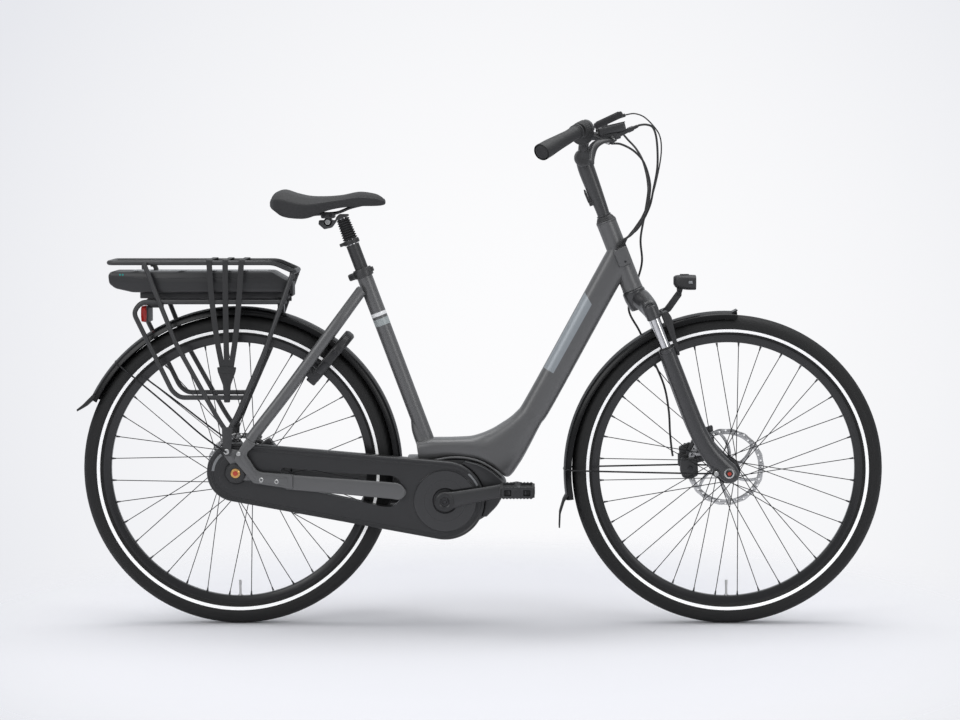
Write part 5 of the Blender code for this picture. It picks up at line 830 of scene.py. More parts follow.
def beamShape():
    # rounded box sections through the stations: |x/width|^p + |z/depth|^p = 1, the stations smoothed in between
    rows = np.array([((a + c) / 2, (b + d) / 2, a - c, b - d, width) for a, b, c, d, width in beam["stations"]])
    rows = smoothRows(rows, beam["steps"])
    centres = put(fromCrank, sideView(rows))
    depth = np.hypot(rows[:, 2], rows[:, 3])
    upward = np.column_stack([rows[:, 2] / depth, np.zeros(len(rows)), rows[:, 3] / depth])
    return loftShape(centres, (0, 1, 0), upward, rows[:, 4], depth / 2, beam["power"], 64)


def sleeveShape(where, radius, start, end, material=0, sides=64, edge=0.0008, inner=None):
    # a tube round an upward line, its rims rounded
    inner = radius - 0.0022 if inner is None else inner
    profile = filletLoop([(inner, start), (radius, start), (radius, end), (inner, end)], edge, 3)
    return latheShape(where, profile, sides=sides, material=material, axis="up", closed=True)


def panelMask(material, corners, colour):
    # inside a four-cornered field on the near side: each side of the field keeps what lies on its inner hand
    tree = material.node_tree
    source = addNode(tree, "TexCoord").outputs["Object"]
    mask = None
    for first, second in zip(corners, corners[1:] + corners[:1]):
        normal = unit(np.array([second[1] - first[1], 0.0, first[0] - second[0]]))
        centre = np.mean(corners, axis=0)
        if np.dot(normal, (centre[0] - first[0], 0.0, centre[1] - first[1])) < 0:
            normal = -normal
        dot = addNode(tree, "VectorMath", {1: tuple(normal)}, {0: source}, operation="DOT_PRODUCT").outputs["Value"]
        offset = float(np.dot(normal, (first[0], 0.0, first[1])))
        side = ramp(tree, dot, offset, offset + 0.0012).outputs[0]
        mask = side if mask is None else mathNode(tree, "MULTIPLY", mask, side)
    near = ramp(tree, mathNode(tree, "MULTIPLY", addNode(tree, "SeparateXYZ", links={0: source}).outputs["Y"], -1.0),
        0.012, 0.0135)
    mixColour(material, mathNode(tree, "MULTIPLY", mask, near.outputs[0]), colour)


def buildFrame():
    panelMask(made["framePaint"], [(0.2393, 0.7712), (0.2568, 0.741), (0.1686, 0.5821), (0.143, 0.5962)],
        paint["panel"])
    head = turnedShape(fromHead, tenths([(150, 0), (240, 0), (240, 30), (233, 60), (233, 1640), (238, 1660),
        (236, 1695), (150, 1695)]), 0.0012, 3, sides=96, axis="up")
    cone = turnedShape(fromHead, tenths([(150, 1690), (232, 1690), (232, 1712), (215, 1725), (200, 1760), (168, 1812),
        (150, 1812)]), 0.0008, 3, sides=72, axis="up", material=1)
    seam = turnedShape(fromHead, tenths([(225, 1655), (240, 1658), (240, 1664), (225, 1667)]), 0.0002, 2, sides=72,
        axis="up", material=2)
    seatTube = sleeveShape(fromSeat, seatTubeSize, -0.433, 0.0, 0, 72, 0.001, 0.0157)
    foot = tenths([(4120, 4720, 130, 150), (4165, 4520, 160, 176), (4225, 4350, 186, 190), (4355, 4050, 240, 215),
        (4390, 3880, 245, 215)])
    foot = smoothRows(foot, 5)
    gusset = loftShape(put(fromGround, sideView(foot)), (0, 1, 0), aim(fromGround, (1.0, 0, 0.08)), foot[:, 2],
        foot[:, 3], 2.4, 48)
    cradle = blockShape(fromGround, (0.0365, 0.056, 0.11), (0.40775, 0, 0.335), 0.004)
    port = blockShape(fromHead, (0.034, 0.034, 0.044), (0.006, -0.016, 0.08), 0.006, steps=4)
    cover = blockShape(fromHead, (0.026, 0.004, 0.038), (0.007, -0.0325, 0.08), steps=3)
    inlets = [rodShape(fromHead, (x, y, 0.096), (x, y, 0.1036), 0.0042, 20, 1, 0.0008)
        for x, y in ((0.0115, -0.0262), (0.0, -0.0285), (0.0185, -0.0205))]
    screw = hexHead(fromHead, 0.007, 0.068, -0.0344, 0.0026, 0.001, -1, 2)
    bands = [sleeveShape(fromSeat, seatTubeSize + seatBands["lift"], seatBands[name + "Foot"],
        seatBands[name + "Top"], material, 72, 0.0001, 0.0175) for name, material in (("white", 4), ("silver", 5))]
    piece("frontFrame", "frame", [beamShape(), head, cone, seam, seatTube, gusset, cradle, port, cover, *inlets,
        screw, *bands], "framePaint blackPlastic darkBolt boltSteel whiteBand silverBand", ["front_frame"])


stay = {"path": tenths([(330, -712, 4340), (497, -690, 4568), (1201, -625, 5477), (2200, -520, 6835),
    (2560, -370, 7325), (2780, -235, 7625), (2850, -190, 7720)]), "flat": 0.0085, "round": 0.0125}
casting = {"outline": tenths([(-29, 3885), (35, 4050), (260, 4390), (480, 4250), (243, 4026), (498, 3619),
    (1307, 3549), (1306, 3218), (442, 3352), (401, 3366)]), "thick": 0.01, "y": -0.0765}


def buildRearFrame():
    path = smoothRows(stay["path"], 7)
    path[:, 0] += bike["rearX"]
    along, _, _ = directions(path)
    upward = unitRows(np.cross(along, (0, 1, 0)))
    side = np.cross(upward, along)
    stays = loftShape(path, side, upward, stay["flat"], stay["round"], 2.2, 40)
    outline = filletLoop(casting["outline"], [0.004, 0.004, 0.006, 0.006, 0.009, 0.012, 0.004, 0.004, 0.01, 0.004], 5)
    plate = plateShape(fromGround, [outline], casting["thick"], casting["y"], 0.0022)
    rib = roundedPlate(fromGround, tenths([(100, 3960), (330, 4300), (390, 4240), (200, 4010), (470, 3560),
        (1200, 3490), (1200, 3290), (500, 3400)]), 0.005, 4, 0.0016, -0.0818, 0.0007)
    eye = roundedPlate(fromRear, np.vstack([arcPoints(0, 0, 0.019, 80, 300, 14),
        [(0.05, -0.018), (0.05, 0.002), (0.02, 0.032)]]), 0.002, 2, 0.0062, -0.0694, 0.0008)
    lug = blockShape(fromGround, (0.016, 0.0096, 0.016), (-0.0197, -0.0692, 0.406), 0.0025)
    web = roundedPlate(fromGround, tenths([(-277, 4000), (-120, 4140), (100, 4100), (60, 3850), (-60, 3700)]), 0.004,
        4, 0.0062, -0.0694, 0.0008)
    tail = blockShape(fromGround, (0.02, 0.004, 0.03), (0.12, -0.0735, 0.3378), 0.001, tilt=4.3)
    bar = smoothRows(tenths([(1150, 3375, 170), (2500, 3265, 180), (3500, 3180, 190), (3740, 3145, 180),
        (3860, 3130, 90)]), 6)
    chainStay = loftShape(put(fromGround, sideView(bar, -0.0715)), (0, 1, 0), aim(fromGround, (0.05, 0, 1)) / 1.00125,
        0.005, bar[:, 2], 3.5, edge=0.002)
    bolts = [hexHead(fromGround, x, z, -0.0812, 0.0052, 0.0026, -1, 1)
        for x, z in ((0.0079, 0.4032), (0.0592, 0.3436), (0.0941, 0.3394))]
    washers = [latheShape(fromGround, tenths([(30, -10), (64, -10), (64, 2), (30, 2)]), -0.0812, 24, 1, closed=True,
        centre=(x, z)) for x, z in ((0.0592, 0.3436), (0.0941, 0.3394))]
    half = [stays, plate, rib, eye, lug, web, tail, chainStay, *bolts, *washers]
    tubes = [rodShape(fromGround, (0.379, -0.0715, 0.313), (0.379, 0.0715, 0.313), 0.01, 32),
        rodShape(fromGround, (0.265, -0.032, 0.745), (0.265, 0.032, 0.745), 0.008, 28),
        blockShape(fromGround, (0.017, 0.03, 0.05), (0.379, 0.023, 0.288))]
    piece("rearFrame", "frame", [*half, *[otherSide(shape) for shape in half], *tubes], "framePaint boltSteel",
        ["rear_frame"])


# Motor and chain drive
motor = {"outline": tenths([(-570, 800), (-229, 862), (141, 915), (460, 905), (790, 820), (1080, 660), (1290, 475),
    (1370, 380), (1398, 270), (1324, 93), (1195, -137), (953, -381), (600, -600), (200, -740), (-250, -740),
    (-500, -560), (-585, -200)]), "left": 0.056, "right": 0.0357, "coverDepth": 0.018}
case = {"front": 0.0905, "rear": 0.0675, "outer": 0.064, "inner": 0.036, "split": 0.05, "disc": 0.072}


def caseOutline(grow):
    # two circles and the straight lines that touch both
    dx, dz = bike["crankX"], bike["crankZ"] - bike["wheelRadius"]
    droop = math.degrees(math.atan2(dz, dx))
    spread = math.degrees(math.asin((case["front"] - case["rear"]) / math.hypot(dx, dz)))
    top, bottom = droop + 90 + spread, droop - 90 - spread
    front = arcPoints(dx, dz, case["front"] + grow, bottom, top, 36)
    back = arcPoints(0, 0, case["rear"] + grow, top, bottom + 360, 36)
    return np.vstack([front, back])


def caseShell(outer, rest, sign):
    # the shell's cross-section is a lip, a rounded shoulder and a flat wall with a raised field inside it
    levels = [(0.0, rest), (0.0, outer + sign * 0.0042), (-0.001, outer + sign * 0.0018),
        (-0.0034, outer + sign * 0.0002), (-0.007, outer + sign * 0.0008), (-0.0078, outer + sign * 0.0016),
        (-0.011, outer + sign * 0.0016), (-0.0118, outer + sign * 0.0008)]
    grid = np.array([put(fromRear, np.column_stack([caseOutline(grow)[:, 0], np.full(74, y),
        caseOutline(grow)[:, 1]])) for grow, y in levels])
    return gridShape(grid)


def cutShape(shape, cutter):
    # what is left of a closed shape outside a closed cutter
    items = []
    for each in (shape, cutter):
        mesh = bpy.data.meshes.new("cutting")
        mesh.from_pydata(np.asarray(each["points"]).tolist(), [], each["faces"])
        items.append(bpy.data.objects.new("cutting", mesh))
        bpy.context.scene.collection.objects.link(items[-1])
    tool = items[0].modifiers.new("cut", "BOOLEAN")
    tool.operation = "DIFFERENCE"
    tool.object = items[1]
    bpy.context.view_layer.update()
    result = items[0].evaluated_get(bpy.context.evaluated_depsgraph_get()).to_mesh()
    points = np.array([vertex.co[:] for vertex in result.vertices])
    faces = [list(face.vertices) for face in result.polygons]
    items[0].evaluated_get(bpy.context.evaluated_depsgraph_get()).to_mesh_clear()
    for item in items:
        bpy.data.meshes.remove(item.data)
    return {"points": points, "faces": faces, "material": 0}


def buildDrive():
    sides = motor["left"] + motor["right"]
    middle = (motor["left"] - motor["right"]) / 2
    outline = filletLoop(motor["outline"], 0.012)
    body = plateShape(fromCrank, [outline], sides, middle, 0.003)
    cap = turnedShape(fromCrank, tenths([(100, 520), (240, 520), (240, 610), (215, 640), (100, 640)]), 0.001, 3,
        sides=56)
    leftCover = roundedPlate(fromCrank, np.array(motor["outline"]) * 0.86 + (0.004, 0.0), 0.01, 4, 0.003, 0.0568,
        0.001)
    screws = [hexHead(fromCrank, x, z, 0.056, 0.004, 0.0018, 1, 1) for x, z in ((0.125, 0.03), (0.05, 0.079),
        (-0.048, 0.068), (-0.044, -0.05), (0.06, -0.05))]
    piece("driveUnit", "frame", [body, cap, leftCover, *screws], "blackPlastic darkBolt", ["drive_unit"])

    reach = case["front"] + 0.001
    front = [point for point in motor["outline"] if math.hypot(*point) > reach + 0.002 and point[0] > 0.02]
    start = math.degrees(math.atan2(front[-1][1], front[-1][0]))
    end = math.degrees(math.atan2(front[0][1], front[0][0]))
    ring = arcPoints(0, 0, reach, start - 4, end + 2, 40)
    skin = filletLoop(front, 0.012, 5, closed=False)
    cover = plateShape(fromCrank, [np.vstack([skin, ring])], motor["coverDepth"],
        -(case["inner"] + motor["coverDepth"] / 2), 0.002)
    strip = tubeShape(put(fromCrank, np.column_stack([skin[:, 0] * 0.985, np.full(len(skin), -0.0536),
        skin[:, 1] * 0.985])), 0.0007, 8, 1)
    coverScrew = hexHead(fromCrank, 0.123, 0.018, -0.054, 0.003, 0.001, -1, 2)
    flange = tenths([(-570, 850), (-229, 905), (141, 960), (460, 950), (790, 868), (1080, 708), (1300, 520)])
    flangePath = smoothRows(flange, 6)
    flangeTube = tubeShape(put(fromCrank, sideView(flangePath, -0.035)), 0.003, 14, 3, edge=0.001)
    piece("driveCover", "frame", [cover, strip, coverScrew, flangeTube],
        "finePlastic castingPaint darkBolt framePaint", ["drive_unit_cover"])

    # an opening round the chain stay goes through both halves
    way = [(0.102, 0.012), (0.244, -0.0002), (0.358, -0.007), (0.374, -0.016), (0.38, -0.04), (0.374, -0.066),
        (0.358, -0.079), (0.3355, -0.079), (0.29, -0.068), (0.141, -0.035), (0.102, -0.026)]
    cutter = roundedPlate(fromRear, way, 0.01, 6, 0.08, -0.05, 0.0002)
    outer = cutShape(caseShell(-case["outer"], -case["split"] - 0.0002, 1), cutter)
    rings = [turnedShape(fromCrank, [(radius, -0.0632), (radius + width, -0.0632), (radius + width * 0.8, -0.064),
        (radius + width * 0.2, -0.064)], 0.0002, 2, sides=120) for radius, width in ((case["disc"], 0.0014),
        (0.047, 0.001))]
    discs = [turnedShape(fromCrank, tenths([(250, -615), (712, -615), (712, -637), (690, -640), (300, -638),
        (250, -630)]), 0.0008, 3, sides=120, material=1), turnedShape(fromRear,
        tenths([(250, -612), (420, -612), (420, -634), (405, -638), (262, -638), (250, -630)]), 0.0006, 3, sides=96)]
    # painted highlights: two thin grey arcs where the case's bevels catch the light
    paintedHighlights = [plateShape(fromRear, [patch], 0.0007, -0.0641, 0.0002, 2)
        for patch in (np.vstack([arcPoints(0.4777, -0.0648, 0.084, 49, 25, 14),
        arcPoints(0.4777, -0.0648, 0.0795, 25, 49, 14)]),)]
    arc = arcPoints(0, 0, 0.056, 128, 176, 14)
    inner = arcPoints(0, 0, 0.05, 176, 128, 14)
    paintedHighlights.append(plateShape(fromRear, [np.vstack([arc, inner])], 0.0007, -0.0641, 0.0002, 2))
    groove = caseOutline(-0.015)
    line = tubeShape(put(fromRear, sideView(groove, -0.0634)), 0.0006, 6, 3)
    piece("caseOuter", "frame", [outer, *rings, *discs, *paintedHighlights, line],
        "finePlastic glossPlastic reflectorGrey blackPlastic", ["chain_case_outer"], 40)
    piece("caseInner", "frame", [cutShape(caseShell(-case["inner"], -case["split"] + 0.0002, -1), cutter)],
        "finePlastic", ["chain_case_inner"], 40)


crank = {"stations": tenths([(-200, 780, 60, 100), (-140, 780, 85, 190), (0, 780, 95, 225), (250, 785, 85, 190),
    (900, 830, 68, 155), (1560, 870, 65, 140), (1700, 872, 65, 138), (1800, 872, 62, 95), (1838, 872, 55, 40)]),
    "power": 2.8, "teeth": 38, "smallTeeth": 19, "pitch": 0.0127, "line": 0.049}


def crankShapes(side):
    # rounded sections along the arm, the stations smoothed, with a boss, a centre bolt and the pedal's thread end
    angle = math.radians(bike["crankAngle"]) + (0 if side < 0 else math.pi)
    out = np.array([math.cos(angle), 0, math.sin(angle)])
    up = np.array([-math.sin(angle), 0, math.cos(angle)])
    rows = smoothRows(crank["stations"], 6)
    centres = fromCrank[0] + out * rows[:, :1] + np.array([0, side, 0]) * rows[:, 1:2]
    arm = loftShape(centres, (0, 1, 0), up, rows[:, 2], rows[:, 3], crank["power"], 40)
    face = side * 0.0872
    rings = [turnedShape(fromCrank, [(0.0105, face), (0.0215, face), (0.0215, face + side * 0.0012),
        (0.0195, face + side * 0.0022), (0.0135, face + side * 0.0022), (0.0105, face + side * 0.0008)], 0.0004, 3,
        material=1), turnedShape(fromCrank, [(0.004, face), (0.0092, face), (0.0092, face + side * 0.0014),
        (0.008, face + side * 0.0026), (0.0052, face + side * 0.0026), (0.004, face + side * 0.001)], 0.0003, 3,
        sides=48, material=2), latheShape(fromCrank, [(0.0003, face + side * 0.0006), (0.0042, face + side * 0.0006),
        (0.0042, face), (0.0003, face)], sides=6, material=2)]
    tip = out * bike["crankLength"]
    thread = turnedShape((fromCrank[0] + tip, *fromCrank[1:]), tenths([(30, 930), (85, 930), (85, 941),
        (30, 941)]) * (1, side), 0.0003, 2, sides=40, material=2)
    boss = turnedShape(fromCrank, tenths([(93, 655), (170, 655), (170, 720), (93, 720)]) * (1, side), 0.0006, 2,
        sides=48)
    return [arm, *rings, thread, boss]


def toothLoop(teeth, radius, depth):
    # each tooth is a rounded tip between two round seats for the chain's rollers
    turn = fullTurn(teeth * 8)
    reach = radius + depth * np.clip(1.6 * np.cos(turn * teeth), -1, 1)
    return np.column_stack([reach * np.cos(turn), reach * np.sin(turn)])


def buildCranks():
    piece("crankRight", "crank", crankShapes(-1), "blackMetal finePlastic darkBolt", ["crank_right"])
    spindle = rodShape(fromCrank, (0, -0.078, 0), (0, 0.076, 0), 0.009, 32, 2)
    piece("crankLeft", "crank", [*crankShapes(1), spindle], "blackMetal finePlastic darkBolt", ["crank_left"])
    pitch = crank["pitch"]
    large = pitch / 2 / math.sin(math.pi / crank["teeth"])
    small = pitch / 2 / math.sin(math.pi / crank["smallTeeth"])
    windows = [arcPoints(0.042 * math.cos(a), 0.042 * math.sin(a), 0.0105, 0, 345, 23)
        for a in np.radians(np.arange(0, 360, 72))]
    ring = plateShape(fromCrank, [toothLoop(crank["teeth"], large - 0.0068, 0.0015),
        arcPoints(0, 0, 0.0094, 0, 350, 35), *windows], 0.003, -crank["line"], 0.0004)
    piece("chainring", "crank", [ring], "chainSteel", ["chainring"])
    cog = plateShape(fromRear, [toothLoop(crank["smallTeeth"], small - 0.0068, 0.0015),
        arcPoints(0, 0, 0.0064, 0, 350, 35)], 0.003, -crank["line"], 0.0004)
    piece("rearSprocket", "sprocket", [cog], "chainSteel", ["rear_sprocket"])
    dx, dz = bike["crankX"], bike["crankZ"] - bike["wheelRadius"]
    droop = math.degrees(math.atan2(dz, dx))
    spread = math.degrees(math.asin((large - small) / math.hypot(dx, dz)))
    top, bottom = droop + 90 + spread, droop - 90 - spread
    loop = np.vstack([arcPoints(dx, dz, large, bottom, top, 40), arcPoints(0, 0, small, top, bottom + 360, 24)])
    steps = np.concatenate([[0], np.cumsum(np.linalg.norm(np.diff(np.vstack([loop, loop[:1]]), axis=0), axis=1))])
    count = int(round(steps[-1] / pitch / 2)) * 2
    at = np.linspace(0, steps[-1], count, endpoint=False)
    closed = np.vstack([loop, loop[:1]])
    rollers = np.column_stack([np.interp(at, steps, closed[:, 0]), np.interp(at, steps, closed[:, 1])])
    links = []
    half, waist = 0.0034, 0.0023
    for index in range(count):
        first, second = rollers[index], rollers[(index + 1) % count]
        turn = math.degrees(math.atan2(*(second - first)[::-1]))
        length = float(np.linalg.norm(second - first))
        link = np.array([*arcPoints(0, 0, half, 60, 300, 5), (length / 2, -waist),
            *arcPoints(length, 0, half, 240, 480, 5), (length / 2, waist)])
        spin = math.radians(turn)
        link = np.column_stack([link[:, 0] * math.cos(spin) - link[:, 1] * math.sin(spin) + first[0],
            link[:, 0] * math.sin(spin) + link[:, 1] * math.cos(spin) + first[1]])
        for side in (-1, 1):
            y = -crank["line"] + side * (0.0036 if index % 2 else 0.0026)
            grid = np.array([put(fromRear, sideView(link, y - 0.0005)), put(fromRear, sideView(link, y + 0.0005))])
            links.append(gridShape(grid))
        links.append(rodShape(fromRear, (first[0], -crank["line"] - 0.004, first[1]),
            (first[0], -crank["line"] + 0.004, first[1]), 0.0018, 8, 0, 0))
    piece("chain", "frame", links, "chainSteel", ["chain"])


pedal = {"inner": 0.097, "length": 0.092, "teeth": 9, "wall": 0.0055}


def buildPedal(side, name, body, node):
    # two toothed side plates, two end plates and a barrel with ribs round it
    angle = math.radians(bike["crankAngle"]) + (0 if side < 0 else math.pi)
    centre = fromCrank[0] + bike["crankLength"] * np.array([math.cos(angle), 0, math.sin(angle)])
    where = (centre, *fromCrank[1:])
    inner, outer = side * pedal["inner"], side * (pedal["inner"] + pedal["length"])
    middle = (inner + outer) / 2
    barrel = turnedShape(where, [(0.004, inner), (0.012, inner), (0.012, inner + side * 0.012),
        (0.01, inner + side * 0.016), (0.01, outer - side * 0.02), (0.0118, outer - side * 0.016),
        (0.0118, outer - side * 0.002), (0.01, outer), (0.004, outer)], 0.001, 3, sides=40)
    axle = rodShape(where, (0, side * 0.094, 0), (0, inner + side * 0.02, 0), 0.007, 24, 1)
    shapes = [barrel, axle]
    steps = pedal["teeth"]
    for y in (inner + side * 0.004, outer - side * 0.004):
        top = [(x, 0.0118 + (0.0022 if index % 2 else 0.0)) for index, x in enumerate(np.linspace(-0.0345, 0.0345,
            2 * steps + 1))]
        loop = np.array([(-0.035, -0.01), *[(x, -z) for x, z in top], (0.035, -0.01), (0.035, 0.01), *top[::-1],
            (-0.035, 0.01)])
        window = [filletLoop([(x - 0.008, -0.007), (x + 0.008, -0.007), (x + 0.008, 0.007), (x - 0.008, 0.007)],
            0.003, 3) for x in (-0.0215, 0.0215)]
        shapes.append(plateShape(where, [loop, *window], 0.007, y, 0.0008))
    for x in (-0.0355, 0.0355):
        shapes.append(blockShape(where, (0.007, pedal["length"] - 0.002, 0.022), (x, middle, 0), 0.0016, 2, steps=3))
        shapes.append(blockShape(where, (0.0016, pedal["length"] * 0.62, 0.01),
            (x + math.copysign(0.0034, x), middle, 0), 0.0006, 3))
    shapes.append(blockShape(where, (0.066, pedal["length"] - 0.014, 0.015), (0, middle, 0), 0.0014, 2))
    for x in (-0.018, 0.018):
        shapes.append(blockShape(where, (0.0045, pedal["length"] - 0.01, 0.012), (x, middle, 0), 0.0012))
    for y in np.linspace(inner + side * 0.02, outer - side * 0.024, 4):
        shapes.append(blockShape(where, (0.064, 0.004, 0.01), (0, y, 0), 0.001))
    piece(name, body, shapes, "blackPlastic darkBolt rubberBlack reflectorGrey", [node])


buildFrame()
buildRearFrame()
buildDrive()
buildCranks()
buildPedal(-1, "pedalRight", "pedal_right_side", "pedal_right")
buildPedal(1, "pedalLeft", "pedal_left_side", "pedal_left")
print("frame and drive", len(pieces))


# Fork, front fender and lamp
fork = {"stanchionAhead": 0.021, "stanchionY": 0.062, "legs": tenths([(212, -1500, 185, 620, 168),
    (200, -2150, 195, 620, 168), (190, -2950, 200, 622, 160), (194, -3450, 202, 630, 150),
    (232, -3880, 206, 640, 140), (318, -4220, 215, 640, 140), (430, -4500, 222, 640, 140),
    (510, -4670, 225, 640, 140), (585, -4830, 165, 640, 140), (610, -4885, 70, 640, 130)])}


def buildFork():
    crown = [(-0.074, 0.0205, -0.056, 0.011, 0.016), (-0.068, 0.0205, -0.054, 0.0165, 0.021),
        (-0.05, 0.019, -0.048, 0.019, 0.024), (-0.025, 0.011, -0.029, 0.0215, 0.02),
        (0.0, 0.004, -0.024, 0.024, 0.0205), (0.025, 0.011, -0.029, 0.0215, 0.02),
        (0.05, 0.019, -0.048, 0.019, 0.024), (0.068, 0.0205, -0.054, 0.0165, 0.021),
        (0.074, 0.0205, -0.056, 0.011, 0.016)]
    rows = smoothRows(crown, 6)
    bridge = loftShape(put(fromHead, rows[:, [1, 0, 2]]), aim(fromHead, (1.0, 0, 0)), aim(fromHead, (0, 0, 1.0)),
        rows[:, 3], rows[:, 4], 2.6, 48, edge=0.004)
    race = turnedShape(fromHead, tenths([(5, -3), (240, -3), (262, -50), (262, -200), (230, -400), (200, -470),
        (5, -470)]), 0.002, 3, sides=80, axis="up", closed=False)
    line = turnedShape(fromHead, tenths([(245, -42), (264, -46), (264, -54), (245, -58)]), 0.0002, 2, sides=80,
        axis="up", material=3)
    steerer = sleeveShape(fromHead, 0.0143, -0.03, 0.18, 2, 56, 0.0008, 0.0114)
    shapes = [bridge, race, line, steerer]
    for side in (-1, 1):
        socket = turnedShape(fromHead, tenths([(5, -450), (150, -450), (168, -480), (168, -745), (155, -770),
            (5, -770)]), 0.0012, 3, side * fork["stanchionY"], 56, axis="up", centre=(fork["stanchionAhead"], 0.0),
            closed=False)
        tube = turnedShape(fromHead, tenths([(5, -550), (125, -550), (125, -2440), (118, -2450), (5, -2450)]), 0.0006,
            2, side * fork["stanchionY"], 72, 1, axis="up", centre=(fork["stanchionAhead"], 0.0), closed=False)
        shapes += [socket, tube]
    piece("forkCrown", "fork_upper", shapes, "forkPaint stanchionChrome darkBolt darkBolt", ["fork_crown"])

    rows = smoothRows(fork["legs"], 8)
    along = unitRows(np.gradient(rows[:, :2], axis=0))
    # the section's depth runs across the leg's own line, its width across the bike
    depthWay = aim(fromHead, np.column_stack([-along[:, 1], np.zeros(len(rows)), along[:, 0]]))
    for side, name, node in ((-1, "forkLegRight", "fork_leg_right"), (1, "forkLegLeft", "fork_leg_left")):
        centres = put(fromHead, np.column_stack([rows[:, 0], side * rows[:, 3], rows[:, 1]]))
        leg = loftShape(centres, (0, 1, 0), depthWay, rows[:, 4], rows[:, 2], 2.3, 56)
        wiper = turnedShape(fromHead, tenths([(128, -1460), (150, -1460), (164, -1480), (166, -1520), (128, -1520)]),
            0.0008, 3, side * fork["stanchionY"], 64, 1, axis="up", centre=(fork["stanchionAhead"], 0.0))
        collar = turnedShape(fromHead, tenths([(130, -1510), (186, -1516), (190, -1540), (190, -1600), (130, -1610)]),
            0.001, 3, side * fork["stanchionY"], axis="up", centre=(fork["stanchionAhead"], 0.0))
        pad = turnedShape(fromFront, tenths([(5, 560), (85, 560), (85, 770), (5, 770)]) * (1, side), 0.0008, 3,
            sides=40, centre=(-0.03, 0.0), closed=False)
        bolt = hexHead(fromFront, -0.03, 0.0, side * 0.083, 0.0056, 0.003, side, 2)
        shapes = [leg, wiper, collar, pad, bolt]
        if side > 0:
            tab = filletLoop(tenths([(-300, 980), (-700, 820), (-980, 180), (-880, 20), (-400, 150), (-250, 500)]),
                0.006, 5)
            hole = filletLoop(tenths([(-420, 780), (-640, 700), (-740, 420), (-440, 480)]), 0.004)
            shapes.append(plateShape(fromFront, [tab, hole], 0.008, 0.056, 0.0012))
        piece(name, "fork_lower", shapes, "forkPaint rubberBlack boltSteel", [node])

    outline = filletLoop(tenths([(-1050, 230), (-660, 200), (-640, -180), (-780, -260), (-1000, -240),
        (-1060, -100)]), 0.005)
    caliper = [plateShape(fromFront, [outline], 0.0125, 0.0353, 0.002),
        plateShape(fromFront, [outline], 0.0125, 0.0542, 0.002), blockShape(fromFront, (0.01, 0.03, 0.03),
        (-0.099, 0.0455, -0.001)), roundedPlate(fromFront, tenths([(-1060, 230), (-1080, 450), (-820, 560),
        (-780, 460), (-840, 400), (-870, 200)]), 0.004, 4, 0.015, 0.068, 0.002),
        blockShape(fromFront, (0.03, 0.03, 0.03), (-0.095, 0.065, 0.015), 0.004, steps=3)]
    caliper += [hexHead(fromFront, x, z, 0.0755, 0.0042, 0.003, 1, 1) for x, z in ((-0.093, 0.048), (-0.09, 0.008))]
    caliper.append(hexHead(fromFront, -0.083, -0.002, 0.0291, 0.007, 0.0012, -1, 1, False))
    piece("frontCaliper", "fork_lower", caliper, "blackMetal darkBolt", ["front_caliper"])
    nut = 0.0775
    axle = [rodShape(fromFront, (0, -nut, 0), (0, nut, 0), 0.006, 28, 0, 0.001)]
    for side in (-1, 1):
        axle.append(turnedShape(fromFront, tenths([(60, 783), (118, 783), (118, 800), (60, 800)]) * (1, side), 0.0004,
            2, sides=48))
        axle.append(turnedShape(fromFront, tenths([(5, 800), (88, 800), (88, 850), (72, 868), (5, 868)]) * (1, side),
            0.0006, 3, sides=6, material=1, closed=False))
        axle.append(latheShape(fromFront, tenths([(5, 866), (46, 866), (42, 876), (5, 878)]) * (1, side), sides=32,
            material=2))
    piece("frontAxle", "fork_lower", axle, "boltSteel darkBolt redCap", ["front_axle"])


fender = {"half": 0.03, "drop": 0.015, "wall": 0.0016, "offset": 0.0055, "front": 0.3705, "rear": 0.376,
    "wire": 0.002, "ridge": 0.0012}


def fenderShape(where, radius, start, end, steps):
    # an arched section with two soft ridges, carried round: (radius + height) x (cosine, sine) of the turn
    half, drop = fender["half"], fender["drop"]
    outer = smoothRows([(half, -drop), (half - 0.0012, -drop * 0.72), (0.0262, -0.0052), (0.0205, -0.0016),
        (0.015, 0.0), (0.0085, 0.0004), (0.0, 0.0006), (-0.0085, 0.0004), (-0.015, 0.0), (-0.0205, -0.0016),
        (-0.0262, -0.0052), (-half + 0.0012, -drop * 0.72), (-half, -drop)], 5)
    ridge = fender["ridge"] * np.exp(-((np.abs(outer[:, 0]) - 0.0115) / 0.0022) ** 2)
    outer = np.column_stack([outer[:, 0], outer[:, 1] + ridge])
    inner = np.column_stack([outer[:, 0] * (1 - fender["wall"] / half), outer[:, 1] - fender["wall"]])[::-1]
    section = np.vstack([outer, inner])
    turn = np.radians(np.linspace(start, end, steps + 1))[:, None]
    reach = radius + section[None, :, 1]
    grid = np.stack([reach * np.cos(turn), section[None, :, 0] + np.zeros_like(turn), reach * np.sin(turn)], axis=-1)
    return gridShape(put(where, grid))


def wireShape(where, radius, angle, points):
    # one wire from the right bolt over the blade to the left bolt
    out = np.array([math.cos(math.radians(angle)), 0, math.sin(math.radians(angle))])
    left = [np.array(point) for point in points]
    for inset, y in ((fender["drop"], fender["half"] + 0.001), (0.0045, 0.027), (-0.0005, 0.014)):
        left.append(out * (radius - inset) + np.array([0, y, 0]))
    right = [point * np.array([1, -1, 1]) for point in left]
    path = smoothRows(np.array(right + left[::-1]), 6)
    return tubeShape(put(where, path), fender["wire"], 14, 1, edge=0.0008)


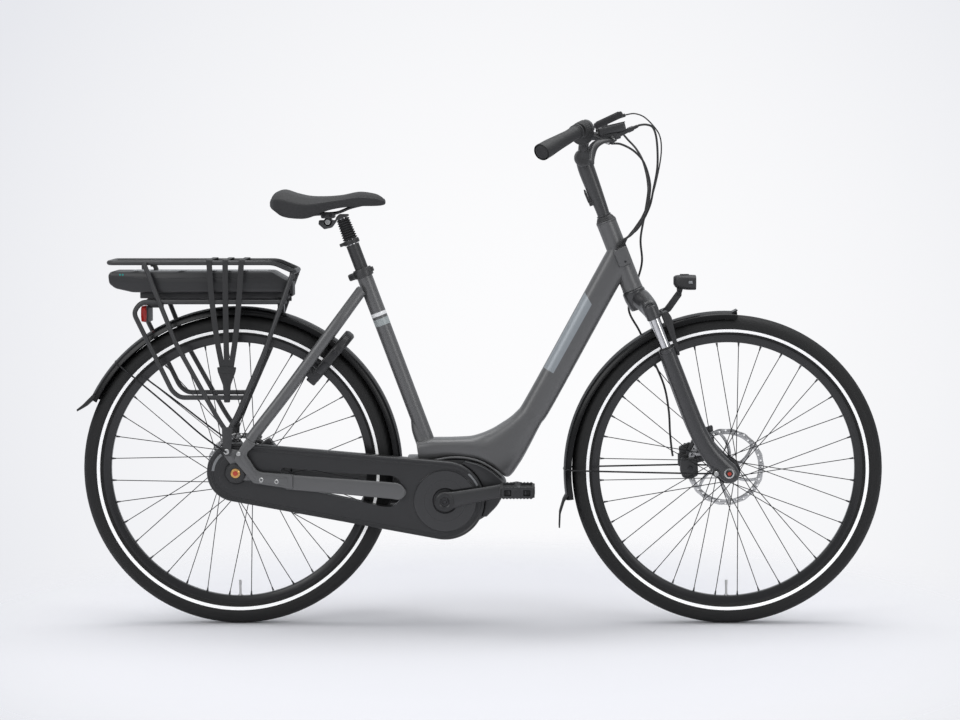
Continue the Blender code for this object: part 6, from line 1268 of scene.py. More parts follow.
def buildFenders():
    centre = (fromFront[0] + np.array([-fender["offset"], 0, -fender["offset"]]), *fromFront[1:])
    blade = fenderShape(centre, fender["front"], 190, 86, 90)
    flap = roundedPlate(fromFront, tenths([(-3640, -560), (-3720, -560), (-3795, -700), (-3880, -1000),
        (-3890, -1330), (-3855, -1330), (-3840, -1000), (-3750, -720)]), 0.001, 3, 0.056, 0.0, 0.001, 2)
    lip = roundedPlate(fromFront, tenths([(60, 3600), (80, 3648), (200, 3710), (215, 3690), (120, 3605)]), 0.001, 3,
        0.048, 0.0, 0.001)
    wire = wireShape(fromFront, fender["front"] + fender["offset"], 179.7,
        [(-0.025, 0.0812, 0.0), (-0.048, 0.0812, 0.0), (-0.1109, 0.0805, 0.0008), (-0.34, 0.04, 0.001)])
    piece("frontFender", "fork_lower", [blade, flap, lip, wire], "fenderBlack spokeBlack rubberBlack",
        ["front_fender"])
    straps = [roundedPlate(fromHead, tenths([(402, -700), (550, -700), (585, -870), (450, -1740), (396, -1740)]),
        0.0025, 4, 0.01, side * 0.062, 0.0014) for side in (-1, 1)]
    arch = blockShape(fromHead, (0.014, 0.132, 0.01), (0.048, 0, -0.0755), 0.003, steps=3)
    footing = blockShape(fromHead, (0.012, 0.024, 0.025), (0.048, 0, -0.0862), steps=3)
    cheeks = [roundedPlate(fromHead, tenths([(440, -790), (440, -710), (560, -640), (930, -405), (1010, -440),
        (1000, -530), (620, -780)]), 0.003, 4, 0.004, y, 0.0008) for y in (-0.0065, 0.0065)]
    bolts = [hexHead(fromHead, 0.096, -0.047, side * 0.0085, 0.0046, 0.0026, side, 1) for side in (-1, 1)]
    strapBolts = [hexHead(fromHead, 0.043, -0.166, side * 0.067, 0.0036, 0.0018, side, 1) for side in (-1, 1)]
    piece("forkBridge", "fork_lower", [*straps, arch, footing, *cheeks, *bolts, *strapBolts], "blackPlastic darkBolt",
        ["fork_bridge"])
    rearBlade = fenderShape(fromRear, fender["rear"], 154, 1, 130)
    rearFlap = roundedPlate(fromRear, tenths([(-3290, 1790), (-3560, 1520), (-3698, 1410), (-3685, 1365),
        (-3530, 1450), (-3240, 1710)]), 0.001, 3, 0.054, 0.0, 0.001, 2)
    bracket = blockShape(fromGround, (0.015, 0.024, 0.0257), (0.1, 0, 0.7303), steps=3)
    rearWire = wireShape(fromRear, fender["rear"], 138.2, [(-0.0197, 0.0817, 0.048), (-0.075, 0.0817, 0.088),
        (-0.15, 0.064, 0.15), (-0.256, 0.039, 0.234)])
    piece("rearFender", "frame", [rearBlade, rearFlap, bracket, rearWire], "fenderBlack spokeBlack rubberBlack",
        ["rear_fender"])


lamp = {"shell": tenths([(-130, 290, 110, 90), (-60, 270, 190, 145), (150, 255, 235, 172), (330, 250, 240, 172),
    (370, 250, 238, 170)]), "bezel": tenths([(366, 238, 170), (380, 232, 164), (380, 212, 146), (352, 206, 140)]),
    "middle": 0.025, "power": 3.2}


def buildLamp():
    rows = smoothRows(lamp["shell"], 6)
    shell = loftShape(put(fromLamp, sideView(rows)), (0, 1, 0), (0, 0, 1), rows[:, 2], rows[:, 3], lamp["power"], 56)
    across, rise = (values[0] for values in superLoop(56, lamp["power"]))
    bezel = np.array([put(fromLamp, np.column_stack([np.full(56, x), across * half, lamp["middle"] + rise * tall]))
        for x, half, tall in lamp["bezel"]])
    glass = loftShape(put(fromLamp, tenths([(340, 0, 250), (362, 0, 250), (371, 0, 250)])), (0, 1, 0), (0, 0, 1),
        [0.0205, 0.0205, 0.019], [0.0139, 0.0139, 0.0124], lamp["power"], 56, 2)
    fins = [blockShape(fromLamp, (0.02, 0.0016, 0.0018), (0.012, y, 0.0432), 0.0006) for y in (-0.009, 0.0, 0.009)]
    lug = roundedPlate(fromLamp, tenths([(-45, -35), (-60, 150), (100, 150), (45, -35)]), 0.002, 4, 0.0084, 0.0,
        0.0008)
    windows = [blockShape(fromLamp, (0.009, 0.0012, 0.0065), (0.025, side * 0.024, 0.0265), 0.0005, 2)
        for side in (-1, 1)]
    piece("headlamp", "lamp", [shell, gridShape(bezel, 1), glass, lug, *fins, *windows],
        "blackPlastic glossPlastic lampGlass", ["headlamp"])


buildFork()
buildFenders()
buildLamp()
print("fork and fenders", len(pieces))


# Carrier, battery, lock and stand
rack = {"rod": 0.0055, "battery": (-0.2888, 0.1215, 0.77, 0.8175, 0.054), "strapHalf": 0.0064, "strapThick": 0.0009,
    "strapTop": 0.8446, "strapSide": 0.0667, "light": (-0.209, 0.0, 0.719), "axleFace": 0.0728}


def ground(points):
    return put(fromGround, np.asarray(points, float))


def rodPath(points, corner, closed=False):
    # straight rods with bent corners
    points = np.array(points, float)
    rounded = []
    count = len(points)
    for index, point in enumerate(points):
        if not closed and index in (0, count - 1):
            rounded.append(point)
            continue
        before, after = points[index - 1], points[(index + 1) % count]
        reach = min(corner, np.linalg.norm(before - point) * 0.45, np.linalg.norm(after - point) * 0.45)
        first = point + unit(before - point) * reach
        last = point + unit(after - point) * reach
        for share in np.linspace(0, 1, 7):
            rounded.append(first * (1 - share) ** 2 + point * 2 * share * (1 - share) + last * share ** 2)
    return tubeShape(ground(rounded), rack["rod"], 20, closed=closed, edge=0.0 if closed else 0.001)


def buildCarrier():
    shapes = []
    for side in (-1, 1):
        y = side * 0.07
        shapes.append(rodPath([(-0.2045, y, 0.838), (-0.133, y, 0.6532), (-0.04, y, 0.483), (-0.0178, y, 0.4495),
            (0.004, y, 0.49), (0.0669, y, 0.632), (0.133, side * 0.065, 0.815)], 0.014))
        y = side * 0.064
        shapes.append(rodPath([(0.118, y, 0.749), (-0.212, y, 0.749), (-0.2303, y, 0.7251), (-0.144, y, 0.545),
            (-0.1259, y, 0.5306), (0.025, y, 0.5306)], 0.016))
        foot = filletLoop(tenths([(-300, 4640), (-60, 4640), (-85, 4200), (-120, 3990), (-270, 3990), (-290, 4200)]),
            0.003)
        shapes.append(plateShape(fromGround, [foot], 0.0046, side * 0.0766, 0.0008))
        for x, y0, z in ((-0.2045, 0.07, 0.83), (0.131, 0.0655, 0.81)):
            shapes.append(blockShape(fromGround, (0.01, 0.01, 0.014), (x, side * (y0 - 0.003), z), 0.003))
    ring = [(-0.09, 0.06, 0.8379), (0.0899, 0.06, 0.8379), (0.1359, 0.06, 0.8179), (0.1359, -0.06, 0.8179),
        (0.0899, -0.06, 0.8379), (-0.2864, -0.06, 0.8379), (-0.2864, 0.06, 0.8379)]
    shapes.append(rodPath(ring, 0.014, closed=True))
    for x in (-0.231, -0.127):
        shapes.append(blockShape(fromGround, (0.014, 0.118, 0.005), (x, 0, 0.8359), 0.002, 1))
    for x in (-0.185, 0.1):
        shapes.append(rodPath([(x, -0.064, 0.749), (x, 0.064, 0.749)], 0.001))
    shapes += [hexHead(fromGround, -0.0197, 0.4078, side * 0.0789, 0.0064, 0.0028, side, 2) for side in (-1, 1)]
    piece("carrier", "frame", shapes, "blackMetal castingPaint boltSteel", ["carrier"])

    rear, front, low, high, half = rack["battery"]
    outline = filletLoop([(rear, high - 0.008), (rear + 0.006, high), (front - 0.038, high), (front, high - 0.022),
        (front, low + 0.006), (front - 0.006, low), (rear + 0.056, low), (rear + 0.016, low + 0.009),
        (rear + 0.002, low + 0.02)], 0.006, 6)
    side = plateShape(fromGround, [outline], 2 * half, 0.0, 0.0045)
    cap = filletLoop([(rear + 0.05, high - 0.001), (front - 0.05, high - 0.001), (front - 0.05, high + 0.0009),
        (rear + 0.05, high + 0.0009)], 0.0008, 2)
    lid = plateShape(fromGround, [cap], 2 * half - 0.022, 0.0, 0.0007, 1)
    line = 0.0012
    seam = [blockShape(fromGround, (front - rear - 0.09, 0.0016, line),
        ((front + rear) / 2 + 0.01, side_ * (half - 0.0004), low + 0.033), 0.0005, 1) for side_ in (-1, 1)]
    light = [latheShape(fromGround, [(0.0004, -half - 0.0006), (0.0018, -half - 0.0006), (0.0022, -half),
        (0.0022, -half + 0.001)], sides=20, material=2, centre=(rear + 0.034 - index * 0.0062, high - 0.007))
        for index in range(2)]
    grip = [blockShape(fromGround, (0.003, 0.056, 0.012), (rear + 0.0022, 0, low + 0.03), 0.0014, 1)]
    keyhole = [latheShape(fromGround, [(0.0004, half + 0.0008), (0.0062, half + 0.0008), (0.007, half),
        (0.007, half - 0.001)], sides=28, material=3, centre=(front - 0.03, low + 0.02))]
    piece("battery", "battery_pack", [side, lid, *seam, *light, *grip, *keyhole],
        "finePlastic glossPlastic tealLamp boltSteel", ["battery"])
    rail = blockShape(fromGround, (0.3396, 0.0596, 0.0165), (-0.05, 0, 0.7632))
    head = blockShape(fromGround, (0.008, 0.0556, 0.0326), (0.1258, 0, 0.776))
    neck = blockShape(fromGround, (0.018, 0.0556, 0.008), (0.12, 0, 0.7632))
    piece("batteryDock", "frame", [rail, head, neck], "blackPlastic", ["battery_dock"])


def buildStraps():
    # three flat bands over the top, each a flat section along its line, drawn together at the hook
    shapes = []
    top, side = rack["strapTop"], rack["strapSide"]
    for x, foot in ((-0.057, -0.027), (-0.02, -0.018), (0.017, -0.009)):
        points = [(x, 0.0655, top - 0.002), (x, 0.06, top), (x, 0.03, top), (x, 0.0, top), (x, -0.03, top),
            (x, -0.061, top), (x, -side + 0.001, top - 0.0034), (x + (foot - x) * 0.03, -side - 0.0004, top - 0.012),
            (x * 0.8 + foot * 0.2, -0.0714, 0.76), (x * 0.45 + foot * 0.55, -0.0718, 0.67), (foot, -0.0722, 0.595)]
        path = smoothRows(np.array(points), 8)
        world = ground(path)
        along, _, _ = directions(world)
        across = unitRows(np.array([1.0, 0, 0]) - along * (along @ np.array([1.0, 0, 0]))[:, None])
        outward = np.cross(along, across)
        shapes.append(loftShape(world, across, outward, rack["strapHalf"], rack["strapThick"], 5.0, 20, edge=0.0006))
    hook = filletLoop(tenths([(-400, 6010), (40, 6010), (20, 5900), (-90, 5600), (-110, 5360), (-250, 5360),
        (-270, 5600), (-380, 5900)]), 0.003)
    shapes.append(plateShape(fromGround, [hook], 0.005, -0.0735, 0.0012))
    shapes.append(roundedPlate(fromGround, [(-0.025, 0.541), (-0.011, 0.541), (-0.011, 0.52), (-0.025, 0.52)], 0.003,
        4, 0.0035, -0.0722, 0.0009))
    for z in (0.596, 0.585):
        shapes.append(blockShape(fromGround, (0.03, 0.0014, 0.0024), (-0.018, -0.0761, z), 0.0006))
    piece("luggageStraps", "frame", shapes, "strapRubber", ["luggage_straps"])


def buildRearLight():
    x, _, z = rack["light"]
    lens = loftShape(ground([(x - 0.009, 0, z), (x - 0.008, 0, z), (x, 0, z), (x + 0.005, 0, z)]), (0, 1, 0),
        (0, 0, 1), [0.033, 0.0372, 0.0379, 0.0376], [0.016, 0.019, 0.0198, 0.0196], 4.0, 56, edge=0.001)
    ribs = [blockShape(fromGround, (0.01, 0.0008, 0.03), (x - 0.002, side * 0.0381, z), 0.0003) for side in (-1, 1)]
    back = blockShape(fromGround, (0.004, 0.074, 0.038), (x + 0.0062, 0, z), 0.0018, 1)
    arm = blockShape(fromGround, (0.034, 0.02, 0.0106), (x + 0.021, 0, z + 0.0187), 0.002, 1)
    piece("rearLight", "frame", [lens, *ribs, back, arm], "redGlass blackPlastic", ["rear_light"])


lock = {"lean": 39.5, "radius": 0.36, "section": tenths([(360, 120), (460, 120), (500, 60), (500, -60), (460, -120),
    (360, -120)]), "caliperLean": 50.0}


def buildLock():
    where = place(0.0, bike["wheelRadius"], lock["lean"])
    section = filletLoop(lock["section"], 0.002)
    # the lock is half a ring: r(turn) fixed, from one arm over the tyre to the other, open below
    spin = np.radians(np.linspace(-90, 90, 49))
    grid = np.stack([lock["radius"] + section[None, :, 0] * np.cos(spin)[:, None],
        section[None, :, 0] * np.sin(spin)[:, None], section[None, :, 1] + np.zeros((len(spin), 1))], axis=-1)
    ring = gridShape(put(where, grid))
    shapes = [ring]
    for side in (-1, 1):
        shapes.append(blockShape(where, (0.096, 0.0135, 0.0236), (0.313, side * 0.0427, 0), 0.004, steps=3))
        shapes.append(blockShape(where, (0.016, 0.008, 0.03), (0.28, side * 0.046, 0.022)))
        shapes.append(blockShape(where, (0.03, 0.0016, 0.016), (0.31, side * 0.05, 0), 0.0007, 1))
        shapes.append(hexHead(where, 0.354, 0.0, side * 0.0494, 0.0052, 0.002, side, 2))
    piece("ringLock", "frame", shapes, "finePlastic glossPlastic darkBolt", ["ring_lock"])

    where = place(0.0, bike["wheelRadius"], lock["caliperLean"])
    outline = filletLoop(tenths([(620, 120), (900, 120), (940, -190), (620, -190)]), 0.007, 5)
    halves = [plateShape(where, [outline], 0.0118, y, 0.002) for y in (0.0411, 0.0611)]
    over = blockShape(where, (0.008, 0.029, 0.028), (0.089, 0.052, -0.0035), 0.003)
    foot = blockShape(where, (0.034, 0.012, 0.026), (0.05, 0.06, -0.012))
    bolts = [hexHead(where, 0.068, z, 0.067, 0.0038, 0.0012, 1, 1) for z in (-0.012, 0.012)]
    piece("rearCaliper", "frame", [*halves, over, foot, *bolts], "blackMetal darkBolt", ["rear_caliper"])


stand = {"pivot": (0.379, 0.048, 0.27), "leg": tenths([(0, 60, -20), (-300, 80, -60), (-1400, 130, -150),
    (-2380, 180, -180)]), "axis": (-0.14, 0.98, 0.13), "radius": 0.0074, "hubRadius": 0.0109}


def buildStand():
    pivot = np.array(stand["pivot"])
    axis = unit(np.array(stand["axis"]))
    tube = tubeShape(ground(pivot + smoothRows(stand["leg"], 12)), stand["radius"], 28, edge=0.002)
    hub = tubeShape(ground(pivot + np.linspace(-0.0077, 0.011, 6)[:, None] * axis), stand["hubRadius"], 36,
        edge=0.0012)
    cap = tubeShape(ground(pivot + np.linspace(0.01, 0.0122, 4)[:, None] * axis), 0.0058, 6, 1, edge=0.0004)
    shoe = blockShape(fromGround, (0.03, 0.018, 0.013), pivot + (-0.244, 0.018, -0.018), 0.004, 2, steps=4)
    piece("kickstand", "stand", [tube, hub, cap, shoe], "blackMetal boltSteel rubberBlack", ["kickstand_leg"])


def buildCollar():
    ring = turnedShape(fromSeat, tenths([(160, 100), (205, 100), (214, 88), (222, 20), (222, -86), (214, -100),
        (198, -100), (198, -2), (160, -2)]), 0.0008, 3, sides=72, axis="up")
    lug = blockShape(fromSeat, (0.017, 0.017, 0.016), (-0.027, 0, -0.001), 0.003, steps=3)
    front = blockShape(fromSeat, (0.006, 0.013, 0.011), (0.0228, 0, 0.001), 0.0016)
    bolt = rodShape(fromSeat, (-0.029, -0.012, -0.001), (-0.029, 0.012, -0.001), 0.0038, 24, 1, 0.0008)
    heads = [hexHead(fromSeat, -0.029, -0.001, side * 0.011, 0.0044, 0.0022, side, 1) for side in (-1, 1)]
    piece("seatCollar", "frame", [ring, lug, front, bolt, *heads], "collarMetal darkBolt", ["seat_collar"])


def buildRearAxle():
    face = rack["axleFace"]
    shapes = [rodShape(fromRear, (0, -face, 0), (0, face, 0), 0.006, 28, 0, 0.001)]
    for side in (-1, 1):
        out = [(0.006, 0.0), (0.0105, 0.0), (0.0105, 0.006), (0.0085, 0.0074), (0.0005, 0.0075)]
        brass = 3 if side < 0 else 0
        shapes.append(latheShape(fromRear, [(r, side * (face + along)) for r, along in out], sides=40,
            material=brass))
        shapes.append(latheShape(fromRear, [(0.0005, side * (face + 0.0074)), (0.0058, side * (face + 0.0074)),
            (0.0052, side * (face + 0.009)), (0.0005, side * (face + 0.0094))], sides=36, material=1))
    # plastic cap round the nut, open in the middle
    cap = filletLoop([(0.0108, -face + 0.0004), (0.0235, -face + 0.0004), (0.0235, -face - 0.001),
        (0.019, -face - 0.0042), (0.0112, -face - 0.0046)], 0.0008, 3)
    shapes.append(latheShape(fromRear, cap, sides=72, material=2, closed=True))
    shapes.append(turnedShape(fromRear, [(0.0088, -face - 0.004), (0.0108, -face - 0.004), (0.0108, -face - 0.0058),
        (0.0088, -face - 0.0066)], 0.0004, 2, sides=56, material=3))
    piece("rearAxle", "frame", shapes, "boltSteel redCap blackPlastic brassRing", ["rear_axle"])


buildCarrier()
buildStraps()
buildRearLight()
buildLock()
buildStand()
buildCollar()
buildRearAxle()
print("carrier and battery", len(pieces))


# Cockpit
bar = {"radius": 0.0111, "inner": (0.003, 0.128, 0.0675), "outer": (-0.013, 0.188, 0.0612),
    "bend": tenths([(0, 200, 50), (0, 250, 190), (20, 360, 350), (60, 640, 520), (60, 1000, 635)]),
    "end": tenths([(-340, 2180, 486), (-660, 2540, 310), (-940, 2900, 145)]), "grip": 0.0165, "gripWide": 0.0205,
    "leverPivot": (0.064, 0.1375, 0.0388), "tipRight": (0.12, 0.13, 0.0718), "tipLeft": (0.088, 0.13, 0.056)}


def mirrored(points, side):
    points = np.atleast_2d(np.asarray(points, float)).copy()
    points[:, 1] *= side
    return points


def barLine(side, reach=0.0):
    # smooth through the bend, straight where the shifter turns, smooth through the sweep
    inner = smoothRows(np.array([*bar["bend"], bar["inner"]]), 8)
    last = np.array(bar["end"][-1]) + np.array([-0.66, 0.66, -0.34]) * reach
    outer = smoothRows(np.array([bar["outer"], *bar["end"][:-1], last]), 10)
    return mirrored(np.vstack([inner, outer]), side)


stem = {"body": tenths([(1818, 0, 150, 144), (1950, 8, 150, 146), (2250, 11, 155, 161), (2600, 10, 170, 182),
    (2950, 17, 195, 192), (3200, 35, 203, 185)]), "power": 2.3, "pivotAhead": -0.0185, "pivotUp": 0.218,
    "lever": tenths([(-172, 2160), (-182, 2530), (-215, 2550), (-235, 2450), (-230, 2230), (-192, 2155)]),
    "leverWidth": 0.014}


def buildStem():
    rows = smoothRows(stem["body"], 10)
    body = loftShape(put(fromHead, sideView(rows, 0.0, 1, 0)), (0, 1, 0), aim(fromHead, (1.0, 0, 0)), rows[:, 2],
        rows[:, 3], stem["power"], 64, edge=0.0015)
    drum = turnedShape(fromHead, tenths([(129, -164), (206, -164), (206, 164), (129, 164)]), 0.001, 3, sides=80,
        centre=(bike["barAhead"], bike["barUp"]))
    quill = rodShape(fromHead, (0, 0, 0.065), (0, 0, 0.186), 0.011, 40, 0, 0.001)
    cheeks = [blockShape(fromHead, (0.012, 0.003, 0.009), (-0.016, side * 0.0088, stem["pivotUp"]), 0.001)
        for side in (-1, 1)]
    ahead, up = stem["pivotAhead"], stem["pivotUp"]
    pin = rodShape(fromHead, (ahead, -0.0112, up), (ahead, 0.0112, up), 0.002, 20, 1, 0.0005)
    seat = blockShape(fromHead, (0.005, 0.013, 0.034), (-0.015, 0, 0.234), 0.0015)
    foot = sleeveShape(fromHead, 0.0168, 0.1818, 0.1846, 0, 56, 0.0008, 0.0115)
    piece("stem", "stem_body", [body, drum, quill, seat, *cheeks, pin, foot], "stemPaint darkBolt", ["stem"])
    blade = roundedPlate(fromHead, stem["lever"], 0.0014, 4, stem["leverWidth"], 0.0, 0.0012)
    hinge = rodShape(fromHead, (ahead, -0.0068, up), (ahead, 0.0068, up), 0.0026, 20, 0, 0.0005)
    piece("stemLever", "stem_clamp_lever", [blade, hinge], "blackPlastic", ["stem_lever"])


def buildBar():
    path = np.vstack([barLine(-1)[::-1], barLine(1)])
    radius = np.full(len(path), bar["radius"])
    # the bar rises inside two closed caps that turn with it
    caps = [turnedShape(fromBar, tenths([(5, 340), (150, 350), (196, 340), (206, 318), (206, 170),
        (5, 170)]) * (1, side), [0.0, 0.002, 0.001, 0.001, 0.001, 0.0], 3, sides=80, material=1, closed=False)
        for side in (-1, 1)]
    hub = rodShape(fromBar, (0, -0.018, 0), (0, 0.018, 0), 0.0126, 40)
    piece("handlebar", "bar", [tubeShape(put(fromBar, path[path[:, 1] < 0]), radius[path[:, 1] < 0], 36, edge=0.001),
        tubeShape(put(fromBar, path[path[:, 1] > 0]), radius[path[:, 1] > 0], 36, edge=0.001), hub, *caps],
        "blackMetal stemPaint", ["handlebar"])
    for side, name, start in ((-1, "gripRight", 0.19), (1, "gripLeft", 0.1885)):
        line = barLine(side, 0.004)
        line = line[np.abs(line[:, 1]) >= start]
        line = smoothRows(line[::3] if len(line) % 3 == 1 else np.vstack([line[:-1:3], line[-1:]]), 6)
        share = np.linspace(0, 1, len(line))[:, None]
        world = put(fromBar, line)
        along, _, _ = directions(world)
        lift = np.array([0.25, 0.0, 0.97])
        up = unitRows(lift - along * (along @ lift)[:, None])
        across = np.cross(along, up)
        # a waist beside the shifter, then swelling to a full palm rest, closed by a round end
        swell = np.interp(share[:, 0], [0, 0.1, 0.3, 0.55, 0.8, 1.0], [0.0, -0.2, -0.3, 0.25, 0.9, 1.0])
        width = bar["grip"] - 0.0008 + (bar["gripWide"] - bar["grip"]) * swell
        height = bar["grip"] - 0.001 + (bar["gripWide"] - 0.001 - bar["grip"]) * swell
        shell = loftShape(world, across, up, width, height, 2.1, 64, edge=0.009)
        cuff = latheRing(line[0], line[3], 0.0172, 0.004)
        piece(name, "bar", [shell, cuff], "gripRubber blackPlastic", ["grip_right" if side < 0 else "grip_left"])


def latheRing(start, toward, outer, length):
    # a short ring round the bar's line
    start, toward = np.asarray(start, float), np.asarray(toward, float)
    way = unit(toward - start)
    steps = np.array([0.0, 0.0006, length - 0.0006, length])
    return tubeShape(put(fromBar, start + steps[:, None] * way), [outer - 0.0008, outer, outer, outer - 0.0008], 48,
        1)


# the sleeve's rows: way along the bar's line, radius, and 1 where it is ribbed
shifter = {"rows": [(0.0125, 0.0182, 0), (0.0132, 0.019, 0), (0.015, 0.019, 0), (0.018, 0.0189, 0), (0.02, 0.0176, 0),
    (0.0225, 0.0176, 0), (0.025, 0.018, 1), (0.03, 0.0179, 1), (0.036, 0.0178, 1), (0.042, 0.0177, 1),
    (0.048, 0.0176, 1), (0.053, 0.0174, 1), (0.055, 0.017, 0), (0.0566, 0.0166, 0)], "endRadius": 0.016, "ribs": 12,
    "ribHeight": 0.0008}


def buildShifter():
    inner, outer = mirrored([bar["inner"], bar["outer"]], -1)
    way = unit(outer - inner)
    length = float(np.linalg.norm(outer - inner))
    # radius = r + rib height x |sin(ribs x turn)|^0.7 on the gripping part, smooth collars at both ends
    steps, radius, ribbed = np.vstack([shifter["rows"], (length - 0.001, shifter["endRadius"], 0)]).T
    across = unit(np.cross(way, np.array([0, 0, 1.0])))
    other = np.cross(way, across)
    turn = fullTurn(192)
    relief = shifter["ribHeight"] * np.abs(np.sin(turn * shifter["ribs"])) ** 0.7
    reach = radius[:, None] + relief[None, :] * ribbed[:, None]
    circle = np.cos(turn)[:, None] * across + np.sin(turn)[:, None] * other
    grid = (inner + steps[:, None] * way)[:, None] + reach[:, :, None] * circle
    sleeve = gridShape(put(fromBar, grid))
    mark = blockShape((put(fromBar, [inner + way * 0.0165])[0], *fromGround[1:]), (0.003, 0.004, 0.0012),
        (0.0, 0.0, 0.0188), 0.0004, 1)
    piece("twistShifter", "shifter", [sleeve, mark], "rubberBlack stripeWhite", ["twist_shifter"])


def coneShape(start, end, radius, endRadius, material=0, sides=40, edge=0.0008):
    # a round bar whose radius goes evenly from one value to the other
    points = np.array(start, float) + np.linspace(0, 1, 5)[:, None] * (np.array(end, float) - np.array(start, float))
    return tubeShape(put(fromBar, points), np.linspace(radius, endRadius, 5), sides, material, edge=edge)


def buildBrake(side):
    line = barLine(side)
    here = line[(np.abs(line[:, 1]) > 0.104) & (np.abs(line[:, 1]) <= 0.129)]
    here = here[[0, len(here) // 2, -1]]
    stretch = here[2] - here[0]
    here = np.array([here[2] - unit(stretch) * step for step in (0.023, 0.0224, 0.0115, 0.0006, 0.0)])
    shapes = [tubeShape(put(fromBar, here), [0.0158, 0.0168, 0.017, 0.0168, 0.0158], 56)]
    body = mirrored(tenths([(120, 1180, 491), (820, 1260, 511)]), side)
    path = body[0] + np.array([0, 0.08, 0.12, 0.5, 0.86, 0.9, 1.0])[:, None] * (body[1] - body[0])
    shapes.append(tubeShape(put(fromBar, path), [0.0092, 0.0098, 0.0094, 0.0096, 0.0098, 0.0088, 0.007], 48,
        edge=0.0012))
    tip = mirrored([bar["tipRight"] if side < 0 else bar["tipLeft"]], side)[0]
    neck = mirrored([(0.074, 0.1255, 0.0511)], side)[0]
    shapes.append(coneShape(neck, tip, 0.0062, 0.0036, 1))
    shapes.append(coneShape(neck + (tip - neck) * 0.52, neck + (tip - neck) * 0.78, 0.006, 0.0056, 1, 6))
    pivot = mirrored([bar["leverPivot"]], side)[0]
    core = mirrored([(0.064, 0.1239, 0.0498)], side)[0]
    way = unit(pivot - core)
    shapes.append(coneShape(core, pivot - way * 0.003, 0.008, 0.007))
    axis = unit(mirrored([(0.567, 0.55, 0.616)], side)[0])
    for hand in (-1, 1):
        ear = pivot + axis * hand * 0.0048
        shapes.append(coneShape(ear, ear + axis * hand * 0.0022, 0.0062, 0.0062, 0, 32, 0.0006))
        shapes.append(coneShape(ear + axis * hand * 0.0018, ear + axis * hand * 0.0028, 0.003, 0.0028, 2, 24, 0.0003))
    # the fluid chamber lies on the cylinder and rises a little towards the front
    lid = body[0] + (body[1] - body[0]) * 0.72 + np.array([0, 0, 0.014])
    chamber = (put(fromBar, [lid])[0], *fromGround[1:])
    shapes.append(blockShape(chamber, (0.062, 0.023, 0.02), (0, 0, 0), 0.005, 0, -13.0, 4))
    shapes.append(blockShape(chamber, (0.054, 0.019, 0.0026), (0.0026, 0, 0.0106), 0.0012, 1, -13.0))
    if side < 0:
        # housing of the shifter under the bar, and the ring that its sleeve turns against
        shapes.append(coneShape((0.006, -0.13, 0.0548), (0.06, -0.119, 0.0345), 0.0105, 0.0044))
        drum = np.array([-0.004, -0.131, 0.0555])
        sideways = unit(np.array([-0.26, -0.96, -0.1]))
        steps = np.array([-0.014, -0.013, -0.006, -0.0052, -0.004, 0.004, 0.007, 0.008])
        shapes.append(tubeShape(put(fromBar, drum + steps[:, None] * sideways),
            [0.0215, 0.0235, 0.0242, 0.0232, 0.0262, 0.0264, 0.0254, 0.0225], 64, 1, edge=0.001))
        inner, outer = mirrored([bar["inner"], bar["outer"]], -1)
        way = unit(outer - inner)
        steps = np.array([-0.002, -0.001, 0.006, 0.011, 0.012])
        shapes.append(tubeShape(put(fromBar, inner + steps[:, None] * way), [0.018, 0.019, 0.019, 0.0188, 0.018], 56))
        shapes.append(coneShape((0.048, -0.1214, 0.039), (0.056, -0.1198, 0.036), 0.0062, 0.0062, 2, 20, 0.0005))
    else:
        # small remote with three keys, inside the left clamp
        centre = np.array([0.015, 0.102, 0.068])
        where = (put(fromBar, [centre])[0], *fromGround[1:])
        shapes.append(blockShape(where, (0.026, 0.03, 0.012), (0, 0, 0), 0.004, 1, steps=4))
        shapes += [latheShape(where, tenths([(4, 74), (34, 74), (40, 58)]), y, 28, 3, axis="up")
            for y in (-0.009, 0.0, 0.009)]
    name = "Right" if side < 0 else "Left"
    piece("brakeBody" + name, "bar", shapes, "blackMetal blackPlastic boltSteel rubberBlack",
        ["brake_body_" + name.lower()])

    points = mirrored([bar["leverPivot"], (0.052, 0.143, 0.0395), (0.035, 0.152, 0.035), (0.0235, 0.166, 0.025),
        (0.0175, 0.186, 0.008), (0.015, 0.208, -0.011)], side)
    rows = smoothRows(np.column_stack([points, (0.0045, 0.0062, 0.0068, 0.0072, 0.0075, 0.0062),
        (0.0034, 0.004, 0.0042, 0.0042, 0.004, 0.004)]), 8)
    world = put(fromBar, rows[:, :3])
    along = unitRows(np.gradient(world, axis=0))
    upward = unitRows(np.cross(along, np.array([0.66, 0, 0.75])))
    across = np.cross(upward, along)
    width, thick = rows[:, 3].copy(), rows[:, 4]
    width[-4:] += (0.0002, 0.0008, 0.0012, 0.001)
    blade = loftShape(world, across, upward, thick, width, 2.6, 40, edge=0.0022)
    knuckle = tubeShape(put(fromBar, pivot + np.linspace(-0.0044, 0.0044, 5)[:, None] * axis), 0.0052, 36,
        edge=0.0006)
    piece("brakeLever" + name, "lever_" + name.lower(), [blade, knuckle], "blackMetal",
        ["brake_lever_" + name.lower()])


screen = {"tilt": -25.0, "place": (0.0575, -0.004, 0.0857), "case": (0.07, 0.074, 0.015),
    "glass": (0.056, 0.061, 0.0018)}


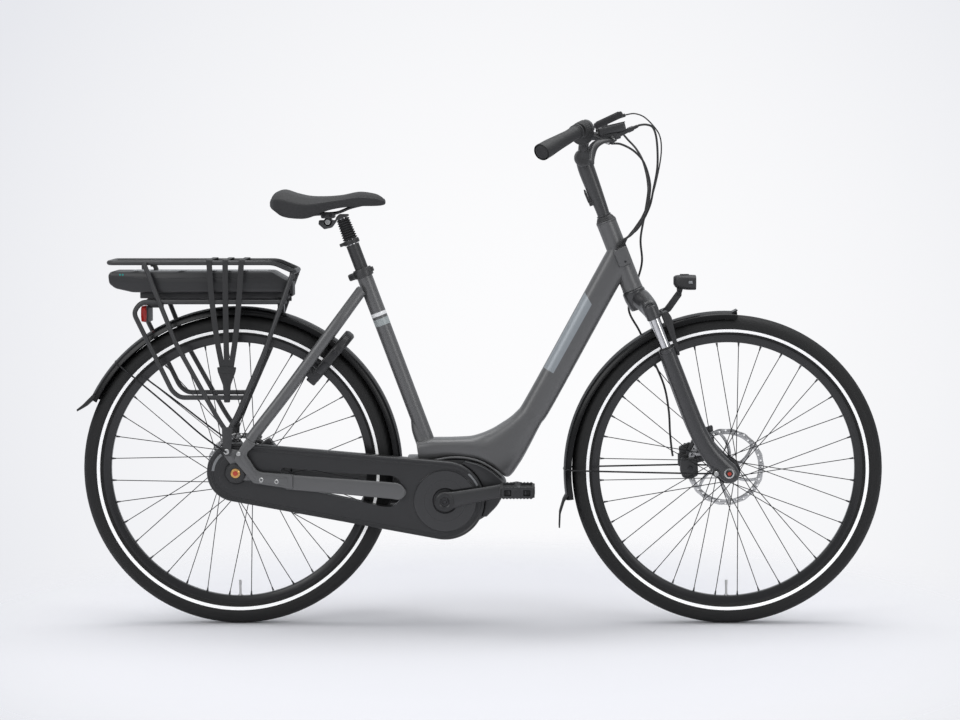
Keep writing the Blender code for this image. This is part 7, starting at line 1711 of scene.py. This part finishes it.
def buildDisplay():
    turn = math.radians(screen["tilt"])
    x, y, z = screen["place"]
    case = blockShape(fromBar, screen["case"], (x, y, z), 0.0045, 0, screen["tilt"], 4)
    above = (x + math.sin(turn) * 0.008, y, z + math.cos(turn) * 0.008)
    glass = blockShape(fromBar, screen["glass"], above, 0.0008, 1, screen["tilt"])
    ring = turnedShape(fromBar, tenths([(129, -225), (165, -225), (165, -300), (129, -300)]), 0.0008, 3, sides=56)
    arm = tubeShape(put(fromBar, smoothRows(tenths([(100, -268, 110), (330, -268, 360), (520, -230, 780)]), 8)),
        0.0042, 24)
    pocket = coneShape((0.078, -0.004, 0.0925), (0.096, -0.004, 0.0975), 0.0045, 0.004)
    piece("display", "bar", [case, glass, ring, arm, pocket], "blackPlastic screenGlass", ["display"])


# steps between control points, and where the three runs of a line meet: control points, or shares of its length
run = {"steps": 12, "caliperPoints": (7, 12), "frameShares": (0.36, 0.66)}
lines = {"frontBrakeHose": {"radius": 0.0025, "node": "front_brake_hose", "tip": "tipLeft",
    "points": tenths([(1185, 1230, 3219), (1278, 1130, 2972), (1319, 980, 2689), (1285, 800, 2358), (1215, 640, 2077),
    (1128, 520, 1881), (900, 420, 1500), (600, 420, 1000), (440, 460, 500), (180, 560, 120), (-240, 540, -400),
    (-200, 580, -1000), (-150, 620, -1700), (-130, 700, -2400), (-240, 800, -3000), (-400, 840, -3500),
    (-500, 800, -3850), (-540, 730, -4020)])},
    "rearBrakeHose": {"radius": 0.0025, "node": "rear_brake_hose", "tip": "tipRight",
    "points": tenths([(1612, -1210, 3413), (1728, -1100, 3303), (1732, -900, 3077), (1645, -620, 2731),
    (1503, -400, 2368), (1277, -260, 1993), (1032, -220, 1629), (640, -230, 1290), (310, -250, 1170),
    (115, -262, 1040)])},
    "shiftCable": {"radius": 0.0025, "node": "shift_cable", "tip": "shift",
    "points": tenths([(924, -1120, 3216), (1118, -1030, 3005), (1246, -860, 2740), (1275, -660, 2459),
    (1233, -480, 2128), (1122, -370, 1865), (983, -320, 1655), (500, -340, 1240), (185, -310, 1150),
    (0, -285, 1040)])},
    "displayCable": {"radius": 0.0016, "node": "display_cable", "tip": "screen",
    "points": tenths([(1504, -10, 3734), (1673, 20, 3590), (1796, 40, 3333), (1855, 40, 3062), (1777, 20, 2752),
    (1576, -20, 2382), (1252, -60, 1914), (1000, -90, 1630), (600, -140, 1340), (350, -175, 1190),
    (185, -205, 1040)])}}
tips = {"tipLeft": ((0.074, 0.1255, 0.0511), bar["tipLeft"], 1),
    "tipRight": ((0.074, 0.1255, 0.0511), bar["tipRight"], -1),
    "shift": ((0.006, 0.13, 0.0548), (0.06, 0.119, 0.0345), -1),
    "screen": ((0.078, 0.004, 0.0925), (0.096, 0.004, 0.0975), -1)}


def linePath(item):
    # world points from the bar's end to the frame's end, smoothed through the control points
    root, tip, side = tips[item["tip"]]
    root, tip = mirrored([root], side)[0], mirrored([tip], side)[0]
    way = unit(tip - root)
    start = put(fromBar, np.array([tip - way * 0.006, tip + way * 0.00096, tip + way * 0.005]))
    return smoothRows(np.vstack([start, put(fromHead, item["points"])]), run["steps"])


def buildLines():
    for name, item in lines.items():
        path = linePath(item)
        count = len(path)
        toCaliper = name == "frontBrakeHose"
        if toCaliper:
            first, second = (point * run["steps"] for point in run["caliperPoints"])
        else:
            first, second = (int((count - 1) * share) for share in run["frameShares"])
        lastBodies = ("fork_upper", "fork_lower") if toCaliper else ("frame", "fork_upper")
        spans = [(0, first, "bar", ("stem_body", "bar")), (first, second, "stem", ("fork_upper", "stem_body")),
            (second, count - 1, "fork", lastBodies)]
        for start, end, label, bodies in spans:
            shape = tubeShape(path[start:end + 1], item["radius"], 14)
            # the end that lies further from the bar is passed first, except on the fork's own run; piece only bakes the
            # line where it lies and binds neither end to a body
            low, high = path[end], path[start]
            if toCaliper and label == "fork":
                low, high = high, low
            piece(name + label.capitalize(), bodies[0], [shape], "hoseBlack", [item["node"]],
                blend=(bodies[0], bodies[1], tuple(low), tuple(high)))


buildStem()
buildBar()
buildShifter()
for hand in (-1, 1):
    buildBrake(hand)
buildDisplay()
buildLines()
print("cockpit", len(pieces))


# Seat
seat = {"post": 0.0152, "postTop": 0.073, "mast": 0.0112, "mastTop": 0.133, "ribs": 9,
    "gaiter": (0.0142, 0.0178, 0.0128, 0.0153), "barrel": 0.01, "stations": tenths([(815, 9830, 9640, 480, 40),
    (860, 9915, 9600, 640, 52), (940, 9985, 9550, 800, 62), (1120, 10035, 9440, 940, 70), (1400, 9950, 9390, 960, 60),
    (1700, 9890, 9400, 860, 60), (2050, 9885, 9540, 640, 60), (2400, 9915, 9620, 440, 60),
    (2800, 9985, 9655, 320, 70), (3150, 9945, 9660, 270, 70), (3300, 9880, 9668, 225, 58),
    (3360, 9830, 9680, 190, 50)])}


def buildPost():
    high = seat["postTop"]
    tube = turnedShape(fromSeat, [(0.0112 + 0.0004, high - 0.004), (seat["post"], high - 0.004),
        (seat["post"], -0.15), (0.0112 + 0.0004, -0.15)], 0.0006, 2, sides=72, axis="up")
    head = turnedShape(fromSeat, [(0.0116, high + 0.008), (0.0176, high + 0.008), (0.0188, high + 0.006),
        (0.0188, high - 0.0012), (0.0172, high - 0.003), (0.0116, high - 0.003)], 0.001, 4, sides=72, axis="up")
    groove = turnedShape(fromSeat, [(0.0184, high + 0.0015), (0.019, high + 0.0015), (0.019, high + 0.0025),
        (0.0184, high + 0.0025)], 0.0002, 2, sides=72, axis="up", material=1)
    lug = blockShape(fromSeat, (0.012, 0.008, 0.008), (-0.022, 0, high + 0.003), 0.0016)
    piece("seatpost", "post", [tube, head, groove, lug], "blackMetal rubberBlack", ["seatpost"])

    mast = rodShape(fromSeat, (0, 0, -0.03), (0, 0, seat["mastTop"] + 0.004), seat["mast"], 56, 1)
    outline = filletLoop(tenths([(1879, 9240), (2012, 9124), (2180, 9160), (2255, 9262), (2288, 9322), (2560, 9424),
        (2560, 9470), (2350, 9470), (2285, 9400), (2262, 9331), (1890, 9331)]), 0.002, 3)
    head = plateShape(fromGround, [outline], 0.03, 0.0, 0.0018)
    barrel = rodShape(fromTilt, (0, -0.015, 0), (0, 0.015, 0), seat["barrel"], 56, 0, 0.0008)
    nuts = [hexHead(fromTilt, 0.0, 0.0, side * 0.015, 0.0066, 0.0038, side, 2) for side in (-1, 1)]
    piece("suspensionMast", "mast", [mast, head, barrel, *nuts], "blackMetal chrome boltSteel", ["suspension_mast"])

    # bellows: radius = valley x (1 - wave^0.8) + crest x wave^0.8, both narrowing upwards
    low, top = high + 0.0083, seat["mastTop"] - 0.001
    share = np.linspace(0, 1, seat["ribs"] * 12 + 1)
    a, b, c, d = seat["gaiter"]
    wave = 0.5 - 0.5 * np.cos(share * seat["ribs"] * 2 * math.pi)
    radius = (a + (c - a) * share) * (1 - wave ** 0.8) + (b + (d - b) * share) * wave ** 0.8
    outer = np.column_stack([radius, low + (top - low) * share])
    inner = np.column_stack([np.full(2, 0.0116), (top, low)])
    bellows = latheShape(fromSeat, np.vstack([inner[1:], outer, inner[:1]]), sides=72, axis="up", closed=True)
    item = piece("gaiter", "mast", [bellows], "gaiterRubber", ["gaiter"], sharp=60)
    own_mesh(item)


def buildRails():
    shapes = []
    for side in (-1, 1):
        path = smoothRows(np.array([(-0.082, side * 0.03, 0.031), (-0.062, side * 0.026, 0.014),
            (-0.025, side * 0.022, 0.018), (0.018, side * 0.022, 0.0205), (0.052, side * 0.018, 0.033),
            (0.09, side * 0.01, 0.0422)]), 10)
        shapes.append(tubeShape(put(fromTilt, path), 0.0035, 24, edge=0.0006))
    clamp = blockShape(fromTilt, (0.03, 0.054, 0.0136), (0, 0, 0.0153), 0.0026, 1, steps=3)
    saddleCap = [hexHead(fromTilt, x, 0.0153, -0.027, 0.0036, 0.0016) for x in (-0.008, 0.008)]
    piece("saddleRails", "seat", [*shapes, clamp, *saddleCap], "darkBolt blackMetal", ["saddle_rails"])


def buildSaddle():
    # each section: across = share x half width, height = top or bottom with shares of the crown and the height
    rows = smoothRows(np.array(seat["stations"]), 8)
    ring = []
    for x, top, bottom, half, crown in rows:
        height = top - bottom
        loop = np.array([(0.0, top), (0.22, top - crown * 0.04), (0.45, top - crown * 0.25),
            (0.66, top - crown * 0.62), (0.82, top - crown - height * 0.06), (0.93, top - crown - height * 0.17),
            (1.0, top - height * 0.4), (0.99, top - height * 0.6), (0.97, bottom + height * 0.2),
            (0.93, bottom + height * 0.03), (0.88, bottom), (0.82, bottom + height * 0.05),
            (0.74, bottom + height * 0.18), (0.4, bottom + height * 0.4), (0.0, bottom + height * 0.44)])
        fine = smoothRows(loop, 4)
        right = np.column_stack([np.full(len(fine), x), -fine[:, 0] * half, fine[:, 1]])
        left = right[-2:0:-1] * np.array([1, -1, 1])
        ring.append(np.vstack([right, left]))
    grid = np.array(ring)
    # both ends close over a few shrinking rows, so that they are round
    def capRows(edge, outward, reach):
        middle = edge.mean(axis=0)
        caps = []
        for share in (0.35, 0.62, 0.82, 0.94):
            shrink = math.sqrt(max(0.0, 1 - share ** 2))
            row = middle + (edge - middle) * np.array([1, shrink, shrink])
            row[:, 0] = edge[:, 0] + outward * reach * share
            caps.append(row)
        return caps
    tail = capRows(grid[0], -1, 0.003)[::-1]
    nose = capRows(grid[-1], 1, 0.005)
    grid = np.concatenate([np.array(tail), grid, np.array(nose)])
    across = np.abs(grid[:, :, 1])
    share = (grid[:, :, 0] - 0.0815) / (0.336 - 0.0815)
    # a shallow channel down the middle: depth x e^-(across / 10 mm)^2, fading out at both ends
    upper = grid[:, :, 2] > (grid[:, :, 2].max(axis=1, keepdims=True) - 0.012)
    channel = 0.0016 * np.exp(-(across / 0.01) ** 2) * np.clip((share - 0.08) / 0.15, 0, 1)
    grid[:, :, 2] -= channel * np.clip((0.8 - share) / 0.15, 0, 1) * upper
    shell = gridShape(ground(grid))
    item = piece("saddle", "seat", [shell], "saddleSkin", ["saddle"], sharp=75)


buildPost()
buildRails()
buildSaddle()
print("seat", len(pieces))


# Floor, light and camera
view = {"targetX": -0.0011, "aside": 0.14, "targetZ": 0.6113, "distance": 6.02, "pitch": 4.73, "lens": 98.0,
    "floor": (0.785, 0.78, 0.805), "ambient": 0.86, "ambientLow": 0.1, "overhead": 44, "left": 43, "right": 27,
    "shade": 0.13}


def buildStage():
    size = 40.0
    mesh = bpy.data.meshes.new("floor")
    mesh.from_pydata([(-size, -size, 0), (size, -size, 0), (size, size, 0), (-size, size, 0)], [], [(0, 1, 2, 3)])
    floor = bpy.data.objects.new("floor", mesh)
    bpy.context.scene.collection.objects.link(floor)
    material = bpy.data.materials.new("floorPaper")
    material.use_nodes = True
    tree = material.node_tree
    shader = tree.nodes["Principled BSDF"]
    shader.inputs["Roughness"].default_value = 0.9
    shader.inputs["Specular IOR Level"].default_value = 0.0
    # the lit paper lies under the bike; further out the camera sees the plain studio instead
    source = addNode(tree, "TexCoord").outputs["Object"]
    spread = addNode(tree, "Mapping", {"Scale": (0.66, 0.62, 1.0), "Location": (0.0, 0.06, 0.0)}, {"Vector": source})
    away = addNode(tree, "VectorMath", links={0: spread.outputs[0]}, operation="LENGTH")
    fade = ramp(tree, away.outputs["Value"], 0.48, 0.98, interpolation_type="SMOOTHSTEP")
    # a painted shadow: the paper darkens softly under the whole bike
    under = addNode(tree, "Mapping", {"Scale": (1.12, 2.1, 1.0), "Location": (0.0, -0.06, 0.0)}, {"Vector": source})
    reach = addNode(tree, "VectorMath", links={0: under.outputs[0]}, operation="LENGTH")
    shade = ramp(tree, reach.outputs["Value"], 0.2, 1.05, 1.0 - view["shade"], interpolation_type="SMOOTHSTEP")
    tone = addNode(tree, "VectorMath", {0: view["floor"]}, {"Scale": shade.outputs[0]}, operation="SCALE")
    tree.links.new(tone.outputs[0], shader.inputs["Base Color"])
    rays = addNode(tree, "LightPath")
    far = mathNode(tree, "MULTIPLY", fade.outputs[0], rays.outputs["Is Camera Ray"])
    clear = addNode(tree, "BsdfTransparent")
    both = addNode(tree, "MixShader", links={0: far, 1: shader.outputs[0], 2: clear.outputs[0]})
    tree.links.new(both.outputs[0], tree.nodes["Material Output"].inputs["Surface"])
    mesh.materials.append(material)


def softBox(name, place, turn, size, power):
    light = bpy.data.lights.new(name, "AREA")
    light.shape = "RECTANGLE"
    light.size, light.size_y = size
    light.energy = power
    item = bpy.data.objects.new(name, light)
    item.location = place
    item.rotation_euler = [math.radians(value) for value in turn]
    bpy.context.scene.collection.objects.link(item)
    return item


def buildLight():
    scene = bpy.context.scene
    world = bpy.data.worlds.new("studio")
    world.use_nodes = True
    tree = world.node_tree
    plain = tree.nodes["Background"]
    plain.inputs["Color"].default_value = (0.93, 0.96, 1.0, 1)
    source = addNode(tree, "TexCoord").outputs["Generated"]
    # the studio is bright above and behind, and dark on the camera's side
    height = addNode(tree, "VectorMath", {1: (0.0, 0.42, 0.91)}, {0: source}, operation="DOT_PRODUCT")
    level = ramp(tree, height.outputs["Value"], -0.55, 0.9, view["ambientLow"], view["ambient"])
    tree.links.new(level.outputs[0], plain.inputs["Strength"])
    # the backdrop is brightest where the camera points and falls off towards the picture's corners
    pitch = math.radians(view["pitch"])
    facing = addNode(tree, "VectorMath", {1: (0.0, math.cos(pitch), -math.sin(pitch))}, {0: source},
        operation="DOT_PRODUCT")
    fall = ramp(tree, facing.outputs["Value"], 0.972, 1.0)
    tone = addNode(tree, "Mix", {6: (0.8, 0.81, 0.85, 1), 7: (0.975, 0.975, 0.985, 1)}, {0: fall.outputs[0]},
        data_type="RGBA")
    backdrop = addNode(tree, "Background", links={"Color": tone.outputs[2]})
    rays = addNode(tree, "LightPath")
    both = addNode(tree, "MixShader", links={0: rays.outputs["Is Camera Ray"], 1: plain.outputs[0],
        2: backdrop.outputs[0]})
    tree.links.new(both.outputs[0], tree.nodes["World Output"].inputs["Surface"])
    scene.world = world
    softBox("overhead", (0.0, 0.15, 2.9), (0, 0, 0), (3.4, 1.5), view["overhead"])
    softBox("frontLeft", (-2.6, -3.4, 2.3), (62, 0, -38), (2.2, 1.8), view["left"])
    softBox("frontRight", (2.8, -3.2, 1.9), (66, 0, 42), (1.8, 1.6), view["right"])


def buildCamera():
    scene = bpy.context.scene
    camera = bpy.data.cameras.new("photoCamera")
    camera.sensor_width = 36.0
    camera.lens = view["lens"]
    # the camera stands in line with the grips, and its lens is shifted back to the bike's middle
    camera.shift_x = -view["aside"] * view["lens"] / 36.0 / (view["distance"] + 0.02)
    camera.clip_end = 200.0
    item = bpy.data.objects.new("photoCamera", camera)
    pitch = math.radians(view["pitch"])
    item.location = (view["targetX"] + view["aside"], -view["distance"] * math.cos(pitch),
        view["targetZ"] + view["distance"] * math.sin(pitch))
    item.rotation_euler = (math.pi / 2 - pitch, 0, 0)
    scene.collection.objects.link(item)
    scene.camera = item
    scene.view_settings.view_transform = "Standard"


buildStage()
buildLight()
buildCamera()

print("pieces", len(pieces))
